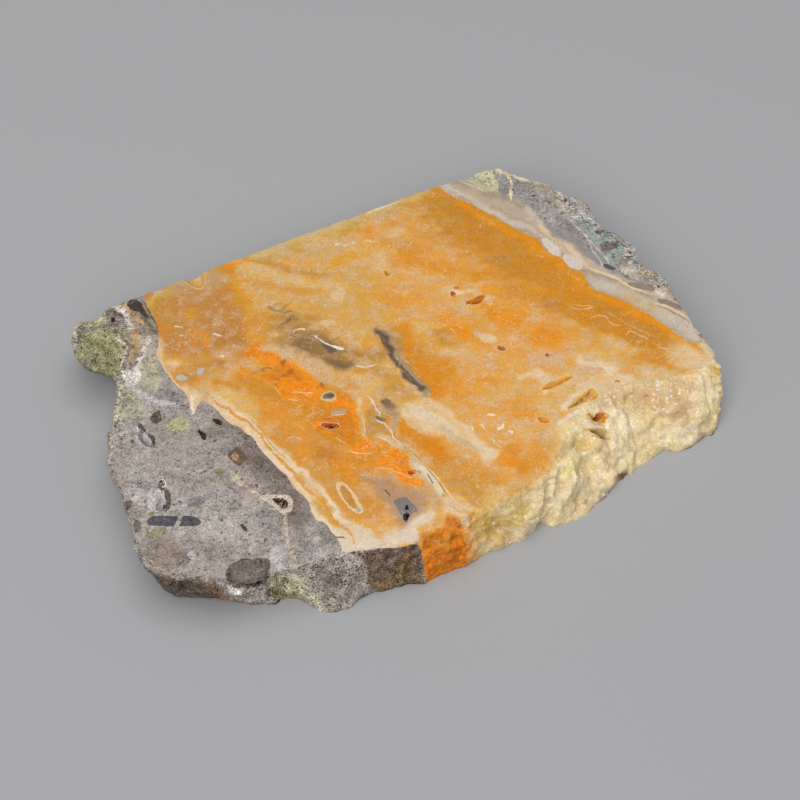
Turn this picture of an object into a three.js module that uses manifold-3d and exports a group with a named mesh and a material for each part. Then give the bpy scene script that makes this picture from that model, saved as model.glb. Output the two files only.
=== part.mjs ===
// Bumblebee jasper slice: one natural stone, sawn flat below, polished flat above, broken round its side.
// Millimetres. +X runs to the right along the slice, +Y to its straight back edge, +Z up from the sawn face.
import * as THREE from 'three';
import { mergeVertices } from 'three/addons/utils/BufferGeometryUtils.js';
import Module from 'manifold-3d';

const THICKNESS = 15; // from the sawn face up to the polished face
const MIDDLE = [1.2, -0.7]; // middle of the footprint in the drawn stations; the model's origin goes there
const COLUMN_STEP = 2.1; // spacing of the columns of faces round the side
const DEPTH_LEVELS = [0, 0.07, 0.18, 0.32, 0.48, 0.64, 0.8, 0.92, 1]; // rows of the side, as shares of the depth
const BLEND_COLUMNS = 2; // neighbours each way that soften a change from one stretch of side to the next
const EDGE_RELIEF = 0.3; // share of a stretch's relief left at the polished edge
const FOOT_RELIEF = 0.5; // share of it left at the sawn edge
const RELIEF_DEPTH = 0.16; // share of the depth over which the relief grows in from either edge
const LIP_DEPTH = 0.1; // share of the depth over which a lip comes out below the polished edge
const CLEARANCE = 2; // how far a pit's cutter stands above the polished face

const STONE = { color: 0xcf9440, roughness: 0.45, metalness: 0 };

// The side is one closed run of stretches, clockwise from the tip of the left lobe as seen from above.
// A station is [edge x, edge y, foot x, foot y]: a point of the polished edge, and the point of the sawn edge
// below it. lip and belly swell the side outwards, under its edge and half way down. flare over 1 holds the
// side steep at the top, and under 1 lets it fall away. relief is the height of its lumps, lump their length.
const SIDE = [
  {
    name: 'back of the lobe', lip: 0.8, belly: 0.8, flare: 1.2, relief: 0.8, lump: 5,
    stations: [
      [-92, 11.5, -88.6, 13], [-90, 12.8, -87.6, 13.6], [-85.6, 13.6, -85, 13.2], [-83.4, 17.2, -82.6, 16.6],
      [-80.4, 19.4, -80, 20], [-76, 21.8, -75.6, 22.6],
    ],
  },
  {
    name: 'straight back edge', lip: 0.2, belly: 0.3, flare: 1, relief: 0.5, lump: 7,
    stations: [
      [-70, 25.1, -69.6, 26], [-62, 29.2, -61.6, 30.3], [-56, 32.6, -55.4, 33.4], [-50, 36, -49.7, 36.6],
      [-42, 40.3, -41.6, 41.5], [-30, 46.4, -29.5, 47], [-20, 51.8, -19.6, 53], [-10, 56.7, -10.4, 57.8],
      [-4, 60.2, -3.8, 60.8], [5.2, 65, 5, 65.8], [12, 68.3, 12, 69.2], [20, 71.8, 20, 72.4],
      [23, 72.6, 23, 73], [26.6, 75.2, 27, 74.6],
    ],
  },
  {
    name: 'top corner', lip: 0.4, belly: 0.3, flare: 1, relief: 0.6, lump: 5,
    stations: [
      [31, 77, 31, 76], [33.4, 77.2, 33.6, 75.8], [38, 74.3, 38.6, 74], [42.2, 72.2, 42.4, 71.6],
      [47, 70.8, 47.4, 70.4],
    ],
  },
  {
    name: 'chipped right edge', lip: 3.4, belly: 0.4, flare: 1.3, relief: 1.2, lump: 4,
    stations: [
      [50.6, 67.4, 52.4, 67.4], [52.6, 64.4, 54.8, 64.6], [56, 61, 58.4, 61.6], [57.4, 58.4, 60, 58.4],
      [58.4, 55.2, 61, 55.2], [59.6, 52.4, 62, 52.8], [63.6, 48.8, 66, 49.2], [67.2, 46.6, 69.6, 47],
      [68.8, 44.4, 71, 44.6], [70.4, 42.6, 72.6, 42], [71, 40, 73.6, 39.4], [71.6, 37.2, 74.4, 36.4],
      [73, 34.6, 76, 34], [76.4, 31.2, 79, 31], [78.6, 29, 81, 28.6],
    ],
  },
  {
    name: 'right edge', lip: 0.5, belly: 0.5, flare: 1, relief: 0.7, lump: 6,
    stations: [
      [80.6, 26.8, 82, 26.4], [83, 21.4, 84.6, 20.8], [85.4, 16.6, 87, 16], [87, 13, 88.8, 12.2],
    ],
  },
  {
    name: 'yellow crust at the right end', lip: 2, belly: 0.4, flare: 0.9, relief: 1.1, lump: 5,
    stations: [
      [88, 8.8, 91, 8], [89.4, 5.2, 92.4, 4.4], [90.8, 1.6, 93.2, 1], [91.4, -2.4, 93.6, -4.4],
      [90.2, -4.6, 93.8, -8.6],
    ],
  },
  {
    name: 'tan shoulder of the crust', lip: 0.6, belly: 1.6, flare: 0.9, relief: 1.1, lump: 7,
    stations: [
      [88.6, -4.9, 93.8, -12.2], [87, -5, 93, -14.8], [85.6, -5.1, 91, -17.4], [84, -5.2, 88.8, -18.2], [81.4, -6.6, 85.2, -21.2], [78.4, -8.4, 81.4, -22.9],
      [75, -9.4, 77.4, -22.4], [71, -10, 74.4, -25], [68, -10.6, 72, -27.6], [65.6, -11.2, 69.2, -29.2],
    ],
  },
  {
    name: 'rough slope of the crust', lip: 0.5, belly: 2.2, flare: 0.95, relief: 1.9, lump: 8,
    stations: [
      [64, -12, 67.6, -31.8], [62.4, -12.8, 66, -31.4], [60, -14, 63, -33.8], [57, -15.2, 62, -36.4],
      [54.4, -16.8, 59.6, -39.6], [52.4, -18.6, 56.6, -42.6], [50.8, -21, 53.6, -45.6],
      [49.8, -24.6, 51.6, -46.8], [49, -28.8, 49.6, -47.8], [47, -32.6, 47.4, -48.4],
      [45, -36, 44.8, -49.8], [42.6, -40, 42.2, -48.8], [40.6, -44, 39.6, -50.2],
    ],
  },
  {
    name: 'front below the orange field', lip: 0.3, belly: 0.6, flare: 1, relief: 0.8, lump: 6,
    stations: [
      [37, -46.2, 38.2, -52.4], [34, -48.4, 35.6, -55], [31.4, -50, 33.2, -55.2], [29, -51.6, 30.2, -57.2],
      [25, -52.8, 27.2, -57.6], [22.4, -54.8, 23.6, -60.2], [20, -57.4, 20.6, -62.4],
      [15, -60, 16.4, -64.4], [11.8, -60.8, 12.2, -66.4], [9, -62.4, 9.2, -68.4],
    ],
  },
  {
    name: 'dark front', lip: 0.3, belly: 0.5, flare: 1.1, relief: 0.8, lump: 5,
    stations: [
      [7, -64.6, 5, -68.2], [3, -66.4, 2, -69.6], [-1.4, -65.8, -1.2, -70.8], [-5.6, -67.2, -5.4, -72.2],
      [-9, -67.9, -8.4, -73.8], [-12, -68.3, -11.6, -76.8],
    ],
  },
  {
    name: 'foot that juts forward', lip: 0.2, belly: 0.2, flare: 1.15, relief: 0.7, lump: 4,
    stations: [
      [-14.6, -68.8, -14.6, -77.6], [-17, -70.6, -17.6, -77.6], [-20.2, -72.2, -20.2, -76.6],
      [-22.4, -72.8, -22.2, -74.8],
    ],
  },
  {
    name: 'granular bay', lip: 0.2, belly: -2.6, flare: 1, relief: 1, lump: 3.4,
    stations: [[-24.4, -74.2, -24.8, -73.6], [-27.2, -74.8, -27.6, -73.4], [-29.6, -75.2, -30.4, -74.4]],
  },
  {
    name: 'undercut front', lip: 0.5, belly: 1, flare: 1.2, relief: 0.8, lump: 6,
    stations: [
      [-34, -76.9, -34.4, -75.2], [-38, -77.4, -38.4, -75], [-42, -77.6, -42.4, -74.2],
      [-46, -77.2, -46.4, -73.4], [-52, -76.8, -52, -73], [-57, -76.4, -57, -72.6], [-60.6, -74.8, -60.4, -70.4],
      [-63.8, -72, -62.4, -67.4], [-65.6, -67.6, -63.8, -63.4],
    ],
  },
  {
    name: 'left side', lip: 0.3, belly: 0.4, flare: 1.1, relief: 0.8, lump: 6,
    stations: [
      [-67.4, -62.6, -64.8, -59], [-69, -58, -65.8, -55], [-70.6, -54, -67.4, -51], [-71.8, -49.4, -68.8, -46.6],
      [-73.8, -45.4, -70.8, -42.2], [-76, -41.6, -73.6, -38.4], [-77.5, -37.6, -75.4, -35.6],
      [-77, -34.4, -75.2, -33], [-78.1, -28.6, -76.4, -28], [-76.8, -24.6, -75.2, -24],
      [-77.4, -19, -75.8, -18.6], [-76.8, -14, -75.2, -12.6],
    ],
  },
  {
    name: 'undercut lobe', lip: 0.5, belly: 0.3, flare: 1.35, relief: 0.8, lump: 4,
    stations: [
      [-77.4, -9.6, -75.8, -3.6], [-79.2, -6, -76.8, 2.4], [-82.4, -5, -79.4, 6.2], [-85.6, -4.6, -82, 7.8],
      [-88, -2.8, -84.2, 9], [-89.6, 0.4, -85.8, 10.2], [-90.8, 4.4, -86.8, 11.4], [-91.8, 8.4, -87.8, 12.4],
    ],
  },
];

// Pits that are open in the surface: outline points [x, y], and the depth of the floor below the polished face.
const PITS = [
  { name: 'half-moon pit', depth: 3.2, outline: [[22.4, 20.6], [25, 21], [27, 23.2], [25.4, 24.2], [23, 22.6]] },
  { name: 'small pit beside it', depth: 1.6, outline: [[17.4, 23.6], [18.8, 23.8], [18.6, 25], [17.4, 24.8]] },
  { name: 'three-sided pit', depth: 1.8, outline: [[-2.2, 34.2], [-1.2, 30.8], [0.4, 32]] },
  {
    name: 'upper slit by the crust', depth: 4,
    outline: [[42.8, -12], [46.4, -11.4], [51, -8], [48.4, -8.6], [45, -10.4]],
  },
  {
    name: 'wedge slit by the crust', depth: 6,
    outline: [[49.4, -19.8], [52.6, -18.8], [57.6, -15.8], [56, -11.8], [53, -15]],
  },
  {
    name: 'forked hollow in the crust', depth: 9,
    outline: [[54.6, -22], [56.4, -23], [58.2, -21.8], [60, -23], [58.6, -26.4], [55.8, -25]],
  },
  {
    name: 'lower hollow in the crust', depth: 11,
    outline: [[53, -27.4], [56.4, -27], [59.4, -28.8], [59.8, -31.4], [57, -31], [54, -29.6]],
  },
  { name: 'orange hole', depth: 2.2, outline: [[41, -23.4], [42.6, -24.6], [43.9, -24.2], [42.4, -22.9]] },
  { name: 'red oval', depth: 1.4, outline: [[-19.2, -25.6], [-17, -26.9], [-14.8, -26.2], [-16.8, -25.1]] },
  {
    name: 'white-lined hollow on the left', depth: 4,
    outline: [[-70.2, -25.8], [-68.2, -29], [-65.6, -30.8], [-65, -33.8], [-66.8, -34.2], [-70.4, -30]],
  },
  {
    name: 'white-lined hollow near the lens', depth: 4,
    outline: [[-63, -47.6], [-60.2, -50], [-59.5, -53.2], [-60.2, -55.6], [-63, -54], [-64.4, -49.6]],
  },
  { name: 'small hollow above it', depth: 2, outline: [[-62.8, -46.2], [-61.8, -46.8], [-61.2, -45.6], [-62.2, -45.2]] },
  {
    name: 'hollow in the vein loop', depth: 3.2,
    outline: [[-31.8, -51], [-28.2, -51.2], [-27.4, -54.2], [-29.4, -53.8]],
  },
  { name: 'pit in the grey patch', depth: 3, outline: [[3.6, -57.2], [4.4, -58.4], [5, -57.2], [4.4, -55.9]] },
  { name: 'slot in the grey patch', depth: 1.6, outline: [[4, -54.4], [4.6, -54.8], [5, -53.6], [4.5, -53.2]] },
  { name: 'chip in the back edge', depth: 1.8, outline: [[-60.4, 27.8], [-55.6, 25.6], [-54.2, 28.6], [-56, 36], [-63, 33]] },
  {
    name: 'broken hollow at the front edge', depth: 2.8,
    outline: [[-43.4, -73.2], [-38, -71.4], [-32.4, -70.2], [-31.4, -72.4], [-33, -84], [-42, -84]],
  },
];

// One lattice value between 0 and 1 for a whole-number cell.
function cellValue(x, y, z) {
  const wave = Math.sin(x * 127.1 + y * 311.7 + z * 74.7) * 43758.5453;
  return wave - Math.floor(wave);
}

// Smooth value noise between 0 and 1: the eight cell corners mixed by an eased position in the cell.
function smoothNoise(x, y, z) {
  const ease = (s) => s * s * (3 - 2 * s);
  const mix = (a, b, s) => a + (b - a) * s;
  const [i, j, k] = [Math.floor(x), Math.floor(y), Math.floor(z)];
  const [u, v, w] = [ease(x - i), ease(y - j), ease(z - k)];
  const row = (dj, dk) => mix(cellValue(i, j + dj, k + dk), cellValue(i + 1, j + dj, k + dk), u);
  return mix(mix(row(0, 0), row(1, 0), v), mix(row(0, 1), row(1, 1), v), w);
}

// Broken-stone relief between about -1 and 1: three layers of noise, each half the size of the last.
function lumps(x, y, z, lump) {
  const layer = (size) => smoothNoise(x / size + 31, y / size + 17, z / size + 5) * 2 - 1;
  return (layer(lump) + 0.5 * layer(lump / 2) + 0.25 * layer(lump / 4)) * 1.1;
}

// Columns round the side: stations joined by straight runs and divided evenly, each with its stretch's values.
function sideColumns() {
  const stops = SIDE.flatMap(({ stations, name, ...look }) => stations.map((station) => ({ station, look })));
  const columns = stops.flatMap((stop, index) => {
    const next = stops[(index + 1) % stops.length];
    const gap = stop.station.map((value, axis) => next.station[axis] - value);
    const run = (Math.hypot(gap[0], gap[1]) + Math.hypot(gap[2], gap[3])) / 2;
    const parts = Math.max(1, Math.round(run / COLUMN_STEP));
    return Array.from({ length: parts }, (_, part) => {
      const share = part / parts;
      const at = stop.station.map((value, axis) => value + gap[axis] * share);
      return { edge: new THREE.Vector2(at[0], at[1]), foot: new THREE.Vector2(at[2], at[3]), look: stop.look };
    });
  });
  return columns.map((column, index) => {
    const near = (step) => columns[(index + step + columns.length) % columns.length];
    const tangent = near(2).edge.clone().add(near(2).foot).sub(near(-2).edge).sub(near(-2).foot).normalize();
    const steps = Array.from({ length: 2 * BLEND_COLUMNS + 1 }, (_, step) => step - BLEND_COLUMNS);
    const mean = (key) => steps.reduce((sum, step) => sum + near(step).look[key], 0) / steps.length;
    const look = Object.fromEntries(Object.keys(column.look).map((key) => [key, mean(key)]));
    return { ...column, look, outward: new THREE.Vector2(-tangent.y, tangent.x) };
  });
}

// A point of the side at a share of the depth: between edge and foot, pushed outwards by belly, lip and lumps.
function sidePoint({ edge, foot, look, outward }, depth) {
  const z = THICKNESS * (1 - depth);
  const flat = edge.clone().lerp(foot, depth ** look.flare);
  const swell = look.belly * 4 * depth * (1 - depth) + look.lip * Math.min(1, depth / LIP_DEPTH) * (1 - depth);
  const grown = Math.min(1, depth / RELIEF_DEPTH);
  const faded = Math.min(1, (1 - depth) / RELIEF_DEPTH);
  const share = Math.min(EDGE_RELIEF + (1 - EDGE_RELIEF) * grown, FOOT_RELIEF + (1 - FOOT_RELIEF) * faded);
  const out = swell + look.relief * share * lumps(flat.x, flat.y, z, look.lump);
  return [flat.x + outward.x * out, flat.y + outward.y * out, z];
}

// Closed body from rings of points with the same count, the first on top: sides in quads, ends triangulated.
function bodyFromRings(drawnRings) {
  const counterClockwise = THREE.ShapeUtils.area(drawnRings[0].map(([x, y]) => ({ x, y }))) > 0;
  const rings = counterClockwise ? drawnRings : drawnRings.map((ring) => ring.toReversed());
  const count = rings[0].length;
  const index = [];
  rings.slice(1).forEach((_, ring) => {
    for (let i = 0; i < count; i += 1) {
      const [a, b] = [ring * count + i, ring * count + ((i + 1) % count)];
      index.push(a, a + count, b, b, a + count, b + count);
    }
  });
  const cap = (ring, offset, flip) => {
    const contour = ring.map(([x, y]) => new THREE.Vector2(x, y));
    THREE.ShapeUtils.triangulateShape(contour, []).forEach(([a, b, c]) => {
      index.push(offset + a, offset + (flip ? c : b), offset + (flip ? b : c));
    });
  };
  cap(rings[0], 0, false);
  cap(rings.at(-1), (rings.length - 1) * count, true);
  const geometry = new THREE.BufferGeometry();
  geometry.setAttribute('position', new THREE.Float32BufferAttribute(rings.flat(2), 3));
  geometry.setIndex(index);
  return geometry;
}

// The slab itself: one ring of side points for each depth level.
function slabGeometry() {
  const columns = sideColumns();
  return bodyFromRings(DEPTH_LEVELS.map((depth) => columns.map((column) => sidePoint(column, depth))));
}

// A cutter for one pit: its outline above the face, drawn in towards the middle at half depth and at the floor.
function pitGeometry({ outline, depth }) {
  const middle = outline.reduce((sum, [x, y]) => [sum[0] + x, sum[1] + y], [0, 0]).map((sum) => sum / outline.length);
  const ring = (scale, z) => outline.map(([x, y]) => [
    middle[0] + (x - middle[0]) * scale,
    middle[1] + (y - middle[1]) * scale,
    z,
  ]);
  return bodyFromRings([
    ring(1, THICKNESS + CLEARANCE),
    ring(0.94, THICKNESS - depth * 0.5),
    ring(0.55, THICKNESS - depth),
  ]);
}

// Manifold solid from a closed geometry.
function toSolid(library, geometry) {
  const merged = mergeVertices(geometry);
  const vertProperties = new Float32Array(merged.attributes.position.array);
  const triVerts = new Uint32Array(merged.index.array);
  return new library.Manifold(new library.Mesh({ numProp: 3, vertProperties, triVerts }));
}

// The finished stone: the slab with every pit cut out of it, moved so that the origin is under its middle.
function stoneGeometry(library) {
  const slab = toSolid(library, slabGeometry());
  const cut = PITS.reduce((solid, pit) => solid.subtract(toSolid(library, pitGeometry(pit))), slab);
  const mesh = cut.getMesh();
  const geometry = new THREE.BufferGeometry();
  geometry.setAttribute('position', new THREE.BufferAttribute(new Float32Array(mesh.vertProperties), 3));
  geometry.setIndex(new THREE.BufferAttribute(new Uint32Array(mesh.triVerts), 1));
  geometry.translate(-MIDDLE[0], -MIDDLE[1], 0);
  geometry.computeVertexNormals();
  return geometry;
}

const wasm = await Module();
wasm.setup();

const slice = new THREE.Mesh(stoneGeometry(wasm), new THREE.MeshStandardMaterial(STONE));
slice.name = 'jasper_slice';

const group = new THREE.Group();
group.add(slice);

export default group;
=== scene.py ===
"""Bumblebee jasper slice: one slab of banded orange stone with grey rock at both ends.

The slab is sawn flat below, polished flat above and broken round its side. It is one closed mesh, worked out
as whole arrays: the polished face and the sawn face are square grids wrapped onto the slab's outline, and the
side is a grid of columns round the outline and rows down the depth. The markings are brush strokes, patches
and veins with given places and pigments, laid on the mesh as attributes, and the material adds the grain.
Sizes in the classes are millimetres in the drawing's own frame; MIDDLE moves them to the model's frame.
"""

import logging
import math
from collections.abc import Sequence
from dataclasses import dataclass, field
from enum import Enum

import bpy
import numpy as np
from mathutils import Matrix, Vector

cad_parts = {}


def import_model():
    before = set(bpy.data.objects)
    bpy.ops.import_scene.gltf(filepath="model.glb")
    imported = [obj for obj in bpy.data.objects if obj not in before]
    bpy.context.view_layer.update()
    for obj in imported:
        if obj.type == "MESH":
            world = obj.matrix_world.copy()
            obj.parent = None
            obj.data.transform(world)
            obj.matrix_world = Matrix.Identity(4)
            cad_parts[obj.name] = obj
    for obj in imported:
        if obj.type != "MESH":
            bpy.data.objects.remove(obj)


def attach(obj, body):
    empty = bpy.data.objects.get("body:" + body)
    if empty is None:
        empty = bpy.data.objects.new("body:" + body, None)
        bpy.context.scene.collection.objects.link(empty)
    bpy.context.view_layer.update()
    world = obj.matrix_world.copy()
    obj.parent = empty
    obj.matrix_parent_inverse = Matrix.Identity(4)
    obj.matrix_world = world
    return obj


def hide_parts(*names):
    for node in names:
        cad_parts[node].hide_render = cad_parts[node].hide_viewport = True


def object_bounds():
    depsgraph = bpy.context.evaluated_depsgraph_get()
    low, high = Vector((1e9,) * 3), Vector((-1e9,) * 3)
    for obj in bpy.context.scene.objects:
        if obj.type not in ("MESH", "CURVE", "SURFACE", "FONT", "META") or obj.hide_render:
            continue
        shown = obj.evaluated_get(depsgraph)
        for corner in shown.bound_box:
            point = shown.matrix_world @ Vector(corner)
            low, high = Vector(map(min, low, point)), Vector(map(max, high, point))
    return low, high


LOG = logging.getLogger("jasper_slice")
MM = 0.001
THICKNESS = 15.0
MIDDLE = (1.2, -0.7)
TINY = 1e-9
Array = np.ndarray
Band = tuple[float, float]
Points = Sequence[Band]
Place = tuple[float, float, float]
Tint = tuple[float, float, float, float]


class Hue(Enum):
    """Colours of the stone, as sRGB hex."""

    SAFFRON = "D08E34"
    SAFFRON_DEEP = "C48A3C"
    BRIGHT_ORANGE = "E8961E"
    ORANGE = "E2973C"
    DEEP_ORANGE = "DA8A22"
    AMBER = "D3964A"
    OCHRE = "C4914A"
    GOLD = "DCA03A"
    HONEY = "D6A869"
    PALE_HONEY = "DEB881"
    TAN = "CA9851"
    ROSE_TAN = "C28C54"
    ROSE = "BA8150"
    PEACH = "E0AA6A"
    PINK = "DDB48F"
    CREAM = "E3C49B"
    PALE_CREAM = "E9D5B8"
    WHITE = "E8DDD0"
    YELLOW_EDGE = "C9AE6C"
    PALE_EDGE = "D1B987"
    PALE_TAUPE = "D2B998"
    HONEY_GREY = "CEAC7B"
    ROSE_GREY = "C39F78"
    YELLOW_OLIVE = "C8A447"
    VIVID = "F39620"
    VIVID_DEEP = "D98624"
    ORANGE_ROCK = "D6822A"
    BROWN_SPOT = "8A5020"
    STONE_WHITE = "E0CDB4"
    PATCH_GREY = "827C75"
    BURNT = "B9702C"
    BURNT_RED = "B0541A"
    FORK_ORANGE = "D08A30"
    # gold slit floors, laid lighter as painted light against the shade in the slits
    PIT_GOLD = "DDAE5C"
    RED_BROWN = "BC560E"
    # pale crust, and painted light that lifts slopes turned away from the lamps
    CRUST_PALE_AND_LIT = "ECD59C"
    CLAST_TAN = "8E8275"
    MAUVE = "B49078"
    HOLLOW_PALE = "CDC7C2"
    CLAST_KHAKI = "A9A37C"
    SPECKLED = "D9B185"
    SMOKE = "6E5C4C"
    SMOKE_OLIVE = "93724A"
    STREAK = "5C5048"
    HALO = "A98E72"
    TONGUE = "E4C69C"
    TAUPE = "B49F8A"
    MUSTARD = "B47A18"
    ROCK = "9C9288"
    ROCK_WARM = "93877B"
    ROCK_LIGHT = "AEA69C"
    ROCK_PALE = "BDB6B0"
    ROCK_BLUE = "87827F"
    ROCK_DARK = "766B62"
    KHAKI = "B4AC94"
    KHAKI_GREEN = "B9B490"
    LOBE_GREEN = "928D6C"
    LOBE_DARK = "6E6A48"
    GREY_GREEN = "AAA48C"
    PURPLE_GREY = "979089"
    CLAST_GREEN = "949991"
    SLATE = "5A585B"
    UMBER = "4E443B"
    DARK_BROWN = "66584A"
    OLIVE_BROWN = "6C5B40"
    RUST = "8C6040"
    BAND_WHITE = "BFAD97"
    BAND_PALE = "CABBA7"
    BAND_BEIGE = "BAA58A"
    BAND_TAUPE = "A8967F"
    BOTRYOID = "D4C6B7"
    CRUST_YELLOW = "DBC598"
    CRUST_PALE = "DAC7A3"
    CRUST_WHITE = "E1CFAD"
    CRUST_TAN = "C6A578"
    CRUST_GREEN = "C6A14C"
    DARK_PIT = "4A3A2C"
    NEAR_BLACK = "2C2018"
    KHAKI_DARK = "8B8468"
    ROCK_DARK_WARM = "958C84"
    TAUPE_DARK = "94836F"
    SMOKE_GREY = "84755A"
    EYE_RING = "D8BE88"
    BRIGHT_OCHRE = "DB9840"
    LOBE_GREY = "7F7673"

    @property
    def tone(self) -> Array:
        """The pigment as three sRGB numbers between 0 and 1."""
        return np.array([int(self.value[i : i + 2], 16) for i in (0, 2, 4)]) / 255.0


def to_linear(tones: Array) -> Array:
    """sRGB numbers as linear light: a straight toe below 0.04, and a power of 2.4 above it."""
    return np.where(tones <= 0.04045, tones / 12.92, ((tones + 0.055) / 1.055) ** 2.4)


def ramp(low: float, high: float, values: Array) -> Array:
    """Smooth step: 0 below low, 1 above high, and an eased cubic between them."""
    share = np.clip((values - low) / (high - low), 0.0, 1.0)
    return share * share * (3.0 - 2.0 * share)


def lattice(i: Array, j: Array, k: Array) -> Array:
    """One value between 0 and 1 for each whole-number cell: the broken-off part of a large sine."""
    wave = np.sin(i * 127.1 + j * 311.7 + k * 74.7) * 43758.5453
    return wave - np.floor(wave)


def smooth_noise(places: Array) -> Array:
    """Value noise: the eight corners of a cell mixed by the eased place inside it.

    Args:
        places: Points, three numbers each.

    Returns:
        A number between 0 and 1 for each point.
    """
    cell = np.floor(places)
    u, v, w = (ramp(0.0, 1.0, (places - cell)[:, axis]) for axis in range(3))
    i, j, k = cell.T

    def row(dj: int, dk: int) -> Array:
        """The mix along x of two neighbouring corners."""
        start = lattice(i, j + dj, k + dk)
        return start + (lattice(i + 1, j + dj, k + dk) - start) * u

    near = row(0, 0) + (row(1, 0) - row(0, 0)) * v
    far = row(0, 1) + (row(1, 1) - row(0, 1)) * v
    return near + (far - near) * w


def lumps(places: Array, length: Array | float) -> Array:
    """Broken relief: three layers of noise, each half as long and half as high as the last.

    Args:
        places: Points, three numbers each.
        length: Length of the largest lumps, one for all points or one for each.

    Returns:
        A height between about -1 and 1 for each point.
    """
    layers, gain = 3, 1.1
    shift = np.array([31.0, 17.0, 5.0])
    total = np.zeros(len(places))
    for layer in range(layers):
        size = np.reshape(length, (-1, 1)) / 2**layer
        total += (smooth_noise(places / size + shift) * 2.0 - 1.0) / 2**layer
    return total * gain


def crystals(places: Array, size: float, seed: float) -> Array:
    """Broken blocks: every point takes the height of its nearest seed, eased to none at the joints.

    Args:
        places: Points, three numbers each.
        size: Mean width of a block.
        seed: Shifts the pattern.

    Returns:
        A height between -1 and 1 for each point.
    """
    joint = 0.4
    spot = places / size + seed
    cell = np.floor(spot)
    nearest = np.full(len(spot), np.inf)
    second = np.full(len(spot), np.inf)
    height = np.zeros(len(spot))
    for step in np.ndindex(3, 3, 3):
        i, j, k = (cell + np.array(step) - 1.0).T
        offsets = [lattice(i + shift, j + shift, k) for shift in (0.0, 51.0, 97.0)]
        gap = np.linalg.norm(np.column_stack([i, j, k]) + np.column_stack(offsets) - spot, axis=1)
        closer = gap < nearest
        second = np.where(closer, nearest, np.minimum(second, gap))
        height = np.where(closer, lattice(i + 13.0, j, k + 29.0) * 2.0 - 1.0, height)
        nearest = np.minimum(nearest, gap)
    return height * ramp(0.0, joint, second - nearest)


@dataclass(frozen=True)
class Stretch:
    """One stretch of the side.

    Stations are (edge x, edge y, foot x, foot y): a point of the polished edge and of the sawn edge below it.
    lip and belly swell the side outwards under its edge and half way down. flare over 1 holds the side steep
    at the top, and under 1 lets it fall away. relief is the height of its lumps and lump their length. grain
    is the height of its fine roughness, and crystal that of the broken blocks on it.
    """

    name: str
    lip: float
    belly: float
    flare: float
    relief: float
    lump: float
    grain: float
    crystal: float
    stations: Sequence[tuple[float, float, float, float]]


@dataclass(frozen=True)
class Pit:
    """An open pit: its outline on the face, the depth of its floor, and the pigments of floor and lining."""

    name: str
    depth: float
    outline: Points
    floor: Hue
    lining: Hue | None = None


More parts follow.
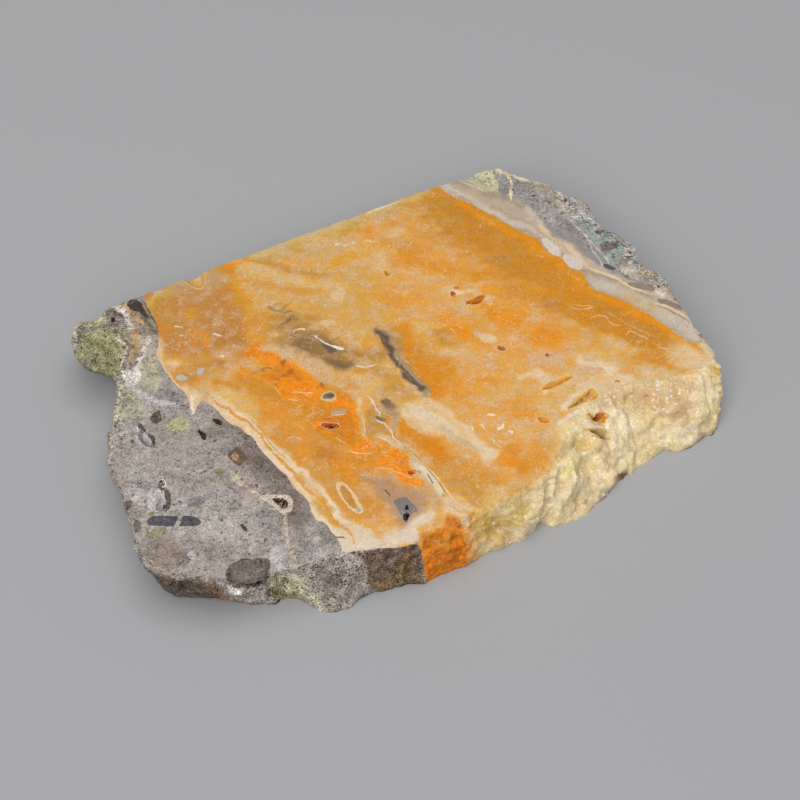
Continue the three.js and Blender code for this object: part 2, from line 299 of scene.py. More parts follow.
SIDE = (
    Stretch("back of the lobe", 0.8, 0.8, 1.2, 0.8, 5.0, 0.45, 0.0, (
        (-92, 11.5, -88.6, 13), (-90, 12.8, -87.6, 13.6), (-85.6, 13.6, -85, 13.2),
        (-83.4, 17.2, -82.6, 16.6), (-80.4, 19.4, -80, 20), (-76, 21.8, -75.6, 22.6)
    )),
    Stretch("straight back edge", 0.2, 0.3, 1.0, 0.5, 7.0, 0.2, 0.0, (
        (-70, 25.1, -69.6, 26), (-62, 29.2, -61.6, 30.3), (-56, 32.6, -55.4, 33.4),
        (-50, 36, -49.7, 36.6), (-42, 40.3, -41.6, 41.5), (-30, 46.4, -29.5, 47), (-20, 51.8, -19.6, 53),
        (-10, 56.7, -10.4, 57.8), (-4, 60.2, -3.8, 60.8), (5.2, 65, 5, 65.8), (12, 68.3, 12, 69.2),
        (20, 71.8, 20, 72.4), (23, 72.6, 23, 73), (26.6, 75.2, 27, 74.6)
    )),
    Stretch("top corner", 0.4, 0.3, 1.0, 0.6, 5.0, 0.3, 0.0, (
        (31, 77, 31, 76), (33.4, 77.2, 33.6, 75.8), (38, 74.3, 38.6, 74), (42.2, 72.2, 42.4, 71.6),
        (47, 70.8, 47.4, 70.4)
    )),
    Stretch("chipped right edge", 3.4, 0.4, 1.3, 1.2, 4.0, 0.4, 0.0, (
        (50.6, 67.4, 52.4, 67.4), (52.6, 64.4, 54.8, 64.6), (56, 61, 58.4, 61.6), (57.4, 58.4, 60, 58.4),
        (58.4, 55.2, 61, 55.2), (59.6, 52.4, 62, 52.8), (63.6, 48.8, 66, 49.2), (67.2, 46.6, 69.6, 47),
        (68.8, 44.4, 71, 44.6), (70.4, 42.6, 72.6, 42), (71, 40, 73.6, 39.4), (71.6, 37.2, 74.4, 36.4),
        (73, 34.6, 76, 34), (76.4, 31.2, 79, 31), (78.6, 29, 81, 28.6)
    )),
    Stretch("right edge", 0.5, 0.5, 1.0, 0.7, 6.0, 0.3, 0.0, (
        (80.6, 26.8, 82, 26.4), (83, 21.4, 84.6, 20.8), (85.4, 16.6, 87, 16), (87, 13, 88.8, 12.2)
    )),
    Stretch("yellow crust at the right end", 2.0, 0.4, 0.9, 1.1, 5.0, 0.4, 0.6, (
        (88, 8.8, 91, 8), (89.4, 5.2, 92.4, 4.4), (90.8, 1.6, 93.2, 1), (91.4, -2.4, 93.6, -4.4),
        (90.2, -4.6, 93.8, -8.6)
    )),
    Stretch("tan shoulder of the crust", 0.6, 1.6, 0.9, 1.1, 7.0, 0.35, 0.5, (
        (88.6, -4.9, 93.8, -12.2), (87, -5, 93, -14.8), (85.6, -5.1, 91, -17.4), (84, -5.2, 88.8, -18.2),
        (81.4, -6.6, 85.2, -21.2), (78.4, -8.4, 81.4, -22.9), (75, -9.4, 77.4, -22.4),
        (71, -10, 74.4, -25), (68, -10.6, 72, -27.6), (65.6, -11.2, 69.2, -29.2)
    )),
    Stretch("rough slope of the crust", 0.5, 2.2, 0.95, 1.5, 8.0, 0.45, 1.1, (
        (64, -12, 67.6, -31.8), (62.4, -12.8, 66, -31.4), (60, -14, 63, -33.8), (57, -15.2, 62, -36.4),
        (54.4, -16.8, 59.6, -39.6), (52.4, -18.6, 56.6, -42.6), (50.8, -21, 53.6, -45.6),
        (49.8, -24.6, 51.6, -46.8), (49, -28.8, 49.6, -47.8), (47, -32.6, 47.4, -48.4),
        (45, -36, 44.8, -49.8), (42.6, -40, 42.2, -48.8), (40.6, -44, 39.6, -50.2)
    )),
    Stretch("front below the orange field", 0.3, 0.6, 1.0, 0.55, 6.0, 0.45, 0.4, (
        (37, -46.2, 38.2, -52.4), (34, -48.4, 35.6, -55), (31.4, -50, 33.2, -55.2),
        (29, -51.6, 30.2, -57.2), (25, -52.8, 27.2, -57.6), (22.4, -54.8, 23.6, -60.2),
        (20, -57.4, 20.6, -62.4), (15, -60, 16.4, -64.4), (11.8, -60.8, 12.2, -66.4),
        (9, -62.4, 9.2, -68.4)
    )),
    Stretch("dark front", 0.3, 0.5, 1.1, 0.8, 5.0, 0.5, 0.0, (
        (7, -64.6, 5, -68.2), (3, -66.4, 2, -69.6), (-1.4, -65.8, -1.2, -70.8),
        (-5.6, -67.2, -5.4, -72.2), (-9, -67.9, -8.4, -73.8), (-12, -68.3, -11.6, -76.8)
    )),
    Stretch("foot that juts forward", 0.2, 0.2, 1.15, 0.7, 4.0, 0.45, 0.0, (
        (-14.6, -68.8, -14.6, -77.6), (-17, -70.6, -17.6, -77.6), (-20.2, -72.2, -20.2, -76.6),
        (-22.4, -72.8, -22.2, -74.8)
    )),
    Stretch("granular bay", 0.2, -2.6, 1.0, 1.0, 3.4, 0.5, 0.0, (
        (-24.4, -74.2, -24.8, -73.6), (-27.2, -74.8, -27.6, -73.4), (-29.6, -75.2, -30.4, -74.4)
    )),
    Stretch("undercut front", 0.5, 1.0, 1.2, 0.8, 6.0, 0.4, 0.0, (
        (-34, -76.9, -34.4, -75.2), (-38, -77.4, -38.4, -75), (-42, -77.6, -42.4, -74.2),
        (-46, -77.2, -46.4, -73.4), (-52, -76.8, -52, -73), (-57, -76.4, -57, -72.6),
        (-60.6, -74.8, -60.4, -70.4), (-63.8, -72, -62.4, -67.4), (-65.6, -67.6, -63.8, -63.4)
    )),
    Stretch("left side", 0.3, 0.4, 1.1, 0.8, 6.0, 0.4, 0.0, (
        (-67.4, -62.6, -64.8, -59), (-69, -58, -65.8, -55), (-70.6, -54, -67.4, -51),
        (-71.8, -49.4, -68.8, -46.6), (-73.8, -45.4, -70.8, -42.2), (-76, -41.6, -73.6, -38.4),
        (-77.5, -37.6, -75.4, -35.6), (-77, -34.4, -75.2, -33), (-78.1, -28.6, -76.4, -28),
        (-76.8, -24.6, -75.2, -24), (-77.4, -19, -75.8, -18.6), (-76.8, -14, -75.2, -12.6)
    )),
    Stretch("undercut lobe", 0.5, 0.3, 1.35, 0.8, 4.0, 0.5, 0.0, (
        (-77.4, -9.6, -75.8, -3.6), (-79.2, -6, -76.8, 2.4), (-82.4, -5, -79.4, 6.2),
        (-85.6, -4.6, -82, 7.8), (-88, -2.8, -84.2, 9), (-89.6, 0.4, -85.8, 10.2),
        (-90.8, 4.4, -86.8, 11.4), (-91.8, 8.4, -87.8, 12.4)
    )),
)

PITS = (
    Pit("half-moon pit", 2.6, (
        (21.4, 20.9), (22.6, 20.1), (24.6, 19.9), (26.2, 21), (27.3, 23.2), (26.6, 24), (25.4, 23),
        (23.6, 22)
    ), Hue.VIVID_DEEP, Hue.CREAM),
    Pit("slim pit beside it", 2.0, (
        (17.5, 25.1), (18.4, 25), (18.8, 23.3), (17.9, 22.9)
    ), Hue.BURNT, Hue.CREAM),
    Pit("dot above it", 1.2, ((18.4, 27), (19.5, 26.9), (19.3, 26.1), (18.5, 26.1)), Hue.BURNT),
    Pit("three-sided pit", 1.8, ((-2.4, 34.2), (0.2, 32.2), (-1.4, 30.8)), Hue.GOLD, Hue.CREAM),
    Pit("pit with a curled rim", 1.4, (
        (30.4, 3.7), (32, 3.5), (33, 2.5), (32.2, 1.8), (30.9, 2.5)
    ), Hue.BURNT, Hue.CREAM),
    Pit("pit in the ring", 1.2, ((44.2, 0.8), (45, 1), (45.2, -0.2), (44.4, -0.6)), Hue.BURNT, Hue.CREAM),
    Pit("pit in the lower orange block", 1.2, (
        (4.8, -42), (6.2, -42), (6, -42.9), (5, -42.9)
    ), Hue.RED_BROWN),
    # painted light: the slits' gold floors are laid lighter than their own colour, against the shade inside
    # them
    Pit("upper slit by the crust", 1.6, (
        (42.4, -12), (43.2, -12.6), (45.6, -12), (47.6, -10.8), (51.2, -8), (50.6, -7.6), (47.4, -8.6),
        (44.8, -10)
    ), Hue.PIT_GOLD),
    Pit("wedge slit by the crust", 2.4, (
        (49.2, -19.6), (50, -19.4), (54, -17.2), (57.6, -16), (58.4, -14.8), (57, -12.4), (56, -12.4),
        (52.4, -16)
    ), Hue.PIT_GOLD),
    Pit("forked hollow in the crust", 6.0, (
        (54.4, -21.2), (55.6, -22.4), (56.6, -22.8), (57.4, -21.4), (59, -21), (60.6, -22), (59.4, -23.2),
        (59, -25), (57.4, -24.4), (56, -24)
    ), Hue.FORK_ORANGE),
    Pit("lower hollow in the crust", 5.0, (
        (53.4, -27), (56.4, -26.6), (59.6, -27.4), (60.4, -31.4), (58.4, -30.6), (56, -28.4)
    ), Hue.YELLOW_EDGE),
    Pit("orange hole", 1.4, (
        (40.6, -22.8), (41.6, -24.3), (43.8, -24.9), (44.2, -24), (42.6, -22.7)
    ), Hue.BRIGHT_OCHRE, Hue.CREAM),
    Pit("red oval", 1.6, (
        (-19.2, -25.2), (-18.4, -26.4), (-16, -27.1), (-14.5, -26.6), (-14.7, -25.4), (-16.6, -25.3),
        (-18.4, -24.8)
    ), Hue.RED_BROWN, Hue.CREAM),
    Pit("hollow on the left", 4.5, (
        (-70, -25.6), (-67.6, -28.6), (-65.4, -30.6), (-65, -33), (-67, -33.8), (-69.4, -30.8),
        (-70.8, -28)
    ), Hue.HOLLOW_PALE),
    Pit("hollow near the lens", 4.5, (
        (-63, -47.6), (-60.6, -49), (-59.4, -50.8), (-59.6, -53.2), (-60.2, -55.8), (-62.8, -55.4),
        (-63.8, -51)
    ), Hue.HOLLOW_PALE),
    Pit("small hollow above it", 2.0, (
        (-63, -46.2), (-61.8, -47), (-60.9, -45.6), (-62.2, -44.9)
    ), Hue.UMBER),
    Pit("hollow in the vein loop", 3.2, (
        (-32, -51.2), (-29.6, -51), (-28, -52), (-27.6, -54.2), (-28.8, -54), (-30.4, -52.6)
    ), Hue.DARK_PIT),
    Pit("pit in the grey patch", 3.0, (
        (3.5, -57), (4, -58.4), (4.7, -57.4), (4.7, -56.4), (4.2, -56)
    ), Hue.NEAR_BLACK),
    Pit("slot in the grey patch", 1.6, (
        (4.1, -54.7), (4.4, -54.9), (4.8, -53.7), (4.5, -53.4)
    ), Hue.NEAR_BLACK),
    Pit("chip in the back edge", 1.8, (
        (-60, 28), (-56, 25.8), (-55, 28.6), (-56, 36), (-63, 33)
    ), Hue.HONEY, Hue.CREAM),
    Pit("broken hollow at the front edge", 2.8, (
        (-43.4, -73.6), (-38, -71.6), (-32.4, -70.6), (-31.4, -72.4), (-33, -80), (-42, -80)
    ), Hue.ROCK_DARK),
    Pit("slit by the square fragment", 1.2, (
        (-49.8, -23.2), (-48, -23.4), (-46.4, -25.6), (-48.2, -25.2)
    ), Hue.DARK_PIT),
    Pit("slit left of it", 1.2, (
        (-53.6, -26.8), (-52.4, -27.6), (-50.8, -30.4), (-51.6, -30.6)
    ), Hue.DARK_PIT),
    Pit("slit in the middle rock", 1.0, (
        (-40.2, -59.4), (-39.2, -59.6), (-38.2, -61.6), (-38.6, -62)
    ), Hue.DARK_PIT),
    Pit("dot in the lobe", 1.6, ((-81, 14.6), (-80.2, 14.4), (-80.2, 13), (-81, 13)), Hue.DARK_PIT),
)


def rounded(points: Points, closed: bool, rounds: int = 2) -> Array:
    """A path with its corners cut: each run is replaced by its points at a quarter and three quarters.

    Args:
        points: Corners of the path.
        closed: Whether the last corner joins the first.
        rounds: How many times the corners are cut.

    Returns:
        The rounded path, closed by its first point again if it is closed.
    """
    path = np.array(points, float)
    for _ in range(rounds):
        start = path if closed else path[:-1]
        end = np.roll(path, -1, axis=0) if closed else path[1:]
        cut = np.stack([start * 0.75 + end * 0.25, start * 0.25 + end * 0.75], axis=1).reshape(-1, 2)
        path = cut if closed else np.vstack([path[:1], cut, path[-1:]])
    return np.vstack([path, path[:1]]) if closed else path


def close_to(spots: Array, path: Array, reach: float) -> Array:
    """Numbers of the points that lie in the path's box, grown by reach on every side."""
    low, high = path.min(0) - reach, path.max(0) + reach
    return np.flatnonzero(((spots > low) & (spots < high)).all(1))


@dataclass(frozen=True)
class Trace:
    """Where points stand against a path: distance, side (-1 or 1), share along it, and if past an end."""

    gap: Array
    side: Array
    share: Array
    past: Array


def trace(spots: Array, path: Array) -> Trace:
    """Measures points against a path: the nearest point of every straight run, and the nearest run of all.

    Args:
        spots: Points, two numbers each.
        path: Corners of the path.

    Returns:
        Where each point stands.
    """
    start, run = path[:-1], np.diff(path, axis=0)
    length = np.maximum(np.linalg.norm(run, axis=1), TINY)
    away = spots[:, None, :] - start
    part = np.clip((away * run).sum(-1) / length**2, 0.0, 1.0)
    gaps = np.linalg.norm(away - part[..., None] * run, axis=-1)
    best = gaps.argmin(1)
    row = np.arange(len(spots))
    cross = run[best, 0] * away[row, best, 1] - run[best, 1] * away[row, best, 0]
    along = (np.concatenate([[0.0], np.cumsum(length)])[best] + part[row, best] * length[best]) / length.sum()
    return Trace(gaps[row, best], np.where(cross < 0.0, -1.0, 1.0), along, (along <= 0.0) | (along >= 1.0))


def inside(spots: Array, loop: Array) -> Array:
    """Finds the points in a closed path: a line drawn to the right from them crosses it an odd number of times.

    Args:
        spots: Points, two numbers each.
        loop: Corners of the path, with the first again at the end.

    Returns:
        True for every point inside.
    """
    start, end = loop[:-1], loop[1:]
    x, y = spots[:, :1], spots[:, 1:]
    spans = (start[:, 1] > y) != (end[:, 1] > y)
    rise = np.where(end[:, 1] == start[:, 1], TINY, end[:, 1] - start[:, 1])
    crossing = start[:, 0] + (y - start[:, 1]) / rise * (end[:, 0] - start[:, 0])
    return (spans & (x < crossing)).sum(1) % 2 == 1


def depth_inside(spots: Array, loop: Array, reach: float) -> Array:
    """Distance into a closed path: the distance from its line, less than nought outside.

    Args:
        spots: Points, two numbers each.
        loop: Corners of the path, with the first again at the end.
        reach: How far outside the path distances are still told apart.

    Returns:
        The distance for each point, and -reach for the points that are farther outside.
    """
    result = np.full(len(spots), -reach)
    near = close_to(spots, loop, reach)
    if len(near):
        gap = trace(spots[near], loop).gap
        result[near] = np.clip(np.where(inside(spots[near], loop), gap, -gap), -reach, None)
    return result


@dataclass(frozen=True)
class Wash:
    """A soft oval cloud of pigment: its centre, half length, half width, and the turn of its long side."""

    x: float
    y: float
    long: float
    short: float
    turn: float
    pigment: Hue
    strength: float = 0.7
    core: float = 0.35
    rim: float = 1.15

    def cover(self, spots: Array) -> Array:
        """Works out the pigment at each spot: full in the oval's core, and eased to none at its rim.

        Args:
            spots: Points, two numbers each.

        Returns:
            The share of pigment for each point.
        """
        angle = math.radians(self.turn)
        x, y = spots[:, 0] - self.x, spots[:, 1] - self.y
        along = (x * math.cos(angle) + y * math.sin(angle)) / self.long
        across = (y * math.cos(angle) - x * math.sin(angle)) / self.short
        return self.strength * (1.0 - ramp(self.core, self.rim, np.hypot(along, across)))


@dataclass(frozen=True)
class Stroke:
    """A soft-edged band of pigment along a path: its width, and the width of each soft edge."""

    pigment: Hue
    width: float
    soft: float
    strength: float
    points: Points

    def cover(self, spots: Array) -> Array:
        """Works out the pigment at each spot: full near the path, and eased to none past the half width.

        Args:
            spots: Points, two numbers each.

        Returns:
            The share of pigment for each point.
        """
        path = rounded(self.points, closed=False)
        core, reach = (self.width - self.soft) / 2.0, self.width / 2.0 + self.soft
        result = np.zeros(len(spots))
        near = close_to(spots, path, reach)
        if len(near):
            result[near] = self.strength * (1.0 - ramp(core, reach, trace(spots[near], path).gap))
        return result


@dataclass(frozen=True)
class Patch:
    """A soft-edged area of pigment: the width of its soft edge, and its outline."""

    pigment: Hue
    soft: float
    strength: float
    points: Points

    def cover(self, spots: Array) -> Array:
        """Share of pigment at each spot: eased across the outline from outside to inside."""
        depth = depth_inside(spots, rounded(self.points, closed=True), self.soft)
        return self.strength * ramp(-self.soft / 2.0, self.soft / 2.0, depth)


@dataclass(frozen=True)
class Inlay:
    """A crisp-edged area, such as a rock fragment: its pigment, outline, cut corners, and growth past it."""

    pigment: Hue
    points: Points
    rounds: int = 1
    growth: float = 0.0


@dataclass(frozen=True)
class Vein:
    """A crisp thin line: its pigment, width and path. It thins out towards its ends unless it is closed."""

    pigment: Hue
    width: float
    points: Points
    closed: bool = False
    rounds: int = 2


RIGHT_CONTACT = (
    (14, 69.6), (17.4, 65.8), (20.2, 63.8), (25, 61), (29.4, 57.4), (33.8, 53.8), (39, 49.4), (42.6, 47.2),
    (44, 46.6), (44.4, 44.6), (45.8, 43), (47, 40.6), (49.4, 39.2), (50.6, 38.8), (51.6, 36.4), (53.4, 34.4),
    (55.8, 33.6), (57, 31.8), (57.8, 29), (58.4, 27), (60.2, 25.5), (63, 23.8), (65.8, 22.8), (68.2, 21.4),
    (71.4, 18.4), (75, 16), (77, 13.6), (79.8, 10.8), (83, 7.6), (85.4, 5.6), (87.4, 4.4), (89, 5.6),
)
LEFT_CONTACT = (
    (-73, 24), (-71, 19), (-69, 14), (-67.2, 9), (-66.5, 5), (-67.3, 0), (-65.5, -3), (-64, -6),
    (-61.5, -9.5), (-60, -12), (-57.5, -14), (-56.6, -17), (-55, -21.6), (-53.6, -17.6), (-52.5, -16.2),
    (-48, -20.5), (-46.5, -23), (-44.8, -24.8), (-42, -26), (-40, -28.4), (-38, -30), (-36.6, -33.2),
    (-34.6, -36), (-32.6, -38.4), (-30.6, -40.8), (-28.6, -42.8), (-27, -45.6), (-25, -49.2), (-23, -50.4),
    (-21.8, -53.2), (-21, -56), (-19.8, -58.4), (-17.4, -58.8), (-15.8, -62), (-14.2, -64), (-13.4, -66),
)
RIGHT_ROCK = RIGHT_CONTACT + ((93, 6.5), (115, 8), (115, 95), (5, 95), (9, 73))
LEFT_ROCK = LEFT_CONTACT + (
    (-12.4, -69.2), (-5.6, -67.8), (3, -67.2), (7.2, -65.4), (8.6, -70), (9.4, -80), (9.5, -100),
    (-115, -100), (-115, 36), (-77, 28),
)

CRUST = (
    (23, -54.6), (30, -53), (37, -48.4), (42, -43), (46, -36), (48.6, -30), (50, -23), (52, -18), (57, -14),
    (66, -10), (78, -7.4), (88, -4), (90.4, 0), (90, 5), (92, 10), (110, 10), (110, -60), (24, -90),
)
BEVEL = Stroke(Hue.ROCK, 4.0, 2.0, 0.8, ((52, 64), (58, 57), (64, 49), (70, 42), (72, 37), (78, 30)))
SMOOTH_BAND = Stroke(Hue.ROCK, 9.0, 1.6, 0.8, tuple((x + 3.0, y + 2.8) for x, y in RIGHT_CONTACT))
SPECKLED_STRIP = Stroke(Hue.UMBER, 4.5, 1.0, 0.9, ((-36, 2.6), (-29, -0.4), (-22, -4.4), (-18, -8)))
SPECKLED_VIVID = Stroke(Hue.UMBER, 9.0, 3.0, 0.5, ((-38, -2), (-28, -8), (-16, -20), (-8, -32), (2, -38)))

FIELD = (
    Patch(Hue.ROSE_TAN, 4.0, 1.0, (
        (-78, 26), (-52, 39), (-46, 33), (-44, 26), (-42, 18), (-40, 8), (-39, 0), (-44, -4), (-58, -12),
        (-70, 0), (-72, 12)
    )),
    Patch(Hue.HONEY, 5.0, 1.0, (
        (-42, 34), (-20, 36), (-4, 36), (2, 24), (0, 12), (-6, 6), (-14, 8), (-24, 8), (-36, 4),
        (-40, 14)
    )),
    Patch(Hue.TAN, 4.0, 0.9, ((-46, 44), (-20, 56), (-8, 62), (-6, 54), (-16, 46), (-30, 39), (-44, 35))),
    Patch(Hue.PEACH, 6.0, 0.85, ((-12, 50), (2, 58), (14, 54), (20, 44), (10, 34), (0, 36), (-10, 40))),
    Stroke(Hue.SAFFRON, 18.0, 9.0, 1.0, (
        (2, 68), (20, 57), (33, 46), (42, 36), (50, 26), (60, 17), (70, 11), (80, 4)
    )),
    Wash(20, 55, 16, 9, -35, Hue.SAFFRON_DEEP, 0.7),
    Wash(6, 62, 10, 5, 25, Hue.SAFFRON, 0.6),
    Wash(33, 43, 14, 7, -40, Hue.SAFFRON_DEEP, 0.4),
    Wash(31, 37, 6, 3, -15, Hue.ROSE_TAN, 0.6),
    Wash(36, 34, 9, 5, -20, Hue.SAFFRON_DEEP, 0.5),
    Wash(41, 27, 6, 3, -20, Hue.GOLD, 0.6),
    Wash(36, 25, 5, 3, 20, Hue.AMBER, 0.6),
    Wash(47, 18, 4, 3, -60, Hue.ROSE_TAN, 0.8),
    Wash(46, 30, 5, 2.4, -40, Hue.ROSE_TAN, 0.5),
    Wash(56, 24, 6, 3, -30, Hue.DEEP_ORANGE, 0.5),
    Wash(64, 17, 9, 3.5, -30, Hue.SAFFRON_DEEP, 0.5),
    Wash(73, 8, 8, 4, -35, Hue.SAFFRON_DEEP, 0.4),
    Stroke(Hue.BRIGHT_ORANGE, 1.6, 1.6, 0.8, tuple((x - 1.2, y - 1.2) for x, y in RIGHT_CONTACT[2:])),
    Wash(78, -2, 8, 4, -30, Hue.AMBER, 0.7),
    Wash(30, 16, 12, 6, -15, Hue.ORANGE, 0.8),
    Wash(34, 17, 8, 5, 0, Hue.BRIGHT_ORANGE, 0.6),
    Wash(24, 13, 4, 4, 0, Hue.HONEY, 0.7),
    Wash(41, 14, 2, 4, 20, Hue.PINK, 0.5),
    Wash(26, 4, 5, 3, -40, Hue.BRIGHT_ORANGE, 0.5),
    Wash(14, 9, 4, 2.4, -20, Hue.OCHRE, 0.6),
    Wash(13, 3, 3, 4, 20, Hue.PEACH, 0.7),
    Wash(45, 8, 9, 5, -10, Hue.ORANGE, 0.8),
    Wash(46, 6, 7, 3, 0, Hue.BRIGHT_ORANGE, 0.3),
    Wash(8, 37, 12, 4, -10, Hue.ORANGE, 0.6),
    Wash(14, 34, 8, 4, 0, Hue.GOLD, 0.4),
    Wash(24, 31, 8, 3, 0, Hue.DEEP_ORANGE, 0.5),
    Wash(16, 28, 9, 4.5, -15, Hue.PEACH, 0.8),
    Wash(19, 25.5, 4, 3, -30, Hue.CREAM, 0.7),
    Wash(26, 24.5, 4, 2.5, 10, Hue.CREAM, 0.55),
    Wash(22, 18, 5, 2.6, -20, Hue.PALE_HONEY, 0.7),
    Wash(3, 22, 8, 5, -20, Hue.ORANGE, 0.6),
    Wash(2, 13, 6, 4, -30, Hue.TAN, 0.6),
    Wash(8, 10, 5, 3, -30, Hue.PALE_HONEY, 0.7),
    Wash(15, 7, 5, 3, -40, Hue.OCHRE, 0.7),
    Wash(15, 16, 5, 4, 0, Hue.ORANGE, 0.6),
    Wash(18, 2, 6, 3, -20, Hue.PALE_HONEY, 0.7),
    Wash(24, 8, 7, 3, -40, Hue.ORANGE, 0.7),
    Wash(54, 12, 6, 2.5, -30, Hue.PALE_HONEY, 0.6),
    Patch(Hue.CREAM, 1.2, 0.95, (
        (23.4, 10.8), (26, 9.6), (30, 9.4), (31.6, 8), (30.4, 5.4), (29, 5), (27.4, 7.2), (25.6, 8.8)
    )),
    Wash(39, 13, 1.4, 1.2, 0, Hue.PINK, 0.8),
    Wash(36, 8, 1.4, 2.4, 20, Hue.PINK, 0.7),
    Wash(56, 6, 6, 4, 10, Hue.PEACH, 0.8),
    Wash(66, 3, 9, 4, -25, Hue.PALE_HONEY, 0.8),
    Wash(60, -2, 10, 5, -10, Hue.PALE_HONEY, 0.8),
    Wash(56, -3, 5, 2.5, -20, Hue.PALE_CREAM, 0.7),
    Wash(62, -5, 4, 2, 0, Hue.PALE_CREAM, 0.6),
    Wash(44, -2, 7, 4, 0, Hue.PINK, 0.7),
    Wash(30, 0, 9, 4, 0, Hue.PEACH, 0.7),
    Wash(37, 2, 5, 3, 0, Hue.ORANGE, 0.5),
    Wash(40, -8, 7, 2.5, -20, Hue.PALE_CREAM, 0.6),
    Wash(28, -9, 8, 4, 0, Hue.ORANGE, 0.6),
    Wash(15, -6, 5, 8, 25, Hue.DEEP_ORANGE, 0.7),
    Wash(34, -12, 7, 3, -10, Hue.PALE_HONEY, 0.6),
    Wash(46, -14, 6, 4, -30, Hue.PEACH, 0.7),
    Wash(20, -14, 6, 4, -40, Hue.ORANGE, 0.6),
    Wash(28, -20, 7, 4, -30, Hue.PEACH, 0.8),
    Wash(36, -20, 6, 5, 0, Hue.ORANGE, 0.6),
    Wash(44, -21, 5, 6, 0, Hue.PALE_HONEY, 0.7),
    Wash(36, -28, 5, 4, 0, Hue.PALE_HONEY, 0.7),
    Wash(41, -35, 4, 6, 30, Hue.ORANGE, 0.5),
    Wash(37, -40, 5, 6, 0, Hue.DEEP_ORANGE, 0.6),
    Patch(Hue.AMBER, 5.0, 0.85, (
        (8, -30), (20, -38), (34, -44), (26, -54), (18, -56), (12, -44), (6, -34)
    )),
    Wash(12, -34, 6, 3.5, -45, Hue.SAFFRON, 0.5),
    Wash(21, -46, 8, 5, -30, Hue.TAN, 0.6),
    Wash(28, -51, 6, 3, -20, Hue.YELLOW_EDGE, 0.6),
    Wash(84, 0, 6, 6, 0, Hue.PALE_HONEY, 0.9),
    Wash(87, -2, 4, 5, 0, Hue.CREAM, 0.8),
    Wash(76, -7, 9, 3, -20, Hue.CREAM, 0.7),
    Wash(66, -9, 8, 2.5, -10, Hue.PALE_CREAM, 0.7),
    Wash(55, -12, 6, 4, -30, Hue.PALE_HONEY, 0.7),
    Stroke(Hue.PALE_CREAM, 1.4, 1.4, 0.85, ((42, -13), (47, -12.6), (52, -8.6))),
    Stroke(Hue.CREAM, 1.2, 1.4, 0.8, ((43, -10.8), (47, -8.2), (52, -6.6))),
    Stroke(Hue.PALE_CREAM, 1.4, 1.2, 0.9, ((48.4, -20), (52, -14.8), (56, -11.4), (59, -12))),
    Stroke(Hue.CREAM, 2.0, 2.0, 0.9, ((60, -13), (66, -13.4), (72, -10.6))),
    Stroke(Hue.CREAM, 1.2, 1.4, 0.7, ((51, -7), (55, -4), (59, -3))),
    Wash(20, 24, 3, 2.6, 10, Hue.PALE_CREAM, 0.6),
    Wash(25, 25, 3.6, 1.4, 20, Hue.CREAM, 0.7),
    Wash(28, 21, 2.4, 2, 30, Hue.CREAM, 0.6),
    Wash(48, -28, 3, 8, 10, Hue.PALE_HONEY, 0.8),
    # left part, behind the vivid patch
    Wash(-66, 18, 5, 10, 20, Hue.OCHRE, 0.6),
    Wash(-62, 27, 10, 3, 28, Hue.YELLOW_EDGE, 0.7),
    Wash(-70, 21, 4, 3, 50, Hue.YELLOW_OLIVE, 0.6),
    Wash(-53, 29, 5, 5, 30, Hue.HONEY, 0.5),
    Wash(-57, 15, 5, 2.5, 10, Hue.GOLD, 0.4),
    Wash(-64, 10, 3, 2.5, 0, Hue.DEEP_ORANGE, 0.6),
    Wash(-55, 7, 4, 3, -60, Hue.ORANGE, 0.6),
    Wash(-54, 0, 4, 3, 0, Hue.GOLD, 0.5),
    Wash(-46, 6, 6, 7, -20, Hue.ROSE, 0.5),
    Wash(-47, 1, 6, 3, 20, Hue.PINK, 0.5),
    Wash(-44, -4, 5, 4, -20, Hue.PINK, 0.5),
    Wash(-62, -1, 4, 4, 0, Hue.HONEY, 0.7),
    Wash(-60, -4, 3.2, 4.2, 20, Hue.CREAM, 0.7),
    Stroke(Hue.AMBER, 1.2, 1.4, 0.8, ((-59, 0.5), (-57, -2.5), (-58, -6), (-61, -7.5))),
    Wash(-50, -7, 9, 3, -25, Hue.HONEY, 0.6),
    Wash(-46, -11, 7, 2.5, -25, Hue.SAFFRON, 0.7),
    Stroke(Hue.GOLD, 2.6, 3.0, 0.85, (
        (-50, 34), (-47, 32), (-45, 25), (-43.5, 20), (-41, 15), (-40.5, 10), (-39.5, 5)
    )),
    Stroke(Hue.AMBER, 3.0, 3.0, 0.8, ((-50, 34), (-40, 30), (-34, 28))),
    Stroke(Hue.PALE_HONEY, 3.2, 2.4, 0.9, ((-45, 34.5), (-38, 32), (-30, 29.5), (-18, 28))),
    Stroke(Hue.OCHRE, 1.6, 1.8, 0.8, ((-42, 38), (-34, 34.5), (-28, 33), (-20, 32.5))),
    Stroke(Hue.AMBER, 1.6, 2.0, 0.6, ((-32, 26), (-22, 25))),
    Wash(-48, 34, 5, 2.5, 20, Hue.DEEP_ORANGE, 0.5),
    Wash(-15, 51, 8, 2.5, 28, Hue.YELLOW_OLIVE, 0.7),
    Wash(-30, 43, 10, 3, 27, Hue.YELLOW_EDGE, 0.6),
    Wash(-34, 20, 6, 7, 0, Hue.HONEY, 0.5),
    Wash(-33, 12, 6, 4, 0, Hue.OCHRE, 0.6),
    Wash(-24, 13, 7, 4, 0, Hue.OCHRE, 0.5),
    Wash(-18, 11, 4, 2, -10, Hue.CREAM, 0.6),
    Wash(-16, 24, 3, 6, -10, Hue.CREAM, 0.6),
    Wash(-10, 32, 6, 4, -20, Hue.HONEY, 0.6),
    Stroke(Hue.GOLD, 2.0, 2.5, 0.7, ((-20, 35), (-14, 39), (-8, 42), (0, 45))),
    Wash(-6, 50, 5, 3, -30, Hue.ORANGE, 0.5),
    Wash(2, 50, 3, 3, 0, Hue.CREAM, 0.6),
    Wash(-3, 37, 2.5, 4, 0, Hue.CREAM, 0.7),
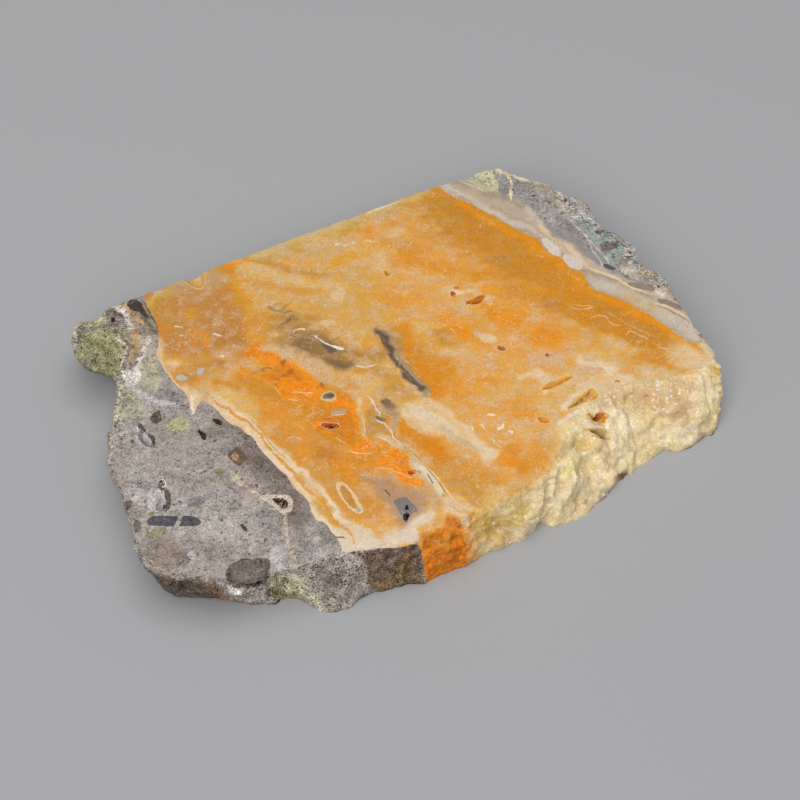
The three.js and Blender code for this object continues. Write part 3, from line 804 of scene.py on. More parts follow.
    Wash(-7, 46, 2.5, 1.5, 20, Hue.PALE_CREAM, 0.6),
    Wash(-14, 45, 4, 1.5, 20, Hue.PINK, 0.6),
    Wash(5, 30, 5, 4, 0, Hue.PEACH, 0.7),
    Wash(-4, 22, 6, 5, 0, Hue.GOLD, 0.35),
    # smoke and dark streak
    Patch(Hue.SMOKE_OLIVE, 4.0, 0.85, (
        (-31, 3), (-27, 9), (-20, 9), (-13, 4), (-7, -1), (-9, -4), (-17, -5), (-26, 0)
    )),
    Wash(-12, 7, 6, 3, -20, Hue.HONEY, 0.6),
    Wash(-10, -2, 4, 2, -20, Hue.OCHRE, 0.6),
    Patch(Hue.SMOKE, 1.8, 0.95, (
        (-30.5, 3), (-27.5, 4.6), (-26, 7), (-25, 4.8), (-21.6, 2.6), (-25.5, 1.8)
    )),
    Patch(Hue.SMOKE, 1.4, 0.9, ((-20.5, 3.6), (-17.6, 4.4), (-14.6, 2), (-17.4, 1.6))),
    Stroke(Hue.SMOKE, 1.4, 2.0, 0.75, ((-19, -1.5), (-16, -2.6), (-12.4, -3))),
    Wash(-21, -1, 6, 2.5, -20, Hue.SMOKE_OLIVE, 0.6),
    Stroke(Hue.DEEP_ORANGE, 5.0, 3.0, 0.8, ((1, 11), (4, 5), (7, -2), (10.5, -8), (12.5, -14))),
    Stroke(Hue.HALO, 2.4, 1.2, 0.95, (
        (-2.6, 9.4), (0.2, 6), (3.6, -0.6), (7, -6.6), (9.8, -11.6), (9.6, -15)
    )),
    Patch(Hue.PALE_HONEY, 4.0, 0.9, (
        (-14, -6), (-4, 2), (0, -3), (6, -11), (9, -16), (2, -20), (-4, -16), (-10, -12)
    )),
    Wash(-3, 3, 2.5, 5, 20, Hue.OCHRE, 0.6),
    Wash(-7.4, 4.5, 1.4, 4.5, -15, Hue.GOLD, 0.8),
    Wash(2, -11, 5, 4, -40, Hue.OCHRE, 0.5),
    Stroke(Hue.STREAK, 1.2, 0.9, 0.95, (
        (-4, 9.2), (-2.6, 6.5), (-1.6, 3.6), (0.6, -0.2), (3, -4), (5.8, -8.4), (8.6, -12)
    )),
    Wash(8, -11.2, 1.6, 2, 30, Hue.STREAK, 0.7),
    Patch(Hue.STREAK, 1.4, 0.9, ((-3.2, -16.4), (0, -15.6), (0.6, -18), (0.2, -20.4), (-1.6, -20.6))),
    # tongue
    Patch(Hue.TONGUE, 1.6, 1.0, (
        (0.6, -19.6), (4, -16.6), (9.5, -15.4), (14, -18), (18, -22), (24, -29.5), (27.4, -34.4),
        (26, -36.4), (22.6, -34.6), (16, -30.4), (12, -28.6), (8, -26.4), (4.4, -23.4)
    )),
    Stroke(Hue.TONGUE, 3.6, 2.0, 1.0, ((21, -30.4), (24.4, -34), (27.4, -37))),
    Stroke(Hue.PALE_CREAM, 2.4, 2.5, 0.7, ((8, -20), (14, -23), (20, -29), (26, -35.4))),
    Stroke(Hue.HALO, 1.2, 2.4, 0.35, ((14, -27), (20, -31), (24, -35))),
    Stroke(Hue.PEACH, 1.0, 1.4, 0.5, ((10, -17.4), (16, -23), (22, -30))),
    Patch(Hue.TAUPE, 1.5, 0.8, ((-0.4, -21.4), (2.4, -21.6), (2, -26.4), (0.8, -27))),
    # right of the vivid zone
    Wash(-4, -34, 5, 7, 35, Hue.ORANGE, 0.8),
    Patch(Hue.OCHRE, 1.8, 0.9, ((-6.6, -17), (-3.4, -18), (-1.2, -23), (0.4, -29), (-3, -31), (-6.8, -29))),
    Stroke(Hue.PALE_CREAM, 0.9, 1.2, 0.75, ((-9.4, -15), (-8.9, -22), (-7.4, -29), (-4.4, -31.4))),
    Stroke(Hue.CREAM, 0.7, 1.0, 0.7, ((-4.6, -28.6), (0, -31.6), (5, -36.4), (9, -40.6))),
    # vivid zone, soft part
    Patch(Hue.SAFFRON, 3.0, 0.9, (
        (-43, -4), (-32, -6), (-20, -9), (-12, -14), (-8, -22), (-7, -32), (-16, -34), (-24, -24),
        (-34, -17), (-44, -11)
    )),
    Wash(-35, -12, 5, 4, -20, Hue.SAFFRON, 0.5),
    Wash(-18, -21, 4, 5, 0, Hue.SAFFRON, 0.5),
    Stroke(Hue.SPECKLED, 3.4, 1.4, 1.0, (
        (-38, 4.6), (-30, 1.4), (-22, -2.4), (-18, -6), (-15.6, -9.6), (-11, -13)
    )),
    Patch(Hue.SPECKLED, 1.2, 0.9, (
        (-36.6, 4), (-33, 3.6), (-27, 0.6), (-21, -3), (-17, -6), (-16.4, -10), (-18, -10), (-22, -8.6),
        (-27, -5), (-31, -1.6), (-34, 0.4)
    )),
    Patch(Hue.VIVID, 0.9, 1.0, (
        (-42.6, 0), (-42.4, 2.4), (-40, 3.4), (-38.4, 6.4), (-36.6, 4.4), (-36.4, 1.4), (-34, 0.4),
        (-31, -1.4), (-29.4, -3), (-29.6, -5), (-33, -4.6), (-36.4, -4.6), (-38, -2.4), (-38.4, -0.4),
        (-40.6, -0.8)
    )),
    Patch(Hue.VIVID, 0.8, 1.0, (
        (-42.4, -6), (-41, -4.8), (-39, -5), (-38.4, -6.4), (-39.8, -7.6), (-41.6, -7.4)
    )),
    Patch(Hue.VIVID, 1.2, 0.85, (
        (-40, -6.6), (-36, -3.4), (-30, -2), (-26, -4.6), (-22, -8.8), (-19, -11), (-19, -14),
        (-22, -18.4), (-27, -18.4), (-31, -14), (-33, -10.6), (-37, -9)
    )),
    Patch(Hue.BURNT, 1.4, 0.3, (
        (-38.6, -6.6), (-36, -4.4), (-31, -3.4), (-27.6, -5.8), (-25.6, -8.8), (-28, -10), (-32, -8.6),
        (-36, -8.4)
    )),
    Patch(Hue.SAFFRON, 2.0, 0.6, ((-30, -16), (-26, -14.6), (-21, -15.6), (-20, -19.6), (-26, -20.4))),
    Patch(Hue.VIVID, 0.9, 0.9, (
        (-31, -10.6), (-28.6, -10.4), (-25, -8.8), (-21.4, -10.2), (-19.6, -12.6), (-22.6, -13.6),
        (-25, -12.8), (-28.4, -14.4), (-30.4, -13)
    )),
    Patch(Hue.VIVID, 0.9, 0.4, ((-28, -16), (-24, -15.6), (-21, -17.6), (-23, -19.6), (-27, -18.6))),
    Patch(Hue.VIVID_DEEP, 1.4, 0.85, (
        (-20.6, -22), (-18.6, -20.6), (-14, -21.6), (-11.4, -22), (-9, -29.6), (-12, -31.4), (-17, -29.6),
        (-20.4, -26)
    )),
    Patch(Hue.VIVID, 0.8, 1.0, (
        (-20, -17), (-17.4, -17.6), (-15, -14), (-13.4, -12.4), (-12.6, -14.6), (-10.8, -16.4),
        (-9.6, -20), (-8.8, -25), (-7.6, -30), (-8.6, -30.4), (-10.4, -25), (-12, -20.4), (-14, -19.4),
        (-18, -20), (-20.6, -19.6)
    )),
    Patch(Hue.VIVID, 1.0, 0.8, ((-22, -22), (-19.8, -21.4), (-18.8, -24), (-20, -26.4), (-21.4, -25))),
    Patch(Hue.VIVID, 0.8, 0.9, ((-19.6, -28), (-17.4, -27.6), (-15.8, -28.8), (-17.4, -29.6))),
    Wash(-30, -3.4, 1.2, 0.9, 0, Hue.BROWN_SPOT, 0.5),
    Wash(-31.4, -7.4, 2, 0.9, -20, Hue.BROWN_SPOT, 0.35),
    Wash(-27.6, -10, 2.4, 1, -30, Hue.BROWN_SPOT, 0.35),
    Wash(-33, -9, 1.6, 0.7, 0, Hue.BROWN_SPOT, 0.5),
    Wash(-21, -11, 1.2, 0.8, 20, Hue.BROWN_SPOT, 0.5),
    Wash(-13.2, -15.2, 1.6, 1.4, 20, Hue.ROSE, 0.7),
    Wash(-23.6, -21.6, 2.6, 1.1, 20, Hue.PINK, 0.8),
    # lower orange between the vivid zone and the left band
    Patch(Hue.AMBER, 4.0, 0.9, (
        (-44, -14), (-32, -17), (-24, -24), (-16, -33), (-8, -36), (-5, -44), (0, -50), (-2, -60),
        (-12, -58), (-22, -46), (-32, -34), (-42, -24)
    )),
    Wash(-34, -18, 6, 3, -20, Hue.ORANGE, 0.8),
    Wash(-27, -25, 7, 4, -35, Hue.ORANGE, 0.6),
    Wash(-24, -34, 6, 3, -50, Hue.ORANGE, 0.6),
    Wash(-14, -40, 4, 6, 20, Hue.ORANGE, 0.6),
    Wash(-18, -36, 3, 5, 30, Hue.BURNT, 0.35),
    Wash(-20, -43, 3, 5, 35, Hue.TAN, 0.6),
    Patch(Hue.PALE_HONEY, 2.5, 0.8, (
        (-58, -12), (-48, -12), (-40, -15), (-34, -20), (-38, -26), (-46, -22), (-54, -15)
    )),
    Wash(-48, -13, 7, 2, -22, Hue.CREAM, 0.6),
    # left band, soft part
    Patch(Hue.CREAM, 1.1, 1.0, LEFT_CONTACT[12:] + (
        (-9, -67), (-6.4, -64), (-7, -61.4), (-9.6, -60), (-12.6, -58.8), (-14.6, -56), (-16, -52.2),
        (-18.2, -49.2), (-20.6, -47), (-23, -45), (-24.8, -42), (-28.2, -37.4), (-31, -34), (-33.2, -30),
        (-36.6, -24), (-39.4, -21), (-43.6, -18.4), (-47, -15), (-52, -12.4), (-57, -12.6)
    )),
    Stroke(Hue.TAN, 1.5, 1.0, 0.75, (
        (-26.4, -42.6), (-24, -46.4), (-20, -50.4), (-17.4, -54.4), (-14.8, -59.4), (-11.6, -61.4),
        (-9.6, -65)
    )),
    Stroke(Hue.AMBER, 0.8, 1.0, 0.6, (
        (-41, -21.6), (-36.4, -26.4), (-33.6, -31.4), (-30.2, -35.4), (-27, -38.8)
    )),
    Stroke(Hue.WHITE, 0.8, 1.0, 0.7, (
        (-44, -20.4), (-39.2, -23), (-36, -27.4), (-33.2, -32), (-30, -36), (-26.6, -40), (-24, -43.6),
        (-22, -46.4), (-19.2, -48.6), (-16.8, -52), (-14.4, -57), (-11.4, -59.4), (-8.4, -60.8)
    )),
    Stroke(Hue.PALE_CREAM, 1.0, 1.0, 0.8, (
        (-40, -27), (-36.6, -32), (-32, -37.6), (-28, -42.6), (-25.6, -47.4), (-22.6, -50.6),
        (-20.6, -55), (-17.6, -58), (-15, -61.8), (-13, -65)
    )),
    Stroke(Hue.CREAM, 1.6, 1.4, 0.9, (
        (-66.2, 5), (-66, 1), (-64.4, -3), (-62, -8), (-59.4, -11.4), (-55, -13.6)
    )),
    Stroke(Hue.AMBER, 0.8, 1.0, 0.7, ((-60.4, 0.4), (-58.6, -2.6), (-59, -6), (-61.4, -7.4))),
    # lower centre
    Wash(-4, -48, 4, 5, 20, Hue.PINK, 0.6),
    Wash(-8, -61, 6, 3, 30, Hue.PEACH, 0.6),
    # corrections of the broad tones, from the back to the front
    Stroke(Hue.PALE_EDGE, 2.0, 3.2, 0.9, (
        (-40, 41), (-28, 47.4), (-20, 51.6), (-12, 56), (-4, 60), (4, 64), (9, 66.4)
    )),
    Wash(3, 58, 10, 4, 15, Hue.HONEY_GREY, 0.6),
    Wash(-4, 59, 7, 3, 27, Hue.PALE_EDGE, 0.6),
    Wash(8, 54, 7, 4, -15, Hue.PEACH, 0.6),
    Wash(-5, -41, 5, 5, 20, Hue.DEEP_ORANGE, 0.6),
    Wash(-4, -32, 5, 6, 30, Hue.DEEP_ORANGE, 0.35),
    Wash(-40, -6, 6, 6, 0, Hue.AMBER, 0.3),
    Wash(-26, 12, 6, 4, 0, Hue.OCHRE, 0.5),
    Wash(9, 40, 6, 4, -20, Hue.DEEP_ORANGE, 0.5),
    Wash(15, -55, 4, 2.4, -50, Hue.CREAM, 0.6),
    Wash(33, -34, 4, 4, 0, Hue.DEEP_ORANGE, 0.6),
    Wash(-14, -43, 3, 5, 30, Hue.DEEP_ORANGE, 0.5),
    Wash(9, 0, 4, 6, 30, Hue.DEEP_ORANGE, 0.5),
    Wash(-2, -6, 5, 4, -30, Hue.OCHRE, 0.6),
    Wash(-26, 3, 8, 4, -25, Hue.SMOKE_OLIVE, 0.4),
    Wash(-8, -67.6, 6, 2, 10, Hue.PALE_TAUPE, 1.0),
    Wash(74, -8.6, 4, 2, -20, Hue.PEACH, 0.5),
    Wash(13, -53, 3, 3, 0, Hue.CREAM, 0.5),
    Wash(-22, -49, 2.4, 4, 30, Hue.STONE_WHITE, 0.4),
    Wash(-48, -12, 6, 2.4, -25, Hue.AMBER, 0.5),
    Wash(50, 12, 6, 5, -40, Hue.PEACH, 0.5),
    Wash(-70, 24, 5, 2, 40, Hue.PALE_EDGE, 0.6),
    Wash(-3, 36, 5, 4, 0, Hue.CREAM, 0.3),
    Wash(-20, 46, 8, 3, 27, Hue.CREAM, 0.5),
    Wash(84, -1, 5, 4, -30, Hue.CREAM, 0.5),
    Wash(-53, 27, 6, 4, 28, Hue.ROSE_GREY, 0.6),
    Wash(-20, 50.6, 9, 2.4, 27, Hue.PALE_EDGE, 0.7),
    Wash(0, 13, 7, 5, 0, Hue.PEACH, 0.6),
    Wash(46, -33, 5, 9, 10, Hue.PALE_HONEY, 0.7),
    Wash(30, -49, 8, 3, -30, Hue.PALE_HONEY, 0.7),
    Wash(19, -52, 5, 2.4, -40, Hue.CREAM, 0.7),
    Wash(-22, -49, 3, 5, 35, Hue.PALE_HONEY, 0.5),
    Wash(82, 4, 5, 4, -30, Hue.PALE_HONEY, 0.6),
    Wash(2, 6, 2.4, 4, 25, Hue.OCHRE, 0.6),
    Wash(17, 55, 8, 4, -35, Hue.TAN, 0.5),
    Wash(-20, 43, 13, 3.4, 27, Hue.HONEY_GREY, 0.75),
    Wash(-8, 42, 6, 3, -20, Hue.PALE_HONEY, 0.5),
    Wash(4, 44, 8, 4, -20, Hue.AMBER, 0.7),
    Wash(17, 36, 7, 4, -20, Hue.ORANGE, 0.5),
    Wash(-57, 28, 12, 3.4, 28, Hue.ROSE_GREY, 0.8),
    Wash(-39, 14, 4, 6, 0, Hue.AMBER, 0.7),
    Wash(-29, 12, 6, 4, -10, Hue.SMOKE_OLIVE, 0.35),
    Wash(-3, 15, 6, 5, 0, Hue.HONEY, 0.6),
    Wash(-9, 8, 4, 3, 0, Hue.PALE_HONEY, 0.5),
    Stroke(Hue.SMOKE, 0.3, 0.7, 0.7, ((-36.4, 19.4), (-35, 17.6), (-32.6, 16.2), (-30, 16))),
    Stroke(Hue.SMOKE, 0.4, 0.8, 0.75, ((-32.6, 12.2), (-31, 13.4), (-29, 14))),
    Stroke(Hue.SMOKE, 0.2, 0.6, 0.6, ((-36, 19), (-34.6, 20.2), (-33.4, 20.4))),
    Stroke(Hue.SMOKE, 0.2, 0.6, 0.6, ((-33.6, 17), (-32.4, 18.2), (-31.4, 19))),
    Wash(-16.6, 2.8, 1.4, 0.8, -10, Hue.SMOKE, 0.9),
    Wash(19, 10, 6, 4, -30, Hue.ORANGE, 0.7),
    Wash(11, 1, 8, 5, -45, Hue.SAFFRON, 0.45),
    Wash(-27, 5, 6, 3.6, -20, Hue.SMOKE_OLIVE, 0.45),
    Wash(-38, 5, 4, 5, -30, Hue.DEEP_ORANGE, 0.4),
    Wash(-5, 0, 4, 3, -30, Hue.SMOKE_OLIVE, 0.35),
    Wash(-5, -5, 6, 3.4, -25, Hue.OCHRE, 0.7),
    Wash(-12, -10, 5, 3, -40, Hue.AMBER, 0.5),
    Wash(6, -15, 5, 2.4, -30, Hue.OCHRE, 0.4),
    Wash(-0.6, -21, 2.4, 3.4, 0, Hue.HALO, 0.6),
    Wash(-53, -13.6, 6, 2, -20, Hue.ROSE_GREY, 0.5),
    Wash(82, 0, 5, 4, -20, Hue.PALE_HONEY, 0.8),
    Wash(54, -6, 6, 3, 0, Hue.PALE_HONEY, 0.6),
    Wash(49, -12, 7, 4, 30, Hue.PALE_HONEY, 0.8),
    Wash(58, -12, 8, 4, 30, Hue.CREAM, 0.8),
    Wash(5, -25, 4, 5, -40, Hue.HONEY, 0.4),
    Wash(21, -33, 6, 2.2, -48, Hue.HONEY, 0.45),
    Wash(6, -34, 3.4, 5, -45, Hue.AMBER, 0.8),
    Wash(32, -37, 5, 4, 20, Hue.ORANGE, 0.8),
    Wash(45, -34, 2.5, 4, 15, Hue.PALE_HONEY, 0.7),
    Wash(-13, -34, 4, 5, 20, Hue.VIVID_DEEP, 0.25),
    Wash(-7, -43, 4, 5, 30, Hue.ORANGE, 0.6),
    Wash(0, -48, 4, 4, 0, Hue.ROSE_TAN, 0.6),
    Wash(34, -47, 4, 3, -40, Hue.HONEY, 0.7),
    Wash(30, -51, 7, 3, -20, Hue.PALE_HONEY, 0.8),
    Wash(23, -55, 4, 2.4, -20, Hue.PALE_HONEY, 0.8),
    Wash(10, -55, 4, 3, -50, Hue.PALE_TAUPE, 0.6),
    Wash(5, -64.6, 5, 2, 10, Hue.CRUST_PALE, 0.7),
    Wash(-7, -65.6, 6, 2.4, 20, Hue.PALE_TAUPE, 0.9),
    Patch(Hue.MAUVE, 4.0, 0.85, (
        (-1.6, -51), (4, -49.4), (9, -51), (9, -54.6), (6, -62), (3, -62), (0, -56)
    )),
    Patch(Hue.MAUVE, 4.0, 0.8, (
        (-10, -43), (-4, -43), (2, -46), (8, -47.4), (11, -50), (8, -53), (0, -52), (-4, -49)
    )),
    Patch(Hue.STONE_WHITE, 2.2, 0.95, (
        (14, -53.6), (12.4, -57), (8.4, -60), (6.4, -66), (-4, -66), (0, -61), (3, -62.4), (5, -60.4),
        (7, -56.4), (10, -54.4)
    )),
    Patch(Hue.STONE_WHITE, 2.0, 0.7, ((-14, -60), (-9, -60.6), (-5, -63), (-6, -67), (-13, -68))),
    Stroke(Hue.STONE_WHITE, 2.0, 1.0, 0.95, ((-12, -68), (-6, -67), (0, -66.4), (7, -65))),
    Stroke(Hue.PEACH, 1.6, 1.6, 0.8, ((11, -60), (14, -56), (13, -52))),
    Stroke(Hue.PALE_TAUPE, 1.8, 1.2, 0.8, ((-3, -28.4), (0.4, -31.6), (4, -35.2), (8, -39.6))),
    Stroke(Hue.DEEP_ORANGE, 0.9, 0.8, 0.9, ((0.4, -27.6), (1.6, -30), (3.6, -32.4))),
    Stroke(Hue.STONE_WHITE, 1.0, 1.2, 0.75, ((8, -39.6), (12, -45.4), (15.4, -52), (18, -56), (20.6, -59))),
    Stroke(Hue.CREAM, 1.4, 1.6, 0.7, ((13.6, -50), (17, -53), (20.6, -54.6))),
    Stroke(Hue.ROSE_GREY, 2.0, 2.4, 0.7, ((7, -42.6), (10, -48), (13, -52))),
    Patch(Hue.VIVID, 0.7, 1.0, (
        (-12.6, -33.2), (-9.6, -31.6), (-7.6, -29.6), (-5, -30.6), (-3.4, -32.4), (-3.8, -35),
        (-7, -35.4), (-10.6, -35.4)
    )),
    Patch(Hue.VIVID, 0.7, 1.0, (
        (-4.6, -40.6), (-3.4, -37.2), (-1.4, -34.6), (1, -34.6), (2.6, -36.8), (5.4, -38.6), (8.4, -41.6),
        (9.2, -45), (6.4, -46.6), (3, -45), (0.6, -42.4), (-1.4, -41)
    )),
    Patch(Hue.VIVID_DEEP, 0.9, 0.7, (
        (2.4, -38), (5, -38.6), (7.6, -41), (7.4, -43), (4.4, -42.6), (2.4, -41)
    )),
    Wash(-5.4, -33.4, 1.6, 1.2, 20, Hue.ROSE_GREY, 0.6),
    Wash(6.6, -40.6, 1.4, 0.8, -30, Hue.SMOKE_OLIVE, 0.6),
    Wash(-8, -37, 4, 3, 10, Hue.DEEP_ORANGE, 0.5),
    Patch(Hue.DEEP_ORANGE, 1.6, 0.85, (
        (2, -22.4), (4, -23.4), (9, -28), (13, -32), (16, -37), (12, -38), (7, -33.6), (4, -30.6),
        (2.4, -27)
    )),
    Wash(56, -6, 4, 2, 0, Hue.PINK, 0.7),
    Wash(85, 0, 5, 4, 0, Hue.CREAM, 0.6),
    Wash(42, -34, 3, 4, 0, Hue.HONEY, 0.6),
    Wash(-34, -26, 3, 3, -40, Hue.PEACH, 0.6),
    Wash(20, 12, 5, 4, -20, Hue.BRIGHT_ORANGE, 0.6),
    Wash(30, 25, 5, 3, 0, Hue.BRIGHT_ORANGE, 0.5),
    Wash(-58, 31, 9, 3, 28, Hue.ROSE_GREY, 0.5),
    Wash(0, -13, 8, 6, -30, Hue.OCHRE, 0.4),
    Wash(-30, 8, 8, 5, -10, Hue.SMOKE_OLIVE, 0.2),
    Patch(Hue.ORANGE_ROCK, 1.6, 1.0, (
        (8.4, -66), (9.6, -63.4), (12.4, -61), (14.6, -59), (15.6, -56), (17, -56.6), (18.8, -59),
        (21, -62), (21, -70), (19, -80), (8, -82), (8.6, -70)
    )),
    Wash(13, -66, 3, 1.6, -20, Hue.OCHRE, 0.7),
    Wash(17, -62, 3, 1.6, 20, Hue.VIVID, 0.8),
    Wash(11, -71, 2.4, 3, 0, Hue.VIVID, 0.7),
    Wash(17, -70, 2, 4, -20, Hue.BURNT_RED, 0.3),
    # front and crust below the polished face, as they lie on the side
    Patch(Hue.CRUST_YELLOW, 5.0, 1.0, CRUST),
    Stroke(Hue.CRUST_TAN, 5.0, 3.0, 0.75, ((60, -18), (66, -15), (74, -13), (82, -11))),
    Wash(26, -60, 4, 8, 0, Hue.CRUST_GREEN, 0.7),
    Wash(30, -63, 6, 4, 20, Hue.CRUST_TAN, 0.5),
    Wash(30, -60, 8, 5, 20, Hue.CRUST_GREEN, 0.6),
    Wash(34, -54, 6, 4, 20, Hue.YELLOW_EDGE, 0.7),
    Wash(36, -62, 6, 4, 30, Hue.CRUST_PALE, 0.6),
    Wash(44, -46, 8, 6, 40, Hue.CRUST_YELLOW, 0.8),
    Wash(44, -52, 8, 4, 35, Hue.CRUST_PALE, 0.8),
    Wash(54, -44, 9, 4, 40, Hue.CRUST_PALE, 0.8),
    Wash(59, -50.6, 9, 3.4, 40, Hue.ROCK, 0.95),
    Wash(52, -32, 5, 6, 0, Hue.CRUST_GREEN, 0.35),
    Wash(62, -24, 8, 6, -30, Hue.CRUST_WHITE, 0.8),
    Wash(60, -38, 9, 5, 40, Hue.CRUST_WHITE, 0.7),
    Wash(76, -17, 12, 5, -15, Hue.CRUST_TAN, 1.0),
    Wash(88, -16, 6, 9, 0, Hue.CRUST_PALE, 0.8),
    Wash(80, -28, 10, 4, 30, Hue.CRUST_WHITE, 0.6),
    Wash(88, -29, 6, 3, 20, Hue.BAND_TAUPE, 0.8),
    Stroke(Hue.OLIVE_BROWN, 1.6, 1.4, 0.75, ((81, -33.4), (86, -30.8), (91, -26.4))),
    Wash(64, -43, 2.4, 1.2, 20, Hue.OLIVE_BROWN, 0.9),
    Wash(57, -27, 4, 4, 0, Hue.CRUST_TAN, 0.6),
    Wash(64, -27, 3, 6, -10, Hue.CRUST_WHITE, 0.7),
    Wash(52, -36, 4, 3, 20, Hue.CRUST_WHITE, 0.7),
    Wash(58, -34, 3, 2, 0, Hue.CRUST_TAN, 0.6),
    Wash(70, -22, 5, 4, 0, Hue.YELLOW_EDGE, 0.4),
    Wash(84, -22, 4, 3, 0, Hue.YELLOW_EDGE, 0.4),
    # painted light: pale crust washes that also lift slopes turned away from the lamps
    Wash(49, -39, 6, 4, 30, Hue.CRUST_PALE_AND_LIT, 0.9),
    Wash(50, -29, 4, 4, 0, Hue.CRUST_PALE_AND_LIT, 0.8),
    Wash(91, -20, 4, 5, 0, Hue.CRUST_PALE_AND_LIT, 0.8),
    Wash(60, -38, 3, 3, 0, Hue.CRUST_TAN, 0.5),
    Wash(58, -50, 4, 2, 30, Hue.PATCH_GREY, 0.8),
    Wash(91.5, -4, 2.5, 3, 0, Hue.CRUST_GREEN, 0.7),
    Wash(91, 3, 2, 5, 20, Hue.CRUST_WHITE, 0.7),
    Wash(-26, 12, 5, 3, 0, Hue.MUSTARD, 0.3),
    # painted light: pale crust wash that also lifts the slope turned away from the lamps
    Wash(50, -40, 4, 3, 30, Hue.CRUST_PALE_AND_LIT, 0.8),
)

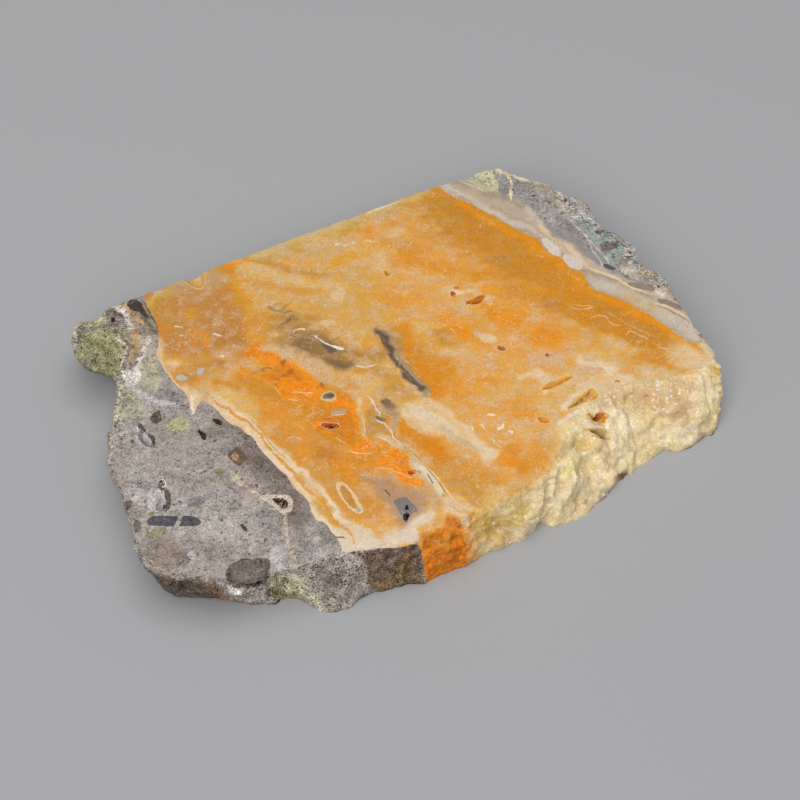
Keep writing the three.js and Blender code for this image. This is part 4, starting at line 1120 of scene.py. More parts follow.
ROCK = (
    # left rock
    Wash(-60, -30, 20, 14, 0, Hue.ROCK, 0.6),
    Wash(-66, -20, 7, 5, 0, Hue.ROCK_LIGHT, 0.5),
    Wash(-73, -30, 4, 8, 0, Hue.ROCK_WARM, 0.5),
    Wash(-68, -42, 7, 8, 0, Hue.ROCK_LIGHT, 0.6),
    Wash(-70, -50, 4, 4, 0, Hue.ROCK_PALE, 0.7),
    Wash(-60, -54, 12, 8, 0, Hue.ROCK_LIGHT, 0.5),
    Wash(-48, -58, 14, 8, 0, Hue.ROCK_LIGHT, 0.7),
    Wash(-60, -67, 10, 6, -20, Hue.DARK_BROWN, 0.2),
    Wash(-76, -43, 3, 6, 0, Hue.ROCK_WARM, 0.6),
    Wash(-46, -68, 10, 5, 0, Hue.ROCK_WARM, 0.6),
    Wash(-38, -64, 8, 7, 0, Hue.ROCK_LIGHT, 0.6),
    Wash(-47, -75, 10, 3, 0, Hue.ROCK_LIGHT, 0.5),
    Stroke(Hue.ROCK_DARK, 5.0, 4.0, 0.8, (
        (-50, -24), (-43, -28), (-38, -34), (-32, -41), (-28, -47), (-25, -54), (-23, -60), (-18, -64)
    )),
    Wash(-44, -30, 5, 3, -40, Hue.ROCK, 0.6),
    Wash(-38, -38, 6, 4, -50, Hue.DARK_BROWN, 0.5),
    Wash(-20, -62, 4, 5, 20, Hue.ROCK_LIGHT, 0.6),
    Wash(-30, -72, 5, 4, 0, Hue.ROCK_PALE, 0.8),
    Wash(-18, -66, 4, 2, 0, Hue.ROCK_LIGHT, 0.5),
    Wash(-44, -46, 6, 4, -20, Hue.ROCK_WARM, 0.5),
    Wash(-52, -52, 4, 2, 40, Hue.ROCK_BLUE, 0.5),
    Wash(-41, -54, 3, 2, 0, Hue.ROCK_BLUE, 0.5),
    Wash(-34, -57, 3, 3, 0, Hue.ROCK_BLUE, 0.5),
    Wash(-36, -46, 3, 2, 20, Hue.ROCK_WARM, 0.6),
    Wash(-47, -69, 3, 2, -40, Hue.ROCK_BLUE, 0.6),
    Wash(-28, -74, 4, 3, 0, Hue.ROCK_PALE, 0.5),
    Wash(-69, -30.5, 2.2, 4.4, 35, Hue.ROCK_PALE, 0.9),
    Wash(-63, -52.6, 2.2, 4.6, 0, Hue.ROCK_PALE, 0.9),
    Stroke(Hue.ROCK_DARK, 0.7, 1.0, 0.5, ((-62, -42), (-54, -46), (-48, -45), (-42, -48))),
    Stroke(Hue.ROCK_PALE, 0.8, 1.4, 0.4, ((-62, -40), (-54, -43), (-47, -42), (-40, -46))),
    Stroke(Hue.ROCK_PALE, 0.8, 1.4, 0.4, ((-60, -58), (-52, -50), (-46, -49))),
    Wash(-51, -24, 4, 3.4, 0, Hue.ROCK_LIGHT, 0.7),
    Wash(-54, -70, 7, 4, 0, Hue.ROCK_LIGHT, 0.6),
    Wash(-44, -49, 6, 4, 0, Hue.ROCK_LIGHT, 0.6),
    Wash(-67, -32, 5, 5, 0, Hue.ROCK_LIGHT, 0.5),
    Wash(-19, -69, 6, 3, 20, Hue.ROCK_PALE, 0.45),
    Wash(-37, -73, 6, 3, 0, Hue.ROCK_LIGHT, 0.5),
    Wash(-74, -28, 4, 6, 0, Hue.ROCK_LIGHT, 0.7),
    Wash(-45, -75, 6, 2.4, 0, Hue.ROCK_WARM, 0.6),
    # lobe and the mixed ground between it and the orange field
    Patch(Hue.LOBE_GREEN, 0.8, 1.0, (
        (-95, 14), (-88, 15), (-83, 15), (-79, 13), (-75.6, 8), (-74.6, 2), (-76, -4), (-79, -9),
        (-95, -9)
    )),
    Stroke(Hue.LOBE_DARK, 0.8, 1.0, 0.8, ((-84, 6), (-81.8, 4), (-81.2, 1), (-80.4, -3), (-80, -5))),
    Stroke(Hue.LOBE_DARK, 0.8, 1.2, 0.7, ((-88, 8), (-85.6, 5), (-86, 1), (-84, -3))),
    Stroke(Hue.ROCK_LIGHT, 1.4, 1.0, 0.9, ((-91.6, 11), (-91.4, 7), (-90.4, 2))),
    Wash(-85, 13.6, 4, 1.2, 10, Hue.KHAKI_GREEN, 0.5),
    Wash(-86, -3.6, 4, 3, 0, Hue.LOBE_GREY, 0.6),
    Wash(-86, -3.6, 4, 3, 0, Hue.LOBE_DARK, 0.4),
    Patch(Hue.ROCK_WARM, 0.8, 1.0, (
        (-84, 15), (-84, 18), (-80, 20), (-75, 23), (-72, 21), (-69, 14), (-66, 6), (-67, 0), (-74, -9),
        (-77, -5), (-75, 3), (-78, 10)
    )),
    Stroke(Hue.WHITE, 0.9, 0.9, 0.75, (
        (-80.6, 19.2), (-79.2, 17.2), (-77, 16), (-76.2, 13.4), (-75.8, 10)
    )),
    Stroke(Hue.TAN, 1.2, 1.0, 0.5, ((-78, 19), (-75.6, 16.4), (-72.4, 14), (-70.4, 12.4))),
    Patch(Hue.TAN, 1.2, 0.4, ((-76, 11), (-72.6, 10), (-71.6, 5), (-73, 0), (-75, -5), (-75.4, 3))),
    Wash(-71.4, 5, 2, 3.4, 10, Hue.KHAKI, 0.8),
    Stroke(Hue.OLIVE_BROWN, 0.7, 0.9, 0.8, ((-72, 16.4), (-69.8, 13.4), (-68.4, 10), (-67.6, 8))),
    Patch(Hue.GREY_GREEN, 0.8, 0.95, (
        (-70.4, 0), (-69.4, 4), (-68.4, 8), (-67, 6), (-67.2, 0), (-65.4, -3), (-63.2, -9), (-64.4, -13),
        (-67, -12.8), (-70, -10.4), (-71.6, -7), (-72, -3)
    )),
    Patch(Hue.ROCK_BLUE, 1.0, 0.9, (
        (-66, -14), (-63.6, -9.6), (-61, -12), (-58, -15), (-58, -19), (-63, -16.4)
    )),
    Patch(Hue.GREY_GREEN, 1.6, 1.0, (
        (-79, -9), (-75, -9.4), (-70.6, -12.4), (-68.4, -16), (-70, -22), (-76, -26), (-80, -22)
    )),
    Stroke(Hue.WHITE, 1.0, 0.9, 0.85, ((-69.8, 5.6), (-70.2, 3.4), (-72, 0), (-72.6, -4.6))),
    Patch(Hue.WHITE, 0.9, 0.85, (
        (-77.2, -4.8), (-73.4, -5), (-71.4, -4), (-70.6, -7), (-72.4, -10.2), (-75.4, -9.2), (-77.4, -7)
    )),
    Stroke(Hue.ROCK_PALE, 1.2, 1.2, 0.9, (
        (-74.6, -9.4), (-71.4, -11.8), (-67.4, -14.4), (-64.4, -17), (-60, -18.6)
    )),
    # front side
    Patch(Hue.ROCK_WARM, 1.4, 0.8, (
        (-66, -68), (-60, -75.4), (-50, -77.4), (-36, -78), (-24, -75), (-24, -100), (-80, -100)
    )),
    Patch(Hue.DARK_BROWN, 2.2, 0.95, (
        (-64, -73), (-58, -77.8), (-50, -79.4), (-43, -79.6), (-41, -90), (-70, -90)
    )),
    Stroke(Hue.RUST, 1.4, 1.4, 0.7, ((-46, -80.4), (-42, -83), (-37, -85.4))),
    Wash(-36, -81, 6, 4, 0, Hue.ROCK_LIGHT, 0.8),
    Wash(-31, -79, 3, 3, 0, Hue.ROCK, 0.8),
    Patch(Hue.KHAKI_GREEN, 1.6, 0.8, (
        (-30.6, -76), (-26, -75.6), (-22.6, -75), (-20.6, -79), (-22, -84), (-28, -83.4), (-31, -81)
    )),
    Stroke(Hue.OLIVE_BROWN, 1.2, 1.6, 0.7, ((-31, -80.6), (-28, -81.8), (-24, -82.4))),
    Stroke(Hue.KHAKI, 2.6, 1.6, 1.0, ((-24, -73.6), (-22.6, -78), (-20.6, -83), (-17.4, -88))),
    Patch(Hue.ROCK_WARM, 1.4, 0.9, (
        (-21, -71), (-12, -69), (-6, -68.2), (-5.6, -74), (-7, -80), (-11, -86), (-15.4, -88), (-19, -80)
    )),
    Wash(-15, -77, 3, 5, 30, Hue.ROCK_DARK, 0.7),
    Wash(-10, -72, 4, 2.5, 20, Hue.ROCK_LIGHT, 0.7),
    Patch(Hue.SMOKE, 1.4, 1.0, (
        (-6, -67.6), (3, -66.8), (8, -65), (9, -72), (10, -82), (-6, -82), (-5.4, -74)
    )),
    Wash(0, -70, 3, 1.6, 30, Hue.ROCK_WARM, 0.6),
    Wash(4, -73, 4, 2, 30, Hue.MUSTARD, 0.22),
    Wash(0, -78, 8, 2, 12, Hue.YELLOW_OLIVE, 0.28),
    # right band, from the contact outwards
    Stroke(Hue.BAND_WHITE, 16.0, 3.0, 1.0, tuple((x + 5.0, y + 4.6) for x, y in RIGHT_CONTACT)),
    Stroke(Hue.BAND_TAUPE, 0.8, 1.0, 0.8, tuple((x + 0.4, y + 0.4) for x, y in RIGHT_CONTACT[2:])),
    Stroke(Hue.BAND_PALE, 1.6, 0.9, 0.9, (
        (13, 71), (16.6, 69.2), (21, 66), (26, 62.4), (31, 58.4), (36, 54.6), (42, 50.2)
    )),
    Stroke(Hue.BAND_BEIGE, 1.8, 0.9, 0.9, ((17, 71.8), (22, 68.4), (28, 64.6), (34, 60.6), (41, 56))),
    Stroke(Hue.BAND_TAUPE, 0.9, 0.8, 0.6, ((30, 61.4), (35, 57.6), (40, 54), (44, 51))),
    Stroke(Hue.BAND_TAUPE, 1.7, 0.8, 1.0, (
        (18.6, 72), (24, 69.4), (28, 66.9), (32, 65), (36.6, 62.2), (39.8, 59.6)
    )),
    Stroke(Hue.BAND_PALE, 2.4, 1.6, 0.9, ((41, 59.6), (44.6, 56), (47.2, 53))),
    Patch(Hue.TONGUE, 1.4, 0.65, (
        (44.6, 54), (47.4, 52), (49, 48.4), (54, 44.6), (57, 40), (60, 35.6), (57, 34.6), (53, 38),
        (47, 44), (45, 47)
    )),
    Stroke(Hue.BAND_TAUPE, 0.4, 0.8, 0.8, ((45, 50.4), (46.8, 47.6), (49, 46), (52, 45), (54.4, 43.4))),
    Stroke(Hue.BAND_TAUPE, 0.4, 0.8, 0.7, (
        (46, 45.6), (49, 44.2), (50.6, 41.6), (53, 40), (55.6, 37.2), (57.6, 34.6)
    )),
    Stroke(Hue.BAND_TAUPE, 0.4, 0.8, 0.7, ((47.6, 52.4), (49, 48.6), (51, 46.8), (54.6, 44.2))),
    Stroke(Hue.BAND_TAUPE, 1.6, 1.0, 0.8, (
        (57.4, 33.4), (61, 32), (65, 30.4), (67.6, 28), (71, 25.4), (74.6, 23.6)
    )),
    Stroke(Hue.BAND_PALE, 2.6, 2.0, 0.7, (
        (62, 28.6), (67, 25.4), (72, 21.6), (76, 17.8), (81, 12.4), (86, 8.4)
    )),
    Stroke(Hue.BAND_PALE, 1.6, 1.0, 0.8, ((82, 13.6), (85, 12), (88, 9))),
    Stroke(Hue.BAND_BEIGE, 1.0, 1.0, 0.9, ((76.4, 20.4), (79, 19), (82, 17.2), (85, 15.2), (87, 13))),
    # right rock
    Patch(Hue.PURPLE_GREY, 1.4, 1.0, (
        (31, 66), (36, 63.6), (41, 60.8), (45, 56), (48, 51), (53, 46), (57, 41), (60, 37.4), (63, 34.8),
        (68, 30.6), (74, 26.6), (80, 27.4), (78, 33), (70, 48), (60, 62), (50, 71), (36, 78), (30, 76)
    )),
    Wash(50, 60, 12, 7, -40, Hue.ROCK_LIGHT, 0.5),
    Wash(65, 46, 6, 4, -50, Hue.ROCK_LIGHT, 0.4),
    Wash(44, 71, 6, 3, -30, Hue.ROCK_LIGHT, 0.6),
    Wash(72, 38, 4, 9, -30, Hue.ROCK_PALE, 1.0),
    Wash(44, 58, 3, 2, 0, Hue.ROCK_PALE, 0.4),
    Stroke(Hue.BAND_BEIGE, 0.9, 1.0, 0.8, ((44.6, 69), (47, 67), (48.6, 64.6), (50, 61), (53, 60))),
    Stroke(Hue.ROCK_LIGHT, 3.2, 2.0, 0.8, (
        (51, 66), (55.4, 61.4), (58.6, 56.6), (60.6, 53), (65, 48.6), (70, 44), (72.4, 38.6), (75, 33.6),
        (79, 29.4)
    )),
    Wash(69.4, 36, 2, 2, 0, Hue.DARK_BROWN, 0.9),
    Wash(69, 32.4, 5, 2, -30, Hue.BAND_PALE, 0.7),
    Wash(74, 31, 5, 2, -30, Hue.BAND_BEIGE, 0.7),
    Wash(78.6, 24, 2.6, 1.8, 0, Hue.WHITE, 0.8),
    Wash(72, 20, 8, 2.6, -35, Hue.TAN, 0.35),
    Wash(-24, -74, 3, 3, 0, Hue.ROCK_PALE, 0.4),
    Stroke(Hue.CRUST_PALE, 1.2, 0.7, 1.0, (
        (31.2, 77.4), (35, 75.9), (39, 74.4), (43, 72), (47, 71.2), (50, 69.8)
    )),
    Patch(Hue.CRUST_PALE, 0.8, 1.0, ((49.8, 66.4), (50.6, 69.4), (53.4, 68.6), (54.6, 65), (52.4, 64.6))),
    Wash(-50, -80, 8, 2, 0, Hue.UMBER, 0.5),
    Wash(72, 38, 3, 3, 0, Hue.ROCK_PALE, 0.9),
    Wash(-74, -8, 3, 2, 0, Hue.BAND_PALE, 0.5),
)

INLAYS = (
    # left rock
    Inlay(Hue.ROCK_DARK, (
        (-83.2, 15.6), (-82.6, 17.8), (-81.2, 18.8), (-80.2, 16.8), (-77.6, 15.6), (-78.2, 13.8),
        (-81.6, 15)
    )),
    Inlay(Hue.UMBER, (
        (-77.8, 19.8), (-76, 22), (-73.4, 21.4), (-71.4, 17.4), (-69.6, 13.4), (-73, 16.6), (-75.6, 17.8)
    )),
    Inlay(Hue.SLATE, (
        (-65, -58), (-63.6, -57.2), (-61, -56.9), (-56.9, -56.8), (-57.4, -60.5), (-61, -60.4),
        (-64.6, -59.8)
    ), 0),
    Inlay(Hue.SLATE, (
        (-56.1, -56.8), (-52.6, -57), (-50.6, -58), (-50.2, -59), (-51, -60.2), (-56.4, -60.4)
    ), 0),
    Inlay(Hue.KHAKI_DARK, ((-65, -62.6), (-62.6, -61.2), (-59.6, -61), (-59.6, -63.4), (-64.6, -63.8)), 0),
    Inlay(Hue.KHAKI_DARK, ((-57.4, -61), (-55.6, -61.2), (-55.8, -62.2), (-57.2, -62))),
    Inlay(Hue.KHAKI_DARK, ((-65, -55.8), (-63, -55.4), (-63.2, -56.8), (-64.8, -56.8))),
    Inlay(Hue.DARK_BROWN, ((-67.2, -23.4), (-66, -20.6), (-64.4, -20.2), (-63.6, -24), (-65.2, -25.4)), 0),
    Inlay(Hue.CLAST_KHAKI, (
        (-63, -25.6), (-60.6, -23.2), (-58, -22.6), (-55.6, -26), (-57, -27.8), (-60.6, -27.6)
    )),
    Inlay(Hue.DARK_BROWN, (
        (-44.8, -36.2), (-42.4, -33.1), (-41.6, -33.6), (-39.1, -37), (-41, -40.4), (-42, -39.8)
    ), 0),
    Inlay(Hue.HALO, ((-43.6, -36.4), (-42.6, -35), (-41.6, -36.4), (-42.2, -38.4)), 0),
    Inlay(Hue.KHAKI_DARK, ((-48.6, -41.6), (-47.4, -40.2), (-45.4, -40.8), (-44.8, -42.4), (-47, -43.2))),
    Inlay(Hue.ROCK_DARK, ((-68.8, -58.6), (-66.6, -58.2), (-66, -61.4), (-67.4, -62.6))),
    Inlay(Hue.ROCK_DARK, ((-72, -52), (-69.4, -51.4), (-69.6, -55), (-71, -55))),
    Inlay(Hue.DARK_BROWN, ((-72, -31.2), (-71, -30.6), (-70.6, -32), (-71.6, -32.4))),
    Inlay(Hue.ROCK, ((-52.8, -17.4), (-50, -19), (-47.6, -22.6), (-50, -23), (-53.2, -22.4))),
    Inlay(Hue.BAND_WHITE, (
        (-44.6, -41.4), (-42.4, -42), (-40, -45.4), (-38.6, -47.2), (-41, -46.8), (-43.2, -44.6)
    ), 1),
    Inlay(Hue.BAND_PALE, (
        (-36.4, -50), (-33, -49.6), (-30, -49.6), (-27.2, -50.4), (-26, -52.6), (-26.4, -55.6),
        (-28, -57), (-30.4, -55), (-33, -52.2)
    ), 1),
    Inlay(Hue.CLAST_TAN, (
        (-65, -66), (-61.4, -64.6), (-57.6, -64.8), (-54.4, -67.6), (-52.6, -71), (-56, -74.6),
        (-61, -73.6), (-64, -70)
    ), 1),
    Inlay(Hue.ROCK_PALE, ((-53.6, -69), (-52, -68.4), (-50.8, -70), (-52.4, -72)), 1),
    Inlay(Hue.ROCK_PALE, ((-33, -71), (-30.6, -70.6), (-30.4, -73), (-32.4, -73.4)), 1),
    Inlay(Hue.ROCK_BLUE, ((-55, -51.6), (-51.6, -50), (-49.6, -51), (-51.4, -54), (-54.6, -54)), 1),
    Inlay(Hue.DARK_BROWN, (
        (-42.6, -73), (-39, -70.8), (-34, -71.4), (-31.6, -70.6), (-33, -73.6), (-37, -75),
        (-41.6, -75.4)
    ), 0),
    # right rock
    Inlay(Hue.KHAKI_GREEN, (
        (22.6, 71.8), (25, 74), (28, 76.2), (30.4, 76), (31.6, 74.4), (31.4, 72.6), (33, 71.6),
        (32.6, 69.4), (33.2, 68), (31.6, 67), (29, 67.4), (26, 69)
    ), 1),
    Inlay(Hue.CLAST_GREEN, (
        (55.2, 55.4), (59.6, 54.2), (61.6, 51.6), (67, 48.4), (69.6, 45), (69, 40.6), (66, 38.4),
        (64.6, 38), (61.6, 43), (60.2, 46), (57.6, 50.6)
    ), 0),
    Inlay(Hue.ROCK_DARK, ((62, 44.6), (65, 45.6), (68.2, 45.6), (68.6, 43.6), (65, 41.4), (63.4, 41.6)), 1),
    Inlay(Hue.ROCK_DARK, ((60.6, 49.8), (63.6, 50.8), (64.4, 49.8), (62, 48.2)), 1),
    Inlay(Hue.ROCK_DARK_WARM, (
        (49.4, 50), (50.4, 53), (53.4, 55), (56.4, 50.4), (58.6, 46.4), (60.6, 42), (62, 38), (62.4, 35),
        (60.2, 37), (57, 41.2), (54, 45.2), (50, 47.8)
    )),
    Inlay(Hue.SLATE, ((62.8, 36.4), (64, 36.6), (67, 34.2), (65.4, 33.6), (63, 34.8))),
    Inlay(Hue.TAUPE_DARK, (
        (69, 28.6), (71, 29), (74, 28), (77, 27.8), (77.4, 25), (74.6, 25.4), (71, 26.8)
    )),
    Inlay(Hue.TAUPE_DARK, (
        (77.4, 22.6), (80, 22), (83, 20.4), (85, 17.8), (83, 17.8), (80, 19.8), (77.4, 20.8)
    )),
    Inlay(Hue.BOTRYOID, (
        (44.6, 46.8), (45, 44.4), (46.6, 42.6), (47.2, 40.8), (49, 39.4), (50.4, 39.6), (50.6, 42.4),
        (48.8, 44.6), (46.6, 46.8)
    ), 2),
    Inlay(Hue.BOTRYOID, (
        (50.8, 38.8), (52, 36.2), (53.6, 34.6), (55.6, 33.8), (56.8, 34.8), (56.2, 37.6), (54.2, 39.6),
        (51.6, 40.4)
    ), 2),
    Inlay(Hue.UMBER, ((41.6, 65), (43, 65.6), (44.4, 65.8), (43.6, 64.8)), 0),
    Inlay(Hue.UMBER, ((49.8, 64.6), (50.6, 64.6), (51.4, 63.8), (50.4, 63.8)), 0),
    Inlay(Hue.UMBER, ((52.6, 64), (53.4, 63.8), (53.8, 62.6), (53, 62.8)), 0),
    Inlay(Hue.UMBER, ((53.6, 60.8), (54.6, 61.8), (56, 62), (54.8, 61)), 0),
    Inlay(Hue.UMBER, ((45.8, 55.6), (46.8, 55.6), (47, 54.8), (46.4, 54.8)), 0),
    Inlay(Hue.UMBER, ((70.6, 41), (71.6, 41.2), (71.6, 40.4), (70.8, 40.4)), 0),
    Inlay(Hue.UMBER, ((69, 39.4), (72, 39.4), (72, 38.8), (69.4, 38.8)), 0),
    Inlay(Hue.UMBER, ((68.6, 31.4), (70, 31.4), (70.6, 30.8), (69.2, 30.8)), 0),
    Inlay(Hue.UMBER, ((75.8, 31.4), (77.4, 31.2), (77.6, 30), (77, 30.8)), 0),
    Inlay(Hue.UMBER, ((78, 28), (78.8, 27), (79, 25.6), (78.2, 26.4)), 0),
    # eye, grey sliver, ring and pentagon
    Inlay(Hue.EYE_RING, (
        (-20, -15.8), (-19, -13.8), (-17.2, -13), (-15.6, -13.8), (-15.2, -16), (-16.6, -17.3),
        (-18.8, -17)
    ), 2),
    Inlay(Hue.SMOKE_GREY, (
        (-19.7, -15.6), (-18.4, -14.1), (-16.6, -13.5), (-15.6, -14.6), (-16, -15.9), (-18.4, -16.3)
    ), 2),
    Inlay(Hue.DARK_BROWN, ((-18.6, -15.2), (-17.4, -14.6), (-16.2, -14), (-16, -15), (-17.6, -15.5))),
    Inlay(Hue.ROCK_LIGHT, ((-17.4, -21.5), (-15, -20.2), (-12.4, -19.9), (-12.6, -21), (-15.6, -21.6))),
    Inlay(Hue.CREAM, (
        (-15, -45), (-12.4, -46), (-9.6, -50), (-7.2, -54.4), (-7.4, -56.6), (-9.2, -56.4), (-12, -53),
        (-14.6, -49)
    ), 2),
    Inlay(Hue.OCHRE, (
        (-13.6, -46.8), (-12.6, -47.2), (-10.2, -51.4), (-8.8, -54), (-9.4, -54.6), (-11.6, -52.2),
        (-13.4, -49)
    ), 2, 0.3),
    Inlay(Hue.ROCK_LIGHT, ((-8.8, -54.4), (-7.8, -54.6), (-8, -55.8), (-8.9, -55.6)), 1),
    Inlay(Hue.PATCH_GREY, (
        (0.6, -52), (2.6, -51), (4, -50.6), (5, -51.4), (6.6, -53.4), (7.2, -55), (6, -56), (4.8, -57),
        (4.4, -59), (3.6, -58.6), (2.4, -56)
    ), 0),
    Inlay(Hue.WHITE, (
        (-18.4, 4.6), (-15.6, 4), (-13.6, 3), (-13.2, 2), (-14.4, 2.2), (-16.4, 3.2), (-18.4, 4.1)
    )),
    Inlay(Hue.CRUST_WHITE, (
        (7.6, -39.6), (9.2, -40), (11.4, -42.6), (12.4, -45.4), (13.6, -47.4), (15, -50.4), (13.4, -49.8),
        (11.6, -46.8), (9.6, -43.6), (8.2, -41.4)
    )),
    Inlay(Hue.ROCK_PALE, ((-55, -5), (-53.6, -4.2), (-53, -6), (-54, -7.4), (-55.2, -7))),
    Inlay(Hue.ROCK_PALE, ((-61, -7.6), (-59, -7), (-57.2, -8.2), (-58, -9.2), (-60.4, -9))),
    Inlay(Hue.ROCK_PALE, ((-61.2, 7.8), (-60.2, 8.4), (-59.4, 7.8), (-60.2, 7))),
    Inlay(Hue.WHITE, (
        (28.9, -27.2), (29.5, -26.1), (30.2, -26.4), (30.7, -25.1), (31.3, -25.2), (31, -26.6),
        (30, -27.5)
    )),
    Inlay(Hue.WHITE, ((31.8, -27.6), (33.2, -27.3), (34, -27.9), (33.5, -29), (32.8, -28.1))),
    Inlay(Hue.WHITE, ((-42, -80), (-39.6, -80.4), (-38, -82), (-40, -82.6), (-42, -81.4))),
)

